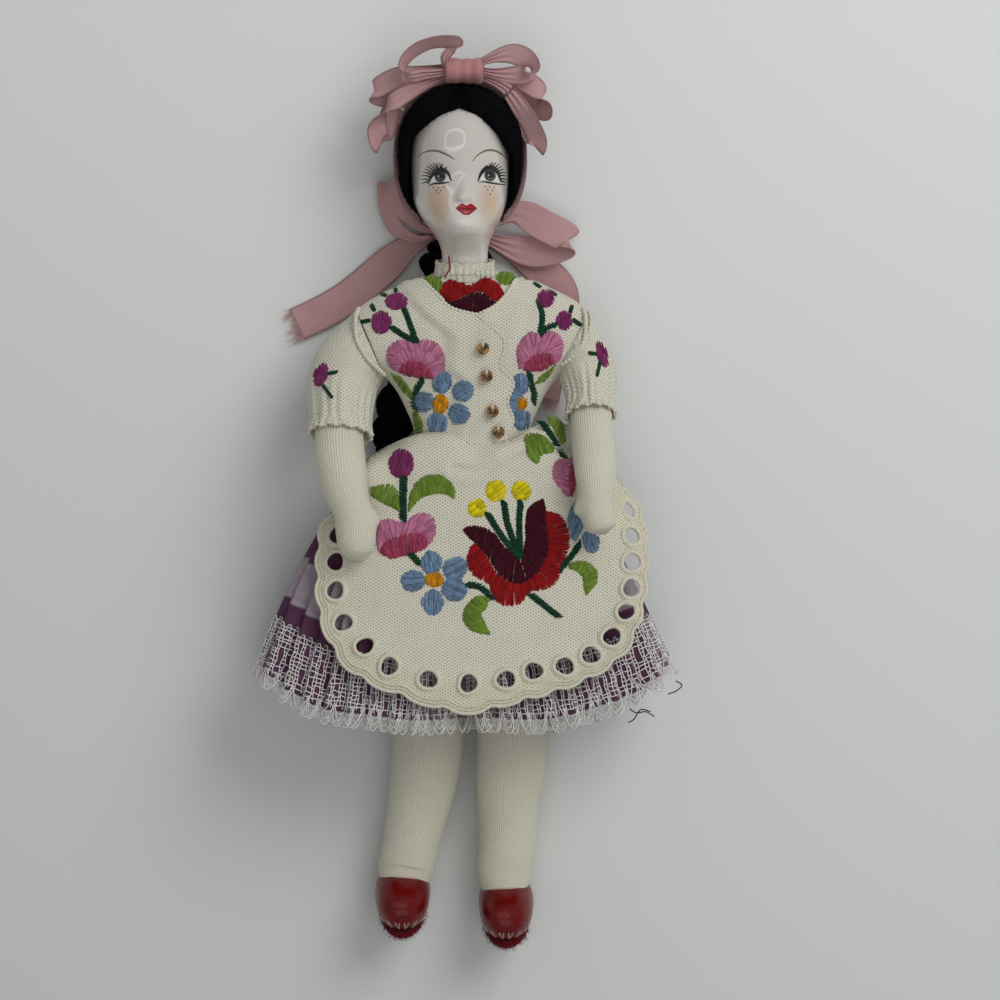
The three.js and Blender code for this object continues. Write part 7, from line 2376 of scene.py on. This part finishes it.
def embroider_right(needle):
    """The front with the open flower, worked on the lapped side of the jacket."""
    top = [(386.7, 357.3), (389.8, 347.1), (400, 341), (410.2, 342), (415.3, 343.5), (426.5, 340.6),
           (438.8, 345.1), (445.3, 357.3), (445.3, 369.6), (440.8, 377.8), (432.7, 379.2)]
    low = [(386.7, 357.3), (389.8, 367.6), (400, 373.7)]
    dark_top = [(400, 369.6), (406.1, 362.4), (416.3, 361.4), (426.5, 365.5), (433.7, 375)]
    dark_low = [(400, 373), (408.2, 376.7), (420.4, 378.8), (432.7, 380)]
    needle.between(low[::-1][:-1] + top, dark_top[:1] + dark_top + dark_top[-1:], "pink", dome=0.1, longest=4.4,
                   pitch=0.29)
    needle.between(dark_top, dark_low, "deep_pink", dome=0.22, pitch=0.3)
    heart = (440.8, 404.7)
    for x, y in ((442.9, 382.9), (463.3, 392), (459.2, 414.5), (437.8, 423.7), (424, 402.5)):
        needle.petal(heart, (x, y), PETAL)
    needle.oval(heart, (8, 10), "orange", 80, dome=0.32)
    needle.oval((396.9, 302.2), (11.8, 9.2), "magenta", 60, dome=0.18)
    needle.oval((382, 323.3), (10.2, 11.8), "magenta", 100, dome=0.18)
    for a, b in (((380.6, 294.5), (387.7, 296.5)), ((371.4, 304.8), (375.5, 312.4)),
                 ((361.5, 323.2), (371.4, 321.2)),
                 ((395.5, 288), (396.5, 293.5))):
        needle.tick((a, b))
    for line in (((404.5, 309.4), (411.2, 326.7), (417, 343)), ((391.8, 327.8), (404.1, 336.5), (416, 343))):
        needle.stem(line, 1.45)
    needle.stem([(423.5, 379.8), (416.3, 392), (414.3, 404.3), (422.4, 411.4)], 1.7)
    needle.between([(392, 374), (400, 376.5), (408, 385), (414, 397)],
                   [(392, 374), (397, 384), (404, 393), (413, 400)], "leaf", shift=0.5, pitch=0.33)
    needle.between([(413.5, 408), (419, 414), (423, 422), (422.8, 437)],
                   [(413.5, 408), (413.2, 418), (414.5, 428), (415.5, 436)], "leaf", shift=0.5, pitch=0.33)


def embroider_left(needle):
    """The same flowers on the other front, partly under the lap."""
    top = [(518, 369), (517.3, 360), (516.3, 351.2), (521.4, 340), (529.6, 333.3), (537.8, 334.5),
           (541.8, 337.5),
           (550, 331.8), (559.2, 335.9), (563.3, 345.1), (561.2, 357.3), (555.1, 366.5)]
    dark_top = [(524.5, 367.5), (528.6, 359.4), (538.8, 354.3), (548, 353.3), (553.1, 358.3)]
    dark_low = [(524.5, 371.6), (534.7, 372.6), (546.9, 369.6), (554.1, 363.4)]
    needle.between(top, dark_top[:1] + dark_top + dark_top[-1:], "pink", dome=0.1, longest=4.4,
                   pitch=0.29)
    needle.between(dark_top, dark_low, "deep_pink", dome=0.22, pitch=0.3)
    heart = (521.8, 404.3)
    for x, y, w, h in ((521, 384.5, 2.5, 2.1), (521.4, 420, 2.5, 2.2), (514.5, 402, 2.0, 2.6)):
        needle.petal(heart, (x, y), (w / SQUARE, h / SQUARE))
    needle.oval(heart, (5.7, 7.8), "orange", 80, dome=0.32)
    needle.oval((545.5, 299.2), (8.8, 9.8), "magenta", 120, dome=0.18, tilt=-20)
    needle.oval((564.3, 321.6), (7.8, 10.2), "magenta", 80, dome=0.18)
    for a, b in (((550, 292), (556.5, 296.5)), ((571.8, 305.8), (569.4, 314)), ((572, 320), (580.6, 326.3)),
                 ((533, 283.5), (541, 288.5))):
        needle.tick((a, b))
    for line in (((539, 304.3), (542, 316.5), (540, 334.5)), ((556.1, 325.7), (547.5, 328.5), (541, 335))):
        needle.stem(line, 1.45)
    needle.stem([(529.5, 373.7), (530.6, 384), (534, 394), (533, 402)], 1.6)
    needle.between([(534.7, 384), (540, 376), (547, 371), (554, 367.6)],
                   [(534.7, 384), (543, 382), (549, 377), (554, 367.6)], "leaf", shift=0.4, pitch=0.33)


def embroider_blouse(needle):
    """The red and maroon flower under the chin, with a leaf at each side."""
    upper = [(440.2, 293.1), (441.4, 287.8), (445.6, 282.4), (451.7, 279.4), (457.8, 279.8), (462.4, 283.2),
             (467.8, 285.9), (473.9, 284.7), (480.8, 280.1), (486.9, 278.2), (492.3, 280.9), (498.4, 284),
             (502.2, 290.1), (506, 297.7)]
    inner = [(441, 294), (445.6, 299.8), (451, 302.8), (457.8, 300.5), (464, 297.5), (470.9, 294.4),
             (477.7, 292.9), (485.4, 294.8), (490.7, 299), (495.3, 302.8), (503, 302.8)]
    lower = [(446, 303), (451.7, 308), (460.9, 312.5), (470.9, 315.5), (480.8, 313.8), (490, 309.5),
             (500, 304.5)]
    needle.between(upper, inner, "red", longest=3.4, pitch=0.28, dome=0.1)
    needle.between(inner[1:], lower, "maroon", longest=3.2, pitch=0.28, dome=0.14)
    needle.between([(423, 278.6), (430.3, 275.6), (438, 277.5), (443.3, 282.4)],
                   [(423, 279.6), (427, 285.5), (433, 291.5), (441, 294)], "leaf", shift=0.3, pitch=0.3)
    needle.between([(496.9, 274.8), (503.8, 272.5), (510.6, 273.3), (515.2, 276.3), (518.3, 287.8)],
                   [(497.3, 281), (500.5, 285.2), (506.3, 286.3), (511.9, 284.2), (518.3, 287.8)], "leaf",
                   shift=0.2, pitch=0.3)


class FOLKDOLL_OT_embroidery(bpy.types.Operator):
    """Wool embroidery on the apron, the jacket, the blouse and the sleeves"""
    bl_idname = "folkdoll.embroidery"
    bl_label = "Embroidery"

    def execute(self, context):
        wool = thread_material("embroidery wool")
        for name, surface, seed, slot, work in (
                ("apron_embroidery", apron_surface, 101, "knit", embroider_apron),
                ("right_front_embroidery", jacket_height(True), 102, "knit", embroider_right),
                ("left_front_embroidery", jacket_height(False), 103, "knit", embroider_left),
                ("blouse_embroidery", blouse_height, 104, "blouse", embroider_blouse)):
            needle = Needle(surface, seed)
            work(needle)
            needle.make(name, "root", wool)
        for name, bud, half, tilt, ticks in (
                ("right", (322.4, 375.7), (7, 12.6), -20,
                 (((327, 375), (339, 373)), ((323.5, 385.5), (334, 399)))),
                ("left", (601.6, 355.3), (5.4, 13.9), 15,
                 (((587.5, 354), (596.5, 355.3)), ((600, 361), (596, 378))))):
            needle = Needle(sleeve_height(name), 105)
            needle.oval(bud, (half[0], half[1]), "magenta", 90 + tilt, tilt=tilt)
            for a, b in ticks:
                needle.tick((a, b), 0.7)
            needle.make(name + "_sleeve_embroidery", name + "_arm", wool)
        return {"FINISHED"}


# The stage

CAMERA_HEIGHT, SEEN_WIDTH, SENSOR = 1.2, 0.23, 36.0
TABLE_HALF, TABLE_COLOUR = 3.0, (0.88, 0.90, 0.88, 1)


class FOLKDOLL_OT_stage(bpy.types.Operator):
    """Pale table, soft lamps and a camera straight above"""
    bl_idname = "folkdoll.stage"
    bl_label = "Stage"

    def execute(self, context):
        corners = np.array([(-1, -1, 0), (1, -1, 0), (1, 1, 0), (-1, 1, 0)]) * TABLE_HALF / MM
        floor = put_mesh("table", corners, [[0, 1, 2, 3]])
        material, tree, shader = new_material("pale table", 0.7, Specular_IOR_Level=0.2)
        x, y, _ = split(tree, object_place(tree))
        # Painted light falloff: the table is darker towards -y and a little towards -x.
        far = ramp(tree, calc(tree, "MULTIPLY_ADD", x, 0.35, product(tree, y, 0.9)), -0.14, 0.14)
        base = blotched(tree, TABLE_COLOUR, 3.0, 0.03)["Color"]
        dress(tree, shader, blend_colours(tree, far, times(TABLE_COLOUR, 0.8), base))
        floor.data.materials.append(material)
        floor.location.z = -0.0002

        turn = turns_of(64)
        glow = bpy.data.materials.new("ring glow")
        glow.use_nodes = True
        tree = glow.node_tree
        tree.nodes.clear()
        light = node(tree, "Emission", {"Color": (1, 1, 1, 1), "Strength": 2.2})
        node(tree, "OutputMaterial", {0: light.outputs[0]})
        for name, middle, wide, deep in (("ring_lamp", (-350, 390, 1150), 600, 190),
                                         ("low_ring_lamp", (-100, -560, 1050), 430, 210)):
            ring = joined(wide * np.cos(turn), deep * np.sin(turn), 0.0)
            lamp = tubes_mesh(name, ring + middle, 42, wrap=True, sides=8)
            lamp.visible_diffuse = False
            lamp.data.materials.append(glow)

        for name, place, size, watts in (("key", (0.5, 0.5, 0.72), 0.6, 4.2),
                                         ("front", (0.1, -0.34, 1.15), 0.9, 2.8)):
            data = bpy.data.lights.new(name, "AREA")
            data.size, data.energy = size, watts
            lamp = bpy.data.objects.new(name, data)
            lamp.location = place
            lamp.visible_glossy = False
            x, y, z = place
            lamp.rotation_euler = (math.atan2(math.hypot(x, y), z), 0, math.atan2(-y, -x) - math.pi / 2)
            context.scene.collection.objects.link(lamp)

        world = bpy.data.worlds.new("studio")
        world.use_nodes = True
        background = world.node_tree.nodes["Background"]
        feed(world.node_tree, background, {"Color": (0.97, 0.985, 1.0, 1), "Strength": 0.25})
        context.scene.world = world

        data = bpy.data.cameras.new("camera")
        data.sensor_width = SENSOR
        data.lens = SENSOR * CAMERA_HEIGHT / SEEN_WIDTH
        camera = bpy.data.objects.new("camera", data)
        camera.location = (0.00759, -0.00161, CAMERA_HEIGHT + 0.018)
        context.scene.collection.objects.link(camera)
        context.scene.camera = camera
        context.scene.view_settings.view_transform = "Standard"
        return {"FINISHED"}


class FOLKDOLL_PT_panel(bpy.types.Panel):
    """Lists the steps that make the doll"""
    bl_label = "Folk Doll"
    bl_idname = "FOLKDOLL_PT_panel"
    bl_space_type = "VIEW_3D"
    bl_region_type = "UI"
    bl_category = "Folk Doll"

    def draw(self, context):
        for label in DollSizes.__annotations__:
            self.layout.prop(context.scene.folk_doll_sizes, label)
        for label in DollColours.__annotations__:
            self.layout.prop(context.scene.folk_doll_colours, label)
        for step in STEPS:
            self.layout.operator(step.bl_idname)


STEPS = [FOLKDOLL_OT_head, FOLKDOLL_OT_hair, FOLKDOLL_OT_ribbons, FOLKDOLL_OT_torso, FOLKDOLL_OT_blouse,
         FOLKDOLL_OT_jacket, FOLKDOLL_OT_arms, FOLKDOLL_OT_legs, FOLKDOLL_OT_skirt, FOLKDOLL_OT_apron,
         FOLKDOLL_OT_beads, FOLKDOLL_OT_embroidery, FOLKDOLL_OT_stage]
CLASSES = [DollSizes, DollColours, *STEPS, FOLKDOLL_PT_panel]


def register():
    """Makes the settings, the steps and the panel known."""
    for cls in CLASSES:
        bpy.utils.register_class(cls)
    bpy.types.Scene.folk_doll_sizes = bpy.props.PointerProperty(type=DollSizes)
    bpy.types.Scene.folk_doll_colours = bpy.props.PointerProperty(type=DollColours)


def unregister():
    """Takes them away again."""
    del bpy.types.Scene.folk_doll_colours
    del bpy.types.Scene.folk_doll_sizes
    for cls in reversed(CLASSES):
        bpy.utils.unregister_class(cls)


def main():
    """Runs every step in order."""
    register()
    make_groups()
    for step in STEPS:
        group_name, operator = step.bl_idname.split(".")
        getattr(getattr(bpy.ops, group_name), operator)()
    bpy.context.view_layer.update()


if __name__ == "__main__":
    main()
